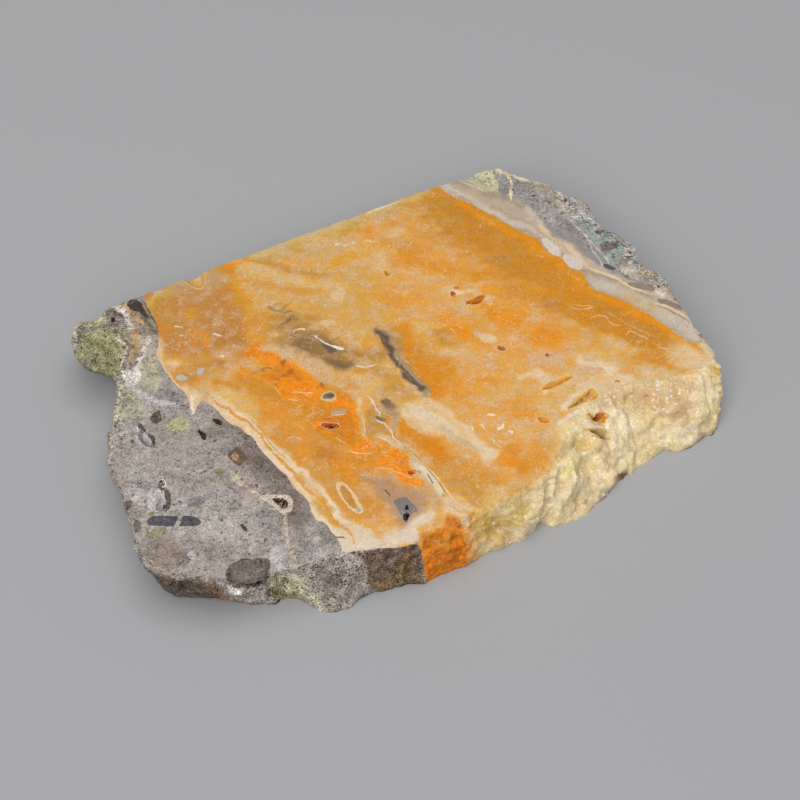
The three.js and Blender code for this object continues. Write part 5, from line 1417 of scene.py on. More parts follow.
VEINS = (
    # left band
    Vein(Hue.BRIGHT_OCHRE, 0.95, (
        (-51.6, -14), (-49.4, -17), (-47.5, -19.2), (-45, -19.6), (-44, -22), (-41, -23.4),
        (-39.4, -24.4), (-37.4, -27.6), (-35.8, -29), (-34.8, -31.2), (-33.4, -34), (-31, -36.8),
        (-28.6, -39.6), (-26.4, -42), (-25, -44.8), (-23.6, -47.2), (-21.6, -48.8), (-19.6, -50.4),
        (-18, -52.4), (-16.8, -55.2), (-15.4, -58), (-14, -60), (-12, -61), (-10.8, -62), (-10, -64),
        (-9.6, -66)
    )),
    Vein(Hue.TAN, 0.4, (
        (-40, -21.8), (-37, -25.6), (-34.6, -29.2), (-32.8, -32.8), (-30.4, -35.6), (-28, -38.4)
    )),
    Vein(Hue.CREAM, 0.5, (
        (-67.4, 7), (-66.2, 5.6), (-67, 1.6), (-66.6, -0.6), (-65.2, -2.8), (-63.4, -6.4), (-61, -9.8),
        (-59.2, -12.6), (-56.6, -14.6), (-53, -15.4)
    )),
    Vein(Hue.WHITE, 0.9, ((-56, -15), (-55.6, -18), (-55, -21.6))),
    Vein(Hue.OLIVE_BROWN, 0.5, ((-72.4, 21), (-70.8, 18.4), (-69.4, 14.6), (-68, 11.4), (-67.2, 8))),
    # cream vein through the left rock
    Vein(Hue.BAND_WHITE, 0.8, ((-39.4, -46.4), (-37, -48.8), (-34, -50.5))),
    Vein(Hue.BAND_WHITE, 1.2, (
        (-27.9, -56), (-28, -59), (-27.5, -64), (-26.5, -68), (-25, -72), (-23.5, -75.5)
    )),
    Vein(Hue.TAUPE, 0.5, ((-28.3, -57), (-28.5, -60), (-28, -62.4))),
    Vein(Hue.ROCK_LIGHT, 0.9, ((-56, -56.8), (-56.8, -60.6))),
    Vein(Hue.RUST, 0.5, ((-43.4, -35), (-42, -36.6), (-41.2, -39))),
    # painted shadow: dark bands on the upper right walls of the hollow on the left and the hollow near the lens
    Vein(Hue.DARK_PIT, 1.3, ((-70, -24.8), (-69.4, -26.4), (-67.8, -28.4))),
    Vein(Hue.DARK_PIT, 1.1, ((-67.4, -28.6), (-65.4, -30.2), (-64.9, -32.8))),
    Vein(Hue.UMBER, 1.5, ((-63, -47.2), (-60.8, -48.6), (-59.6, -50.4), (-59.6, -53), (-60.2, -55.4))),
    Vein(Hue.WHITE, 0.4, ((-63.2, -45), (-61.6, -44.6), (-60.8, -46.4), (-61.6, -47.4))),
    Vein(Hue.DARK_BROWN, 0.4, ((-43.8, -32), (-42.4, -31.2), (-41.2, -30.8))),
    Vein(Hue.DARK_BROWN, 0.5, ((-51.6, -42.8), (-50.8, -41.6), (-50, -41.4))),
    Vein(Hue.ROCK_LIGHT, 0.4, ((-37, -46), (-35.8, -45.6), (-35, -47), (-36, -48))),
    Vein(Hue.DARK_PIT, 0.5, ((-36.4, -46.2), (-35.6, -47.6))),
    Vein(Hue.DARK_BROWN, 0.6, ((-44.2, -52), (-43, -51.8))),
    Vein(Hue.DARK_BROWN, 0.6, ((-48.6, -57.8), (-47.8, -58.2))),
    Vein(Hue.DARK_PIT, 0.5, ((-33.4, -65.2), (-32.6, -64.2))),
    Vein(Hue.DARK_PIT, 0.5, ((-53.6, -70.4), (-52.4, -71.8))),
    Vein(Hue.DARK_PIT, 0.7, ((-29.4, -43.2), (-28.6, -44))),
    # lobe
    Vein(Hue.LOBE_GREY, 1.4, ((-91, 9.9), (-86, 10.4), (-82, 11.6), (-79, 12.6), (-76.6, 12.8))),
    Vein(Hue.LOBE_GREY, 0.9, (
        (-80.4, 10.4), (-78.2, 8.2), (-76.2, 6), (-74.8, 3), (-74.8, 0), (-76, -4.4)
    )),
    Vein(Hue.LOBE_GREY, 0.9, ((-90.2, 10), (-89.8, 6), (-89.6, 1.6))),
    Vein(Hue.BAND_PALE, 0.5, ((-79.4, 7.2), (-76.8, 5), (-75.4, 1.8), (-76.4, -2.4), (-77, -5))),
    Vein(Hue.YELLOW_OLIVE, 0.4, ((-69, -2), (-67, -5), (-65.6, -8.4))),
    # right rock
    Vein(Hue.CRUST_PALE, 1.0, ((35.4, 75.4), (36.6, 72.6), (37, 69.6), (36.3, 66.4), (36.4, 63.8))),
    Vein(Hue.ROCK_PALE, 0.7, (
        (53, 55.6), (55.6, 52.6), (58.4, 48), (60.2, 44.6), (62.4, 41.2), (64, 38.4), (64.4, 36.4)
    )),
    Vein(Hue.ROCK_PALE, 0.7, ((54.4, 56), (57.4, 56), (60, 55.4), (61.6, 53))),
    Vein(Hue.ROCK_PALE, 0.5, ((58.8, 46.4), (60, 42.4), (61.4, 39), (62.6, 36), (62.4, 34.4))),
    Vein(Hue.TONGUE, 1.0, ((57.8, 34.8), (61.4, 33), (66, 30.8), (68.4, 28.4), (72, 25.8), (76.4, 23.8))),
    Vein(Hue.TONGUE, 0.8, ((77, 20.6), (80, 19), (83, 17), (86.6, 14.2))),
    Vein(Hue.TAUPE_DARK, 0.4, ((77, 19.8), (80, 18), (83, 15.8), (86.4, 13.2))),
    Vein(Hue.BAND_PALE, 0.7, ((20.6, 71.8), (24, 69.8), (27, 68), (29.6, 66.8))),
    # white crest below the dark spot and the vein that runs on from it
    Vein(Hue.WHITE, 0.42, (
        (-6.4, -14.6), (-6.1, -15.8), (-5.2, -16.6), (-5.4, -17.6), (-4.4, -18.8), (-4, -20.2),
        (-2.8, -21.4), (-3, -22.4)
    ), rounds=0),
    Vein(Hue.WHITE, 0.36, (
        (-4.6, -23), (-3.4, -24.2), (-1.6, -25), (-0.8, -26.8), (0.2, -28.2), (0.6, -29.8), (1.8, -31),
        (2.8, -32.6), (4.8, -34)
    ), rounds=0),
    Vein(Hue.ROCK_DARK, 0.9, ((-4.2, -22.6), (-3, -23.6), (-1.6, -23.8))),
    Vein(Hue.BRIGHT_OCHRE, 0.6, ((-1.8, -26), (-0.6, -28), (1, -30.2), (3.2, -33))),
    Vein(Hue.SMOKE_GREY, 0.3, ((0.4, -26.6), (1.6, -28.6), (3, -30.6), (5.4, -33), (8, -36.4))),
    Vein(Hue.STONE_WHITE, 0.4, ((-4, -29.6), (-1, -30.6), (0, -32), (3.4, -35.2), (7.4, -38.8))),
    Vein(Hue.OCHRE, 0.4, ((3, -32.6), (6, -35.6), (8.6, -38.4))),
    Vein(Hue.NEAR_BLACK, 0.35, ((9.8, -42.6), (10.8, -44.4), (11.4, -46.2))),
    Vein(Hue.NEAR_BLACK, 0.3, ((14, -49.4), (14.6, -50.6))),
    Vein(Hue.PALE_TAUPE, 0.3, ((15.6, -53), (17.6, -56.4), (20, -59.6))),
    Vein(Hue.PALE_CREAM, 0.3, ((10, -40.4), (13, -44.4), (15.6, -49.6), (18.4, -53.6))),
    Vein(Hue.HALO, 0.25, ((9.6, -40.6), (12.4, -44.4), (15, -49.4))),
    Vein(Hue.HALO, 0.3, ((16.4, -53.6), (18.6, -56), (20.4, -58))),
    Vein(Hue.HALO, 0.3, ((19.8, -54.6), (21, -56.4), (21.4, -58.6))),
    Vein(Hue.SMOKE, 0.4, ((-1.6, -48), (-0.6, -49.6), (0, -50.4))),
    Vein(Hue.CREAM, 0.35, ((4.4, -43.2), (6, -43.4), (7.6, -42.4), (7, -41.4))),
    Vein(Hue.CREAM, 0.4, ((-11.2, -34.6), (-9.4, -35.6), (-8, -35.4), (-6.4, -35.8), (-4.8, -35.2))),
    Vein(Hue.CREAM, 0.32, ((-4.6, -40.7), (-1, -40.6), (1, -41.6), (2.4, -42.2), (5, -44.2), (6.6, -43.8))),
    Vein(Hue.CREAM, 0.3, ((-28.4, -14), (-26.4, -13.4), (-24.6, -14.2), (-22.4, -13.6), (-20.8, -14))),
    Vein(Hue.CREAM, 0.3, ((-28.8, -16), (-27, -16.7), (-24.8, -16.5))),
    Vein(Hue.CREAM, 0.3, ((-33, -11.6), (-31.8, -13.4), (-31, -14.8))),
    Vein(Hue.CREAM, 0.35, ((-15.6, -29.8), (-14, -31.2), (-12.2, -31.9))),
    Vein(Hue.CREAM, 0.3, ((-28.4, -30.2), (-26.6, -29.6), (-24.6, -30.2))),
    Vein(Hue.CREAM, 0.35, ((-8.6, -20), (-7.8, -23), (-7.2, -26), (-7.2, -29.6))),
    Vein(Hue.CREAM, 0.5, ((-17, -22), (-14.6, -22), (-12.6, -21.4))),
    Vein(Hue.WHITE, 0.5, ((-22.4, 7.9), (-20.6, 6.2), (-19, 4.8), (-17.4, 4.3))),
    Vein(Hue.WHITE, 0.6, ((-28.2, 9.4), (-26.4, 10.2), (-24.8, 10.2))),
    Vein(Hue.WHITE, 0.7, ((-51, 8.6), (-50, 7.8), (-49, 7.6))),
    Vein(Hue.WHITE, 0.6, ((-62.4, 11.6), (-61.4, 11), (-60.4, 11.2))),
    Vein(Hue.WHITE, 0.5, ((-48.6, 0.2), (-47.6, -0.2))),
    Vein(Hue.WHITE, 0.5, ((-17, 44.4), (-15.4, 44.6))),
    Vein(Hue.WHITE, 0.5, ((-14.4, 43.8), (-13.4, 44.2))),
    Vein(Hue.WHITE, 0.5, ((-12, 45), (-11, 45.2))),
    Vein(Hue.DEEP_ORANGE, 0.7, ((-57.4, 5.2), (-56.6, 4.2), (-56.2, 3))),
    Vein(Hue.RUST, 0.7, ((-26.8, -55.6), (-25.8, -56.2))),
    Vein(Hue.DARK_BROWN, 0.5, ((-15, -63.8), (-13.6, -64.1), (-12, -64))),
    Vein(Hue.DARK_PIT, 0.4, ((-56.6, -44.8), (-55.6, -45.4))),
    Vein(Hue.BURNT_RED, 0.5, ((63.4, -9.4), (64.2, -9.5))),
    Vein(Hue.BURNT, 0.5, ((67, -14), (67.8, -14.3))),
    Vein(Hue.BURNT, 0.5, ((70.4, -15.5), (71.2, -15), (72.2, -14.8))),
    Vein(Hue.PALE_CREAM, 0.5, ((-8, 57), (-3, 60), (2, 62.8))),
    Vein(Hue.WHITE, 0.5, ((-10.2, -3.9), (-7.5, -4.4), (-4.4, -3.2))),
    Vein(Hue.AMBER, 0.7, ((-11.4, -6.8), (-7, -5.2), (-3, -3.8))),
    Vein(Hue.SMOKE_GREY, 0.4, ((-40.4, -7), (-38.4, -6.2), (-36.8, -4.8), (-34.8, -4.4), (-33.2, -5.4))),
    Vein(Hue.SMOKE_GREY, 0.4, ((-37.4, -5.6), (-35.6, -5.6))),
    Vein(Hue.SMOKE, 0.9, (
        (-4, 9), (-2.6, 6.5), (-1.6, 3.6), (0.6, -0.2), (3, -4), (5.8, -8.4), (8.6, -12)
    )),
    # right field
    Vein(Hue.CREAM, 0.26, ((51.4, 20), (53, 18.4), (55, 17.8), (57, 18), (58.6, 19))),
    Vein(Hue.CREAM, 0.23, ((53.4, 19.8), (56, 19), (58, 19.6))),
    Vein(Hue.CREAM, 0.26, (
        (57.4, 14.4), (59.2, 15.6), (61, 15.8), (62.4, 15), (62.8, 13.4), (64, 11.8), (65.4, 11.6),
        (66.4, 12.4)
    )),
    Vein(Hue.CREAM, 0.29, ((67.4, 7.6), (68.6, 9.6), (70, 8.8), (71.4, 7.6), (73.8, 6.9))),
    Vein(Hue.PINK, 0.23, ((62, 17.4), (65, 15), (68.6, 12), (72, 9.4), (75.6, 7.6))),
    Vein(Hue.CREAM, 0.26, ((75, 5), (77, 3.2), (79.8, 1.6))),
    Vein(Hue.PINK, 0.33, ((38, 3.2), (40, 2.2), (41, 0.8))),
    Vein(Hue.PINK, 0.33, ((28.4, 4.6), (29, 3), (30.6, 2))),
    Vein(Hue.PINK, 0.33, ((16.4, -4), (17, -2.6), (18.6, -3.6), (20.6, -4), (20.6, -2.4))),
    Vein(Hue.PINK, 0.36, ((20.8, -10.2), (22, -9), (23.8, -7.8), (23.4, -7))),
    Vein(Hue.PINK, 0.33, ((20, -16.6), (22.4, -15.6), (23.2, -13.6), (22.2, -12))),
    Vein(Hue.PINK, 0.33, ((44.6, 1.8), (45.6, 0.4), (44.8, -1.2), (43.8, 0.2)), closed=True),
    Vein(Hue.PINK, 0.33, ((14, 17.6), (15, 16.6), (14, 15.6), (13, 16.6)), closed=True),
    Vein(Hue.PINK, 0.33, ((36, 10.4), (34.8, 9), (35.4, 7.2), (36.4, 6.8))),
    Vein(Hue.PINK, 0.26, ((2, 33.4), (5.6, 33), (7, 30), (5.4, 27.4), (2.6, 28))),
    Vein(Hue.RED_BROWN, 0.7, ((21.9, 20.7), (23.2, 20.4), (24.8, 20.5))),
    Vein(Hue.DARK_PIT, 0.7, ((-17.4, -26.2), (-16.2, -26.5), (-15, -26.2))),
    Vein(Hue.WHITE, 0.5, ((25, -25.2), (25.4, -25.8), (25.8, -26.8))),
    Vein(Hue.WHITE, 0.4, ((30.8, -24.9), (31.5, -24.4))),
    Vein(Hue.WHITE, 0.4, ((29.6, -31), (30.6, -31.6))),
    Vein(Hue.FORK_ORANGE, 0.6, ((46.6, -10.6), (49.4, -9), (51.2, -7.8))),
    Vein(Hue.FORK_ORANGE, 0.5, ((42.6, -12.3), (44.6, -11.9))),
    Vein(Hue.MUSTARD, 0.8, ((49.4, -19.5), (53.4, -16.8), (56.6, -12.6))),
    Vein(Hue.PALE_CREAM, 0.8, ((54.6, -26.4), (57, -25.8), (59.6, -26.8))),
    Vein(Hue.OLIVE_BROWN, 0.4, ((55.8, -29.2), (57.4, -30.4), (59, -30.8))),
    Vein(Hue.WHITE, 0.5, ((22.4, -26), (22.8, -27.4))),
    Vein(Hue.WHITE, 0.8, ((26.8, -21.4), (27.8, -21.6), (28.8, -21.9))),
    Vein(Hue.WHITE, 0.5, ((27.4, -30.4), (28.4, -31.4))),
    Vein(Hue.CREAM, 0.4, ((28, -32), (29.4, -32.6), (30.6, -33.8))),
    Vein(Hue.CREAM, 0.7, ((52, -12), (55.6, -9.6), (58.6, -6.6))),
    Vein(Hue.PALE_CREAM, 1.0, ((46, -25.4), (50, -21.8), (53, -20.4))),
)


def sight(places: Array) -> Array:
    """Finds where the markings of each point lie on the polished face.

    The bands dip through the stone: they run from the polished face down and forward, along lines that meet
    at one far point. The mark of a point is the place where the line from that far point through it crosses
    the height of the polished face.

    Args:
        places: Points, three numbers each.

    Returns:
        Two numbers for each point.
    """
    lean = math.radians(Studio.elevation)
    far = np.array([0.0, -math.cos(lean), math.sin(lean)]) * Studio.distance
    far = far + np.array([*Studio.aim, THICKNESS])
    share = (THICKNESS - far[2]) / (places[:, 2] - far[2])
    return far[:2] + share[:, None] * (places[:, :2] - far[:2])


@dataclass(frozen=True)
class Surface:
    """The slab's skin: vertices and triangles, and each vertex's weight of side and fine relief."""

    vertices: Array
    triangles: Array
    side: Array
    relief: Array


@dataclass
class SlabForm:
    """The slab's shape: two square grids wrapped onto the outline, joined by a side of columns and rows.

    Depths on the side run from 0 at the polished edge to 1 at the sawn edge. The lumps, grain and blocks keep
    only edge_share and foot_share of their height at those edges. Blocks are the length, seed and height of
    each size of broken block. A pit has a steep wall, which takes wall_drop of its depth, and a bowl for the
    rest. Pits are pressed inwards on the side by inward_press, away from both its edges, and downwards by
    down_press near the polished edge. Low and high are the corners of the box that the slab must stay in.
    """

    low: Array
    high: Array
    cells: int = 240
    sawn_ratio: int = 4
    rows: int = 38
    crowding: float = 1.25
    blend_reach: int = 9
    tangent_reach: int = 8
    edge_share: float = 0.3
    foot_share: float = 0.5
    relief_depth: float = 0.16
    lip_depth: float = 0.1
    grain_length: float = 2.1
    blocks: tuple[Place, ...] = ((4.4, 7.0, 1.25), (2.2, 19.0, 0.5))
    bite: float = 0.7
    bite_depth: float = 0.05
    bite_length: float = 2.6
    bite_band: Band = (0.58, 0.8)
    upper_calm: float = 0.15
    lower_calm: float = 0.8
    coarse_share: float = 0.5
    pit_wall: float = 0.9
    wall_growth: float = 0.12
    widest_wall: float = 0.8
    least_reach: float = 0.2
    wall_drop: float = 0.8
    bowl_drop: float = 0.2
    inward_press: float = 0.6
    inward_fade: float = 0.1
    inward_end: float = 0.98
    down_press: float = 0.8
    down_fade: float = 0.6
    middle: Band = (-5.0, 5.0)
    rim_reach: int = 14
    rim_fade: float = 14.0

    @property
    def count(self) -> int:
        """Number of columns round the side: one for each border point of the square grid."""
        return 4 * self.cells

    def columns(self) -> tuple[Array, Array, Array, Array]:
        """Columns at equal steps along the run of stations, which are joined by straight lines.

        Returns:
            The edge point, the foot point, the outward direction and the stretch's values of each column.
        """
        stations = np.array([station for stretch in SIDE for station in stretch.stations], float)
        looks = np.array([
            (s.lip, s.belly, s.flare, s.relief, s.lump, s.grain, s.crystal) for s in SIDE for _ in s.stations
        ])
        gaps = np.roll(stations, -1, axis=0) - stations
        runs = (np.hypot(gaps[:, 0], gaps[:, 1]) + np.hypot(gaps[:, 2], gaps[:, 3])) / 2.0
        knots = np.concatenate([[0.0], np.cumsum(runs)])
        where = np.arange(self.count) * knots[-1] / self.count
        index = np.searchsorted(knots, where, side="right") - 1
        share = (where - knots[index]) / runs[index]
        at = stations[index] + gaps[index] * share[:, None]
        both = at[:, :2] + at[:, 2:]
        tangent = np.roll(both, -self.tangent_reach, axis=0) - np.roll(both, self.tangent_reach, axis=0)
        tangent /= np.linalg.norm(tangent, axis=1, keepdims=True)
        outward = np.column_stack([-tangent[:, 1], tangent[:, 0]])
        return at[:, :2], at[:, 2:], outward, self.ring_mean(looks[index], self.blend_reach)

    @staticmethod
    def ring_mean(values: Array, reach: int) -> Array:
        """Mean of each row with its neighbours up to reach rows each way round a closed ring."""
        return sum(np.roll(values, step, axis=0) for step in range(-reach, reach + 1)) / (2 * reach + 1)

    def side(self) -> tuple[Array, Array, Array]:
        """The side, row by row from the polished edge to the sawn edge.

        A point lies between its column's edge and foot. It is then pushed outwards by the belly and lip, by
        lumps that fade towards both edges, and by fine grain and broken blocks. Small bites take material
        off the polished edge.

        Returns:
            Points, outward directions and fine relief, each with one entry for every row and column.
        """
        edge, foot, outward, look = self.columns()
        lip, belly, flare, relief, lump, grain, crystal = look.T
        shape = (self.rows + 1, self.count)
        depth = ((np.arange(self.rows + 1) / self.rows) ** self.crowding)[:, None]
        flat = edge + (foot - edge) * (depth**flare)[..., None]
        level = np.broadcast_to(THICKNESS * (1.0 - depth), shape)
        places = np.concatenate([flat, level[..., None]], axis=2).reshape(-1, 3)
        bulge = belly * 4.0 * depth * (1.0 - depth)
        brow = lip * np.minimum(1.0, depth / self.lip_depth) * (1.0 - depth)
        grown = self.edge_share + (1.0 - self.edge_share) * np.minimum(1.0, depth / self.relief_depth)
        faded = self.foot_share + (1.0 - self.foot_share) * np.minimum(1.0, (1.0 - depth) / self.relief_depth)
        share = np.minimum(grown, faded)
        coarse = lumps(places, np.broadcast_to(lump, shape).ravel()).reshape(shape) * relief * share
        fine = lumps(places, self.grain_length).reshape(shape) * grain * share
        blocks = sum(height * crystals(places, length, seed) for length, seed, height in self.blocks)
        blocks = blocks.reshape(shape) * crystal * share
        bites = ramp(*self.bite_band, smooth_noise(places / self.bite_length)).reshape(shape)
        bites = bites * self.bite * np.minimum(1.0, relief) * np.clip(1.0 - depth / self.bite_depth, 0.0, 1.0)
        slope = np.linalg.norm(foot - edge, axis=1)
        rise = slope / np.hypot(slope, THICKNESS)
        broken = coarse + fine + blocks
        out = bulge + brow + broken * np.sqrt(1.0 - rise**2) - bites
        level = level + broken * rise * ramp(0.0, self.upper_calm, depth) * ramp(1.0, self.lower_calm, depth)
        points = np.concatenate([flat + outward * out[..., None], level[..., None]], axis=2)
        return points, np.broadcast_to(outward, flat.shape), fine + blocks + self.coarse_share * coarse

    def wrap(self, cells: int, rim: Array) -> Array:
        """Inner nodes of a square grid wrapped onto the outline.

        A node's square ring gives its share of the way from the middle to the rim, and its place along that
        ring gives the place along the rim. Inner rings follow a calmer rim: the rim's small bends fade with a
        high power of that share.

        Args:
            cells: Grid cells along each side of the square.
            rim: Points of the outline, from the grid's first corner round.

        Returns:
            The inner nodes, without the border: the first is grid node (1, 1), and j runs fastest.
        """
        a, b = np.meshgrid(*[np.arange(1, cells) * 2.0 / cells - 1.0] * 2, indexing="ij")
        ring = np.maximum(np.abs(a), np.abs(b))
        safe = np.where(ring == 0.0, 1.0, ring)
        quarter = np.select(
            [a == -ring, b == ring, a == ring],
            [(b / safe + 1.0) / 2.0, 1.0 + (a / safe + 1.0) / 2.0, 2.0 + (1.0 - b / safe) / 2.0],
            3.0 + (1.0 - a / safe) / 2.0,
        )
        spot = quarter / 4.0 * len(rim)
        start = np.floor(spot).astype(int)
        part = (spot - start)[..., None]
        middle = np.array(self.middle)
        calm = self.ring_mean(rim, self.rim_reach) - middle
        bends = rim - middle - calm
        here, after = start % len(rim), (start + 1) % len(rim)
        calm, bends = (run[here] * (1.0 - part) + run[after] * part for run in (calm, bends))
        ring = ring[..., None]
        return (middle + ring * (calm + bends * ring**self.rim_fade)).reshape(-1, 2)

    @staticmethod
    def grid_triangles(cells: int, offset: int, rim: Array) -> Array:
        """Triangles of a wrapped grid that faces up, with its border stitched to the rim's vertices.

        Cells are split along the diagonal that points away from the middle. Each border run makes a fan from
        its inner node to the rim vertices beside it.

        Args:
            cells: Grid cells along each side of the square.
            offset: Number of the grid's first inner vertex.
            rim: Numbers of the rim's vertices, a whole multiple of the grid's border nodes.

        Returns:
            Three vertex numbers for each triangle.
        """
        span = cells - 1

        def node(i: Array, j: Array) -> Array:
            """Vertex of grid node (i, j), held inside the border."""
            return offset + (np.clip(i, 1, span) - 1) * span + (np.clip(j, 1, span) - 1)

        i, j = (part.ravel() + 1 for part in np.indices((span - 1, span - 1)))
        corner, right, across, above = node(i, j), node(i + 1, j), node(i + 1, j + 1), node(i, j + 1)
        outward = ((i < cells / 2) == (j < cells / 2))[:, None]
        first = np.where(outward, np.stack([corner, right, across], 1), np.stack([corner, right, above], 1))
        second = np.where(outward, np.stack([corner, across, above], 1), np.stack([right, across, above], 1))
        walk = np.arange(4 * cells + 1) % (4 * cells)
        side, step = walk // cells, walk % cells
        border_i = np.choose(side, [0, step, cells, cells - step])
        border_j = np.choose(side, [step, cells, cells - step, 0])
        inner = node(border_i, border_j)
        ratio = len(rim) // (4 * cells)
        loop = np.append(rim, rim[0])
        starts = np.arange(len(rim))
        fans = np.stack([inner[starts // ratio], loop[starts + 1], loop[starts]], 1)
        joins = np.stack([inner[:-1], inner[1:], loop[np.arange(1, 4 * cells + 1) * ratio]], 1)
        joins = joins[inner[:-1] != inner[1:]]
        return np.vstack([first, second, fans, joins])

    def side_triangles(self) -> Array:
        """Makes the side's triangles.

        Returns:
            Three vertex numbers for each triangle: two triangles for each cell, facing outwards.
        """
        row, column = (part.ravel() for part in np.indices((self.rows, self.count)))
        beside = (column + 1) % self.count
        a, b = row * self.count + column, row * self.count + beside
        d, e = a + self.count, b + self.count
        return np.vstack([np.stack([a, b, d], 1), np.stack([b, e, d], 1)])

    def press_pits(self, vertices: Array, push: Array) -> Array:
        """Presses every pit into the skin: its wall is eased in from the outline, and its bowl goes on down.

        Args:
            vertices: Points of the skin.
            push: The direction in which each point is pressed.

        Returns:
            The moved points.
        """
        marks = sight(vertices)
        sink = np.zeros(len(vertices))
        for pit in PITS:
            depth = depth_inside(marks, rounded(pit.outline, closed=True, rounds=1), 1.0)
            widest = max(depth.max(), self.least_reach)
            wall = min(self.pit_wall + pit.depth * self.wall_growth, widest * self.widest_wall)
            bowl = self.bowl_drop * ramp(wall / 2.0, widest, depth)
            sink = np.maximum(sink, pit.depth * (self.wall_drop * ramp(0.0, wall, depth) + bowl))
        return vertices + push * sink[:, None]

    def build(self) -> Surface:
        """Joins the side, the polished face and the sawn face into one closed skin, and presses the pits in.

        Returns:
            The skin, in millimetres in the drawing's frame.
        """
        side, outward, relief = self.side()
        top = self.wrap(self.cells, side[0, :, :2])
        sawn_cells = self.cells // self.sawn_ratio
        sawn = self.wrap(sawn_cells, side[-1, :, :2][:: self.sawn_ratio])
        skins = (
            side.reshape(-1, 3),
            np.column_stack([top, np.full(len(top), THICKNESS)]),
            np.column_stack([sawn, np.zeros(len(sawn))]),
        )
        vertices = np.vstack(skins)
        around = self.rows * self.count
        rim = np.arange(self.count)
        top_start = around + self.count
        sawn_start = top_start + len(top)
        upper = self.grid_triangles(self.cells, top_start, rim)
        lower = self.grid_triangles(sawn_cells, sawn_start, around + rim)[:, ::-1]
        depth = np.repeat(np.linspace(0.0, 1.0, self.rows + 1), self.count)
        push = np.zeros_like(vertices)
        held = self.inward_press * ramp(0.0, self.inward_fade, depth) * (depth < self.inward_end)
        push[:top_start, :2] = -outward.reshape(-1, 2) * held[:, None]
        push[:top_start, 2] = -self.down_press * ramp(1.0, self.down_fade, depth)
        push[top_start:sawn_start, 2] = -1.0
        pressed = self.press_pits(vertices, push)
        on_side = np.zeros(len(vertices))
        on_side[self.count : around] = 1.0
        fine = np.zeros(len(vertices))
        fine[:top_start] = relief.ravel()
        shift = np.array([*MIDDLE, 0.0])
        boxed = np.clip(pressed - shift, self.low, self.high) + shift
        return Surface(boxed, np.vstack([self.side_triangles(), upper, lower]), on_side, fine)


@dataclass
class CrispLayer:
    """One layer of crisp shapes: each vertex's tone and measures, and whether a shape has taken it."""

    tone: Array
    measure: Array
    taken: Array

    @classmethod
    def blank(cls, size: int, measure: Sequence[float]) -> "CrispLayer":
        """A layer without shapes: mid grey, with the same measures at every vertex."""
        return cls(np.full((size, 3), 0.5), np.tile(measure, (size, 1)), np.zeros(size, bool))


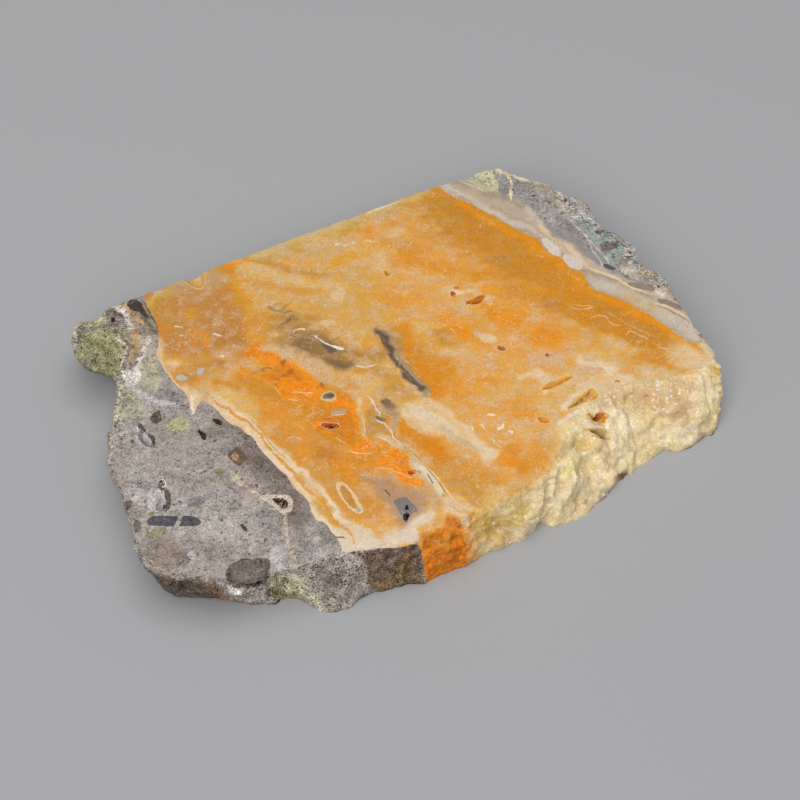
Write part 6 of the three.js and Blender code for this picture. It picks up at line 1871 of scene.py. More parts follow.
@dataclass
class Canvas:
    """Lays the markings on the skin's vertices: soft paint under two grounds, then layers of crisp shapes.

    Sways are the cell size and height of each noise that shifts marks: those of all soft marks, those added
    for washes, and that of crisp shapes. Grain, which breaks up the washes, starts at grain_floor and adds
    clouds, each with its cell size and weight. No other shape of a layer lies within clear of a crisp shape,
    whose measures reach as far as reach. Veins thin out to the share tip, sooner with a smaller taper.
    """

    surface: Surface
    soft_sways: tuple[Band, ...] = ((7.0, 1.5), (2.6, 0.7), (1.2, 0.35))
    wash_sways: tuple[Band, ...] = ((3.6, 1.6), (1.7, 0.9))
    wash_shift: float = 60.0
    crisp_sways: tuple[Band, ...] = ((3.1, 0.25),)
    grain_seeds: Sequence[int] = range(7, 67, 12)
    grain_floor: float = 0.45
    grain_clouds: tuple[Band, ...] = ((2.8, 0.7), (1.3, 0.55))
    field_layers: int = 3
    vein_layers: int = 3
    clear: float = 1.3
    reach: float = 3.0
    lining: float = 0.42
    wall: float = 0.25
    taper: float = 3.0
    tip: float = 0.35
    crust_blend: float = 2.0
    lobe_band: Band = (-73.0, -77.0)
    marks: Array = field(init=False)
    swayed: Array = field(init=False)
    ragged: Array = field(init=False)
    traced: Array = field(init=False)
    grains: list[Array] = field(init=False)

    def __post_init__(self) -> None:
        """Works out the marks of the vertices, copies of them swayed by noise, and the grains of washes."""
        self.marks = sight(self.surface.vertices)
        flat = np.column_stack([self.marks, np.zeros(len(self.marks))])
        self.swayed = self.sway(self.marks, flat, self.soft_sways)
        self.ragged = self.sway(self.swayed, flat + self.wash_shift, self.wash_sways)
        self.traced = self.sway(self.marks, flat, self.crisp_sways)
        self.grains = [self.grain(flat, seed) for seed in self.grain_seeds]

    @staticmethod
    def sway(marks: Array, flat: Array, sways: Sequence[Band]) -> Array:
        """Shifts marks by noise.

        Args:
            marks: Points, two numbers each.
            flat: The place of each in the noise, three numbers.
            sways: Cell size and height of each noise.

        Returns:
            The shifted points.
        """
        for size, height in sways:
            shifts = [smooth_noise(flat / size + seed) * 2.0 - 1.0 for seed in (3.0, 41.0)]
            marks = marks + np.column_stack(shifts) * height
        return marks

    def grain(self, flat: Array, seed: int) -> Array:
        """The share that a wash keeps at each place: a floor and two sizes of cloud on it."""
        clouds = (weight * smooth_noise(flat / size + seed) for size, weight in self.grain_clouds)
        return sum(clouds, self.grain_floor)

    def ground(self, base: Hue, marks: Sequence[Wash | Stroke | Patch]) -> Array:
        """Paints one ground: every mark in turn moves the tone towards its pigment by its cover.

        Args:
            base: The pigment that all of it starts from.
            marks: The marks, the first at the bottom.

        Returns:
            The tone of each vertex, as sRGB.
        """
        tone = np.tile(base.tone, (len(self.marks), 1))
        for index, mark in enumerate(marks):
            if isinstance(mark, Wash):
                share = np.minimum(mark.cover(self.ragged) * self.grains[index % len(self.grains)], 1.0)
            else:
                share = mark.cover(self.swayed)
            tone += (mark.pigment.tone - tone) * share[:, None]
        return tone

    def inlays(self) -> list[CrispLayer]:
        """Places every inlay, and every pit's lining and floor, in the first layer that is free round it.

        Returns:
            The layers. Their measure is the depth inside a shape, less than nought outside.
        """
        layers = [CrispLayer.blank(len(self.marks), [-self.reach]) for _ in range(self.field_layers)]
        linings = [Inlay(pit.lining, pit.outline, 1, self.lining) for pit in PITS if pit.lining]
        floors = [Inlay(pit.floor, pit.outline, 1, self.wall) for pit in PITS]
        for inlay in (*INLAYS, *linings, *floors):
            loop = rounded(inlay.points, closed=True, rounds=inlay.rounds)
            depth = depth_inside(self.traced, loop, self.reach) + inlay.growth
            zone = depth > -self.clear
            layer = self.free_layer(layers, zone)
            layer.tone[zone] = inlay.pigment.tone
            layer.measure[:, 0] = np.maximum(layer.measure[:, 0], depth)
            layer.taken |= zone
        return layers

    def veins(self) -> list[CrispLayer]:
        """Places every vein in the first layer that is free round it.

        Returns:
            The layers. Their measures are the distance from a vein's path, signed by its side, the plain
            distance and the half width. The signed one crosses zero on the path, so a vein thinner than the
            mesh's cells still shows whole.
        """
        blank = [self.reach, self.reach, 0.0]
        layers = [CrispLayer.blank(len(self.marks), blank) for _ in range(self.vein_layers)]
        for vein in VEINS:
            path = rounded(vein.points, closed=vein.closed, rounds=vein.rounds)
            near = close_to(self.traced, path, self.reach)
            found = trace(self.traced[near], path)
            half = vein.width / 2.0
            kept = found.gap < half + self.clear
            swell = np.clip(np.sin(np.pi * found.share) * self.taper, self.tip, 1.0)
            thin = np.where(vein.closed, 1.0, swell)
            side = np.where(found.past & (not vein.closed), 1.0, found.side)
            measure = np.stack([side * found.gap, found.gap, half * thin], axis=1)
            layer = self.free_layer(layers, near[kept])
            layer.tone[near[kept]] = vein.pigment.tone
            layer.measure[near[kept]] = measure[kept]
            layer.taken[near[kept]] = True
        return layers

    @staticmethod
    def free_layer(layers: Sequence[CrispLayer], zone: Array) -> CrispLayer:
        """Finds the layer for a shape.

        Args:
            layers: The layers to choose from.
            zone: The shape's vertices, as a mask or as numbers.

        Returns:
            The first layer in which no other shape has taken any of them, or else the last one.
        """
        for layer in layers:
            if not layer.taken[zone].any():
                return layer
        LOG.info("no free layer round a shape, so it shares the last one")
        return layers[-1]

    def zones(self) -> Array:
        """Sets out where the crust and the broken side lie.

        Returns:
            The weight of the sugary crust, the weight of the side, and the fine relief, for each vertex.
        """
        depth = depth_inside(self.swayed, rounded(CRUST, closed=True), 2.0 * self.crust_blend)
        crust = ramp(-self.crust_blend, self.crust_blend, depth)
        return np.stack([crust, self.surface.side, self.surface.relief], axis=1)

    def coarse(self) -> Array:
        """Sets out where the grey rock is coarse.

        Returns:
            A weight for each vertex: full on the side and the lobe, less on the bevel, and below nought on
            the smooth band along the right contact.
        """
        side = self.surface.side
        lobe = ramp(*self.lobe_band, self.marks[:, 0])
        coarse = np.max([side, lobe, BEVEL.cover(self.swayed)], axis=0)
        return coarse - SMOOTH_BAND.cover(self.swayed) * (1.0 - side)

    def speckle(self) -> Array:
        """Weight of fine dark specks: strong on the pale strip beside the vivid stone, and less on that."""
        return np.maximum(SPECKLED_STRIP.cover(self.swayed), SPECKLED_VIVID.cover(self.swayed))

    def rock_depth(self) -> Array:
        """Distance into either grey rock, in millimetres: positive inside, negative outside."""
        spans = [rounded(loop, closed=True, rounds=1) for loop in (RIGHT_ROCK, LEFT_ROCK)]
        return np.max([depth_inside(self.traced, loop, self.reach) for loop in spans], axis=0)


@dataclass(frozen=True)
class Cloud:
    """A noise: its waves in one unit of length, detail and roughness, and the shift that sets it apart."""

    scale: float
    detail: float = 3.0
    rough: float = 0.55
    shift: Place | None = None


@dataclass(frozen=True)
class Dots:
    """Scattered dots: cells in a millimetre, the bands of a dot's fading and of its chance, and the shift."""

    scale: float
    fade: Band
    chance: Band
    shift: Place | None = None


@dataclass(frozen=True)
class Term:
    """A value that varies over the surface. Sums and products of terms add Math nodes."""

    kit: "NodeKit"
    socket: bpy.types.NodeSocket

    def __add__(self, other: "Term | float") -> "Term":
        """This plus the other."""
        return self.kit.math("ADD", self, other)

    def __radd__(self, other: float) -> "Term":
        """The other plus this."""
        return self.kit.math("ADD", other, self)

    def __sub__(self, other: "Term | float") -> "Term":
        """This minus the other."""
        return self.kit.math("SUBTRACT", self, other)

    def __rsub__(self, other: float) -> "Term":
        """The other minus this."""
        return self.kit.math("SUBTRACT", other, self)

    def __mul__(self, other: "Term | float") -> "Term":
        """This times the other."""
        return self.kit.math("MULTIPLY", self, other)

    def __rmul__(self, other: float) -> "Term":
        """The other times this."""
        return self.kit.math("MULTIPLY", other, self)

    def __abs__(self) -> "Term":
        """This without its sign."""
        return self.kit.math("ABSOLUTE", self)


Link = Term | float | tuple


class NodeKit:
    """A material's node tree, with the few ways in which this script adds nodes to it."""

    def __init__(self, name: str) -> None:
        """Starts a material with an empty tree."""
        self.material = bpy.data.materials.new(name)
        self.material.use_nodes = True
        self.tree = self.material.node_tree
        self.tree.nodes.clear()

    def node(self, kind: str, settings: dict | None = None, sockets: dict | None = None) -> bpy.types.Node:
        """Adds a node.

        Args:
            kind: The node's type.
            settings: Its properties, set first.
            sockets: Values or terms for its inputs, by name or number.

        Returns:
            The node.
        """
        made = self.tree.nodes.new(kind)
        for key, value in (settings or {}).items():
            setattr(made, key, value)
        for key, value in (sockets or {}).items():
            if isinstance(value, Term):
                self.tree.links.new(value.socket, made.inputs[key])
            else:
                made.inputs[key].default_value = value
        return made

    def term(self, node: bpy.types.Node, output: str | int = 0) -> Term:
        """One output of a node."""
        return Term(self, node.outputs[output])

    def math(self, operation: str, *values: Link) -> Term:
        """A Math node on values or terms."""
        return self.term(self.node("ShaderNodeMath", {"operation": operation}, dict(enumerate(values))))

    def eased(self, value: Term, low: float, high: float) -> Term:
        """0 below low and 1 above high, eased between them."""
        sockets = {"Value": value, "From Min": low, "From Max": high}
        return self.term(self.node("ShaderNodeMapRange", {"interpolation_type": "SMOOTHSTEP"}, sockets))

    def mix(self, share: Link, start: Link, end: Link, blend: str = "MIX") -> Term:
        """Colour between start and end."""
        settings = {"data_type": "RGBA", "blend_type": blend}
        return self.term(self.node("ShaderNodeMix", settings, {0: share, 6: start, 7: end}), 2)

    def scaled(self, vector: Term, share: Link) -> Term:
        """A colour or vector times a number."""
        sockets = {0: vector, "Scale": share}
        return self.term(self.node("ShaderNodeVectorMath", {"operation": "SCALE"}, sockets))

    def added(self, vector: Term, other: Link) -> Term:
        """The sum of two vectors."""
        return self.term(self.node("ShaderNodeVectorMath", {"operation": "ADD"}, {0: vector, 1: other}))

    def attribute(self, name: str, output: str) -> Term:
        """An output of one of the mesh's attributes."""
        return self.term(self.node("ShaderNodeAttribute", {"attribute_name": name}), output)

    def split(self, vector: Term) -> tuple[Term, Term, Term]:
        """The three numbers of a vector."""
        node = self.node("ShaderNodeSeparateXYZ", sockets={0: vector})
        return self.term(node, 0), self.term(node, 1), self.term(node, 2)

    def noise(self, place: Term, cloud: Cloud, output: int = 0) -> Term:
        """Adds a noise.

        Args:
            place: Where on the surface, before the noise's own shift.
            cloud: The noise.
            output: 0 for one number between 0 and 1, and 1 for three of them.

        Returns:
            The noise's value.
        """
        spot = self.added(place, cloud.shift) if cloud.shift else place
        sockets = {"Vector": spot, "Scale": cloud.scale, "Detail": cloud.detail, "Roughness": cloud.rough}
        return self.term(self.node("ShaderNodeTexNoise", sockets=sockets), output)

    def cells(self, place: Term, scale: float) -> tuple[Term, Term]:
        """Cells of random size: the distance from each cell's seed, and a random number for each cell."""
        node = self.node("ShaderNodeTexVoronoi", sockets={"Vector": place, "Scale": scale})
        return self.term(node, "Distance"), self.split(self.term(node, "Color"))[0]

    def dots(self, place: Term, dots: Dots) -> Term:
        """Mask of dots: full at the seeds of the cells that chance picks, and eased to none round them."""
        gap, luck = self.cells(self.added(place, dots.shift) if dots.shift else place, dots.scale)
        return (1.0 - self.eased(gap, *dots.fade)) * self.eased(luck, *dots.chance)

    def turned(self, place: Term, turn: float, scale: Place) -> Term:
        """A place turned about the vertical by some degrees and then stretched."""
        sockets = {"Vector": place, "Rotation": (0.0, 0.0, math.radians(turn)), "Scale": scale}
        return self.term(self.node("ShaderNodeMapping", {"vector_type": "POINT"}, sockets))

    def finish(self, sockets: dict) -> bpy.types.Material:
        """Adds the surface shader and the output, and gives back the material."""
        shader = self.node("ShaderNodeBsdfPrincipled", sockets=sockets)
        self.node("ShaderNodeOutputMaterial", sockets={"Surface": self.term(shader)})
        return self.material


@dataclass(frozen=True)
class Markings:
    """The painted grounds, and the inlays and veins over them, with slightly uneven crisp edges.

    One noise makes all edges uneven, and every kind of mark takes its own share of it. Another makes veins
    swell and thin along their run. A vein ends at the band vein_end past its half width.
    """

    edge: float = 0.12
    uneven: Cloud = Cloud(0.7, 5.0, 0.65)
    uneven_height: float = 1.5
    rock_share: float = 0.5
    inlay_share: float = 0.6
    vein_share: float = 0.4
    swell: Cloud = Cloud(0.5, 3.0, 0.6)
    swell_lift: float = 0.3
    swell_band: Band = (0.4, 1.1)
    swell_gain: float = 1.6
    vein_end: Band = (0.5, 0.8)
    vein_strength: float = 0.88

    def shade(self, kit: NodeKit, place: Term) -> tuple[Term, Term]:
        """Lays the grounds, inlays and veins over each other.

        Args:
            kit: The material's nodes.
            place: The place on the slab, in millimetres.

        Returns:
            The tone, and the mask of the grey rocks.
        """
        uneven = (kit.noise(place, self.uneven) - 0.5) * self.uneven_height
        into_rock = kit.attribute("rock_depth", "Fac") + uneven * self.rock_share
        rock = kit.eased(into_rock, -self.edge, self.edge)
        tone = kit.mix(rock, kit.attribute("field_tone", "Color"), kit.attribute("rock_tone", "Color"))
        for layer in range(Canvas.field_layers):
            depth = kit.attribute(f"inlay_{layer}_depth", "Fac")
            mask = kit.eased(depth + uneven * self.inlay_share, -self.edge, self.edge)
            tone = kit.mix(mask, tone, kit.attribute(f"inlay_{layer}_tone", "Color"))
        for layer in range(Canvas.vein_layers):
            offset, gap, half = kit.split(kit.attribute(f"vein_{layer}_run", "Vector"))
            swell = kit.eased(kit.noise(place, self.swell) + self.swell_lift, *self.swell_band)
            half = half * swell * self.swell_gain
            across = abs(offset + uneven * self.vein_share) - half
            mask = 1.0 - kit.eased(across, -self.edge, self.edge)
            mask = mask * (1.0 - kit.eased(gap - half, *self.vein_end))
            tone = kit.mix(mask * self.vein_strength, tone, kit.attribute(f"vein_{layer}_tone", "Color"))
        return tone, rock


@dataclass(frozen=True)
class BandedStone:
    """The orange stone: ragged clouds of rich and milky stone, with faint streaks, curls and specks.

    A tone is strong where its blue lies far below its red, warm where it is both strong and light enough, and
    hot where its green lies far below its red. Rich and milky clouds and flecks need a warm tone, milk shows
    less where it is strong, and burnt clouds need a hot one. Contrasts are the shares of each noise in the
    light.
    """

    bottom: float = 0.02
    warm_band: Band = (0.58, 0.76)
    light_band: Band = (0.2, 0.45)
    strong_band: Band = (0.78, 0.94)
    strong_loss: float = 0.85
    hot_band: Band = (0.33, 0.37)
    ragged: Cloud = Cloud(0.28, 9.0, 0.63)
    ragged_height: float = 1.5
    rich: Tint = (1.015, 0.925, 0.58, 1.0)
    rich_band: Band = (-0.08, 0.1)
    milky: Tint = (0.71, 0.47, 0.27, 1.0)
    milky_band: Band = (-0.02, 0.2)
    milky_share: float = 0.5
    burnt: Tint = (0.88, 0.76, 0.7, 1.0)
    burn: Cloud = Cloud(0.75, 6.0, 0.7, (0.0, 33.0, 8.0))
    burn_band: Band = (0.47, 0.6)
    fine: Cloud = Cloud(1.7, 4.0, 0.68)
    fine_contrast: float = 0.8
    milky_contrast: float = 0.5
    streak: Cloud = Cloud(1.0, 5.0, 0.62)
    streak_turn: float = 12.0
    streak_scale: Place = (0.12, 0.5, 0.4)
    streak_contrast: float = 0.34
    ragged_contrast: float = 0.24
    dust: Cloud = Cloud(3.2, 2.0, 0.7, (3.0, 3.0, 60.0))
    dust_contrast: float = 0.25
    broken: Cloud = Cloud(0.7, 6.0, 0.75)
    broken_contrast: float = 2.0
    ivory: Tint = (0.88, 0.74, 0.55, 1.0)
    curl: Cloud = Cloud(0.24, 3.5, 0.55, (5.0, 70.0, 0.0))
    curl_width: Band = (0.002, 0.016)
    curl_zone: Cloud = Cloud(0.07, 1.0, shift=(90.0, 0.0, 0.0))
    curl_zone_band: Band = (0.48, 0.56)
    curl_breaks: Band = (0.4, 0.56)
    curl_share: float = 0.4
    umber: Tint = (0.2, 0.1, 0.05, 1.0)
    specks: Dots = Dots(1.25, (0.1, 0.38), (0.5, 0.64))
    speck_shift: Place = (4.0, 4.0, 4.0)
    speck_stretch: float = 0.01
    speck_share: float = 0.6
    flecks: Dots = Dots(0.9, (0.1, 0.3), (0.88, 0.93))
    fleck_share: float = 0.34

    def shade(self, kit: NodeKit, place: Term, tone: Term, side: Term) -> Term:
        """Adds the clouds and the grain to the tone.

        Args:
            kit: The material's nodes.
            place: The place on the slab, in millimetres.
            tone: The tone of the markings.
            side: The mask of the broken side.

        Returns:
            The colour.
        """
        speckle = kit.attribute("speckle", "Fac")
        red, green, blue = kit.split(tone)
        strength = kit.math("DIVIDE", red - blue, red + self.bottom)
        warm = kit.eased(strength, *self.warm_band) * kit.eased(red, *self.light_band)
        ragged = kit.noise(place, self.ragged)
        cloud = (ragged - 0.5) * self.ragged_height
        rich = kit.eased(cloud, *self.rich_band) * warm
        less = kit.eased(cloud * -1.0, *self.milky_band) * warm
        milk = less * (1.0 - kit.eased(strength, *self.strong_band) * self.strong_loss)
        shade = kit.mix(rich, tone, self.rich, "MULTIPLY")
        shade = kit.mix(milk * self.milky_share, shade, self.milky)
        hot = 1.0 - kit.eased(kit.math("DIVIDE", green, red + self.bottom), *self.hot_band)
        burn = kit.eased(kit.noise(place, self.burn), *self.burn_band)
        shade = kit.mix(burn * hot, shade, self.burnt, "MULTIPLY")
        fine = kit.noise(place, self.fine)
        streak = kit.noise(kit.turned(place, self.streak_turn, self.streak_scale), self.streak)
        dust = kit.noise(place, self.dust)
        light = 1.0 + (fine - 0.5) * (self.fine_contrast + milk * self.milky_contrast)
        light = light + (streak - 0.5) * self.streak_contrast + (ragged - 0.5) * self.ragged_contrast
        light = light + (dust - 0.5) * self.dust_contrast
        light = light + side * (kit.noise(place, self.broken) - 0.5) * self.broken_contrast
        shade = kit.scaled(shade, light)
        curl = abs(kit.noise(place, self.curl) - 0.5)
        where = kit.eased(kit.noise(place, self.curl_zone), *self.curl_zone_band)
        curls = (1.0 - kit.eased(curl, *self.curl_width)) * where * kit.eased(fine, *self.curl_breaks)
        shade = kit.mix(curls * self.curl_share, shade, self.ivory)
        stretched = kit.added(place, kit.scaled(kit.added(place, self.speck_shift), self.speck_stretch))
        specks = kit.dots(stretched, self.specks) * speckle
        shade = kit.mix(specks * self.speck_share, shade, self.umber)
        flecks = kit.dots(place, self.flecks) * warm
        return kit.mix(flecks * self.fleck_share, shade, self.ivory)


@dataclass(frozen=True)
class GreyRock:
    """The grey rock: broken grains of all sizes in paler and darker tones, with specks and small open pores.

    The smooth band has no large grains, specks or pores, and the grain is stronger where the rock is coarse.
    The pores are small open holes, darkened by pore_shade as painted shade inside them.
    """

    sway: Cloud = Cloud(0.6, 5.0, 0.5)
    grain_sway: float = 4.2
    pore_sway: float = 1.8
    large_scale: float = 0.2
    large_contrast: float = 0.24
    small_scale: float = 0.62
    small_contrast: float = 0.4
    cloud: Cloud = Cloud(0.34, 9.0, 0.76)
    cloud_contrast: float = 1.1
    fine: Cloud = Cloud(2.1, 3.0, 0.8)
    fine_contrast: float = 4.2
    smooth_band: Band = (-0.7, 0.0)
    brightness: float = 1.04
    grain_share: float = 0.85
    coarse_share: float = 0.75
    frost: Tint = (1.0, 1.02, 1.08, 1.0)
    sand: Tint = (1.02, 1.0, 0.96, 1.0)
    sand_band: Band = (0.42, 0.6)
    pores: Dots = Dots(0.62, (0.1, 0.36), (0.66, 0.76))
    pore_shade: float = 0.62
    pale: Tint = (0.62, 0.57, 0.5, 1.0)
    specks: Dots = Dots(0.9, (0.1, 0.4), (0.74, 0.84), (9.0, 4.0, 3.0))
    speck_share: float = 0.42

    def shade(self, kit: NodeKit, place: Term, tone: Term, coarse: Term) -> tuple[Term, Term]:
        """Adds the grains, specks and pores to the tone.

        Args:
            kit: The material's nodes.
            place: The place on the slab, in millimetres.
            tone: The tone of the markings.
            coarse: The weight of coarse grain, below nought on the smooth band.

        Returns:
            The colour, and the mask of the pores.
        """
        sway = kit.noise(place, self.sway, 1)
        swayed = kit.added(place, kit.scaled(sway, self.grain_sway))
        _, large = kit.cells(swayed, self.large_scale)
        _, small = kit.cells(swayed, self.small_scale)
        cloud = kit.noise(place, self.cloud)
        fine = kit.noise(place, self.fine)
        grain = (small - 0.5) * self.small_contrast + (cloud - 0.5) * self.cloud_contrast
        grain = grain + (fine - 0.5) * self.fine_contrast
        plain = kit.eased(coarse, *self.smooth_band)
        light = self.brightness + (large - 0.5) * plain * self.large_contrast
        light = light + grain * (self.grain_share + coarse * self.coarse_share)
        warm = kit.mix(1.0, tone, self.frost, "MULTIPLY")
        warm = kit.mix(kit.eased(cloud, *self.sand_band), warm, self.sand, "MULTIPLY")
        shade = kit.scaled(warm, light)
        pores = kit.dots(kit.added(place, kit.scaled(sway, self.pore_sway)), self.pores) * plain
        specks = kit.dots(swayed, self.specks)
        shade = kit.mix(specks * plain * self.speck_share, shade, self.pale)
        # painted shade: each pore is darkened as a small hole
        return kit.scaled(shade, 1.0 - pores * self.pore_shade), pores


@dataclass(frozen=True)
class SugaryCrust:
    """The sugary crust: small crystals, chalky and honey-coloured by turns."""

    sugar_scale: float = 1.25
    sugar_contrast: float = 0.2
    lump_scale: float = 0.42
    lump_contrast: float = 0.06
    cloud: Cloud = Cloud(0.24, 8.0, 0.68)
    cloud_share: float = 0.4
    fine: Cloud = Cloud(1.8, 4.0, 0.7)
    fine_contrast: float = 1.1
    chalk: Tint = (0.82, 0.71, 0.54, 1.0)
    chalk_band: Band = (0.5, 0.66)
    honey: Tint = (0.68, 0.47, 0.17, 1.0)
    honey_band: Band = (-0.47, -0.33)
    salt: Tint = (0.88, 0.84, 0.74, 1.0)
    crystals: Dots = Dots(0.8, (0.2, 0.5), (0.62, 0.7), (2.0, 8.0, 4.0))
    crystal_share: float = 0.6

    def shade(self, kit: NodeKit, place: Term, tone: Term) -> Term:
        """Adds the chalk, honey and crystals to the tone.

        Args:
            kit: The material's nodes.
            place: The place on the slab, in millimetres.
            tone: The tone of the markings.

        Returns:
            The colour.
        """
        _, sugar = kit.cells(place, self.sugar_scale)
        _, lump = kit.cells(place, self.lump_scale)
        cloud = kit.noise(place, self.cloud)
        fine = kit.noise(place, self.fine)
        shade = kit.mix(kit.eased(cloud, *self.chalk_band) * self.cloud_share, tone, self.chalk)
        shade = kit.mix(kit.eased(cloud * -1.0, *self.honey_band) * self.cloud_share, shade, self.honey)
        crystals = kit.dots(place, self.crystals)
        shade = kit.mix(crystals * self.crystal_share, shade, self.salt)
        light = 1.0 + (sugar - 0.5) * self.sugar_contrast + (lump - 0.5) * self.lump_contrast
        return kit.scaled(shade, light + (fine - 0.5) * self.fine_contrast)


@dataclass(frozen=True)
class StoneFinish:
    """The stone's finish: satin where polished, granular where broken, with grain of its own in each zone.

    Hollows of the broken side get painted shade, darker by hollow_shade and less on the crust. Grit is the
    height of the broken side's grain: a fine and a rough noise and small grains, which the crust softens by
    crust_calm.
    """

    markings: Markings = Markings()
    banded: BandedStone = BandedStone()
    grey: GreyRock = GreyRock()
    sugary: SugaryCrust = SugaryCrust()
    polished_roughness: float = 0.42
    rock_roughness: float = 0.55
    broken_roughness: float = 0.86
    uneven_roughness: float = 0.1
    sheen: float = 0.25
    hollow_depth: float = 0.9
    hollow_shade: float = 0.3
    crust_fill: float = 0.7
    fine: Cloud = Cloud(1.7, 3.0, 0.6)
    fine_grit: float = 0.5
    rough: Cloud = Cloud(0.8, 4.0, 0.6)
    rough_grit: float = 0.7
    grain_scale: float = 1.1
    grain_grit: float = 0.35
    crust_calm: float = 0.45
    pore_depth: float = 0.35
    rock_grain: float = 0.06
    bump: float = 0.6
    bump_depth: float = 0.0006

    def material(self) -> bpy.types.Material:
        """Builds the node material.

        Returns:
            The material.
        """
        kit = NodeKit("jasper")
        local = kit.term(kit.node("ShaderNodeTexCoord"), "Object")
        place = kit.scaled(local, 1.0 / MM)
        tone, rock = self.markings.shade(kit, place)
        crust, side, relief = kit.split(kit.attribute("zones", "Vector"))
        grey, pores = self.grey.shade(kit, place, tone, kit.attribute("coarse", "Fac"))
        banded = self.banded.shade(kit, place, tone, side)
        shade = kit.mix(crust, banded, self.sugary.shade(kit, place, tone))
        shade = kit.mix(rock, shade, grey)
        # painted shade: the low places of the broken side's relief are darkened, less on the crust
        hollow = kit.eased(relief * -1.0, 0.0, self.hollow_depth) * side * (1.0 - crust * self.crust_fill)
        shade = kit.scaled(shade, 1.0 - hollow * self.hollow_shade)

        fine = kit.noise(place, self.fine)
        satin = self.polished_roughness + rock * (self.rock_roughness - self.polished_roughness)
        rough = satin * (1.0 - side) + side * self.broken_roughness + (fine - 0.5) * self.uneven_roughness
        grains, _ = kit.cells(place, self.grain_scale)
        calm = side * (1.0 - crust * self.crust_calm)
        grit = fine * self.fine_grit + kit.noise(place, self.rough) * self.rough_grit
        grit = grit + grains * self.grain_grit
        height = calm * grit - pores * rock * self.pore_depth + (fine * rock) * self.rock_grain
        bumps = {"Strength": self.bump, "Distance": self.bump_depth, "Height": height}
        normal = kit.term(kit.node("ShaderNodeBump", sockets=bumps))
        look = {"Base Color": shade, "Roughness": rough, "Normal": normal, "Specular IOR Level": self.sheen}
        return kit.finish(look)


@dataclass
class JasperSlab:
    """The slab as one piece: its skin, its markings and its finish."""

    form: SlabForm
    finish: StoneFinish = StoneFinish()
    name: str = "jasper_slab"
    sharp_angle: float = 48.0
    least_paint: float = 0.004
    most_paint: float = 0.9

    def build(self) -> bpy.types.Object:
        """Makes the mesh, lays the markings on it as attributes, and dresses it.

        Returns:
            The slab's object.
        """
        surface = self.form.build()
        mesh = bpy.data.meshes.new(self.name)
        places = (surface.vertices - np.array([*MIDDLE, 0.0])) * MM
        mesh.vertices.add(len(places))
        mesh.vertices.foreach_set("co", places.ravel())
        mesh.loops.add(surface.triangles.size)
        mesh.loops.foreach_set("vertex_index", surface.triangles.ravel())
        mesh.polygons.add(len(surface.triangles))
        mesh.polygons.foreach_set("loop_start", np.arange(0, surface.triangles.size, 3))
        mesh.update(calc_edges=True)
        mesh.validate()
        mesh.shade_smooth()
        mesh.set_sharp_from_angle(angle=math.radians(self.sharp_angle))
        self.paint(mesh, surface)
        mesh.materials.append(self.finish.material())
        slab = bpy.data.objects.new(self.name, mesh)
        bpy.context.scene.collection.objects.link(slab)
        LOG.info("%s: %d triangles", self.name, len(surface.triangles))
        return slab

    def paint(self, mesh: bpy.types.Mesh, surface: Surface) -> None:
        """Stores the painted grounds, the crisp layers and the zones as attributes of the mesh.

        The pigments are what the eye sees in the studio. The paint is their linear light without the glare,
        and it is lighter on the side, which gets less light than the polished face.

        Args:
            mesh: The slab's mesh.
            surface: The skin that it was made from.
        """
        canvas = Canvas(surface)
        zones = canvas.zones()
        side = surface.side[:, None]
        gain = 1.0 - side * (Studio.side_loss + Studio.crust_loss * zones[:, :1])
        glare = Studio.glare + side * (Studio.side_glare - Studio.glare)

        def laid(tones: Array) -> Array:
            """The paint that shows as the given tones."""
            return np.clip((to_linear(tones) - glare) / gain, self.least_paint, self.most_paint)

        self.store(mesh, "field_tone", laid(canvas.ground(Hue.PEACH, FIELD)))
        self.store(mesh, "rock_tone", laid(canvas.ground(Hue.ROCK, ROCK)))
        self.store(mesh, "rock_depth", canvas.rock_depth())
        self.store(mesh, "zones", zones)
        self.store(mesh, "coarse", canvas.coarse())
        self.store(mesh, "speckle", canvas.speckle())
        for index, layer in enumerate(canvas.inlays()):
            self.store(mesh, f"inlay_{index}_tone", laid(layer.tone))
            self.store(mesh, f"inlay_{index}_depth", layer.measure[:, 0])
        for index, layer in enumerate(canvas.veins()):
            self.store(mesh, f"vein_{index}_tone", laid(layer.tone))
            self.store(mesh, f"vein_{index}_run", layer.measure)

    @staticmethod
    def store(mesh: bpy.types.Mesh, name: str, values: Array) -> None:
        """Stores one attribute, with a value for every vertex.

        Args:
            mesh: The mesh that gets it.
            name: Its name. Those that end in tone are colours.
            values: Three numbers for each vertex for a colour or a vector, or else one.
        """
        if name.endswith("_tone"):
            made = mesh.attributes.new(name, "FLOAT_COLOR", "POINT")
            made.data.foreach_set("color", np.column_stack([values, np.ones(len(values))]).ravel())
        elif values.ndim == 2:
            made = mesh.attributes.new(name, "FLOAT_VECTOR", "POINT")
            made.data.foreach_set("vector", values.ravel())
        else:
            made = mesh.attributes.new(name, "FLOAT", "POINT")
            made.data.foreach_set("value", values)


@dataclass(frozen=True)
class Lamp:
    """A soft square light, turned to the slab: its power, the length of its side, and its place in metres."""

    name: str
    power: float
    size: float
    place: Place


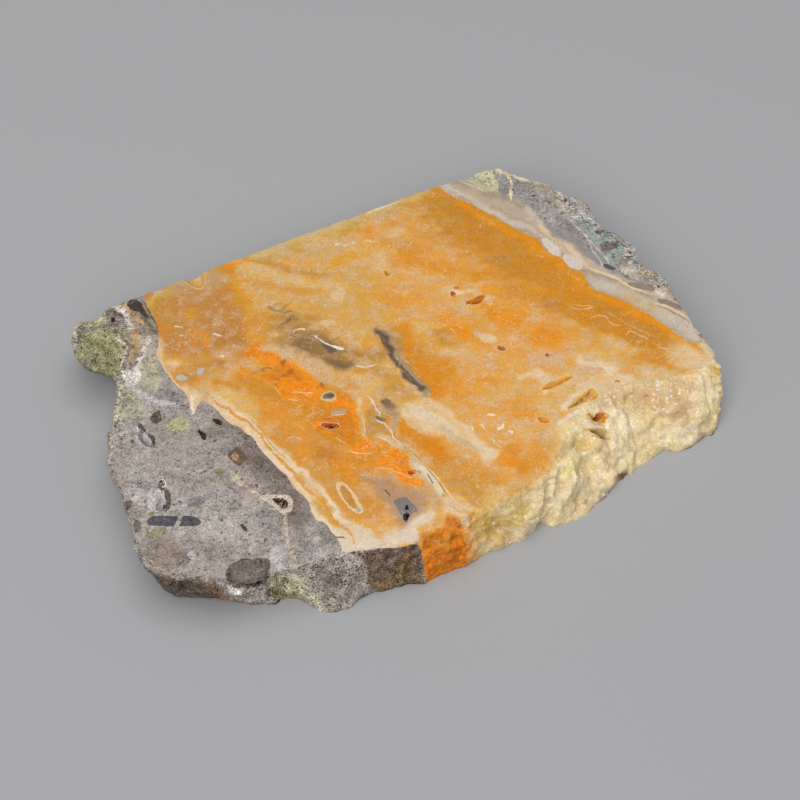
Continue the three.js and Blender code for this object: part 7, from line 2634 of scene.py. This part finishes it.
@dataclass(frozen=True)
class Studio:
    """The setting: a plain pale floor, soft lamps and the camera.

    The camera's distance and aim are in millimetres, and the floor's half length is in metres. The glares are
    the light that the studio adds to each face's own colour, and the losses are what the side gets less.
    """

    elevation: float = 50.0
    distance: float = 560.0
    aim: tuple[float, float] = (2.5, -16.5)
    lens: float = 90.0
    sensor: float = 36.0
    floor_half: float = 3.0
    floor_dark: Tint = (0.372, 0.374, 0.387, 1.0)
    floor_light: Tint = (0.402, 0.403, 0.412, 1.0)
    floor_cloud: Cloud = Cloud(3.0, 2.0)
    floor_cloud_share: float = 0.3
    floor_fade: Band = (-0.16, 0.14)
    floor_slant: float = 0.2
    floor_roughness: float = 0.9
    sky: float = 0.31
    lamps: tuple[Lamp, ...] = (
        Lamp("key", 7.0, 1.2, (0.05, 0.1, 1.25)),
        Lamp("fill", 12.4, 1.2, (-0.35, -1.0, 1.0)),
    )
    glare: float = 0.0185
    side_glare: float = 0.008
    side_loss: float = 0.08
    crust_loss: float = 0.05

    def camera(self) -> None:
        """Adds the camera, which looks down at the middle of the view from the front."""
        lean = math.radians(self.elevation)
        data = bpy.data.cameras.new("camera")
        data.lens = self.lens
        data.sensor_width = self.sensor
        camera = bpy.data.objects.new("camera", data)
        aim = np.array([self.aim[0] - MIDDLE[0], self.aim[1] - MIDDLE[1], THICKNESS])
        back = np.array([0.0, -math.cos(lean), math.sin(lean)])
        camera.location = (aim + back * self.distance) * MM
        camera.rotation_euler = (math.pi / 2.0 - lean, 0.0, 0.0)
        bpy.context.scene.collection.objects.link(camera)
        bpy.context.scene.camera = camera

    def lights(self) -> None:
        """Adds the soft lamps, one overhead and one in front, and an even sky."""
        for lamp in self.lamps:
            data = bpy.data.lights.new(lamp.name, "AREA")
            data.energy = lamp.power
            data.size = lamp.size
            light = bpy.data.objects.new(lamp.name, data)
            light.location = lamp.place
            light.rotation_euler = self.facing(lamp.place)
            bpy.context.scene.collection.objects.link(light)
        world = bpy.data.worlds.new("studio")
        world.use_nodes = True
        sky = world.node_tree.nodes["Background"]
        sky.inputs["Color"].default_value = (1.0, 1.0, 1.0, 1.0)
        sky.inputs["Strength"].default_value = self.sky
        bpy.context.scene.world = world
        bpy.context.scene.view_settings.view_transform = "Standard"

    @staticmethod
    def facing(place: Place) -> Place:
        """The turn that points a light at the origin from its place."""
        x, y, z = place
        return (math.atan2(math.hypot(x, y), z), 0.0, math.atan2(x, -y))

    def floor(self) -> bpy.types.Object:
        """Adds the floor under the slab. It is lighter towards the back, and faintly cloudy.

        Returns:
            The floor's object.
        """
        half = self.floor_half
        mesh = bpy.data.meshes.new("floor")
        corners = [(-half, -half, 0), (half, -half, 0), (half, half, 0), (-half, half, 0)]
        mesh.from_pydata(corners, [], [(0, 1, 2, 3)])
        kit = NodeKit("floor_paper")
        place = kit.term(kit.node("ShaderNodeTexCoord"), "Object")
        x, y, _ = kit.split(place)
        cloud = kit.noise(place, self.floor_cloud) * self.floor_cloud_share
        fade = kit.eased(y + x * self.floor_slant, *self.floor_fade) * (1.0 - self.floor_cloud_share)
        tone = kit.mix(cloud + fade, self.floor_dark, self.floor_light)
        mesh.materials.append(kit.finish({"Base Color": tone, "Roughness": self.floor_roughness}))
        floor = bpy.data.objects.new("floor", mesh)
        bpy.context.scene.collection.objects.link(floor)
        return floor


def main() -> None:
    """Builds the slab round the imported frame, then its setting."""
    logging.basicConfig(level=logging.INFO, format="%(name)s: %(message)s")
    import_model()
    frame_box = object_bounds()
    low, high = (np.array(corner) / MM for corner in frame_box)
    slab = JasperSlab(SlabForm(low=low, high=high)).build()
    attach(slab, "root")
    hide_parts("jasper_slice")
    studio = Studio()
    studio.camera()
    studio.lights()
    studio.floor()
    LOG.info("slab and studio are in place")


if __name__ == "__main__":
    main()
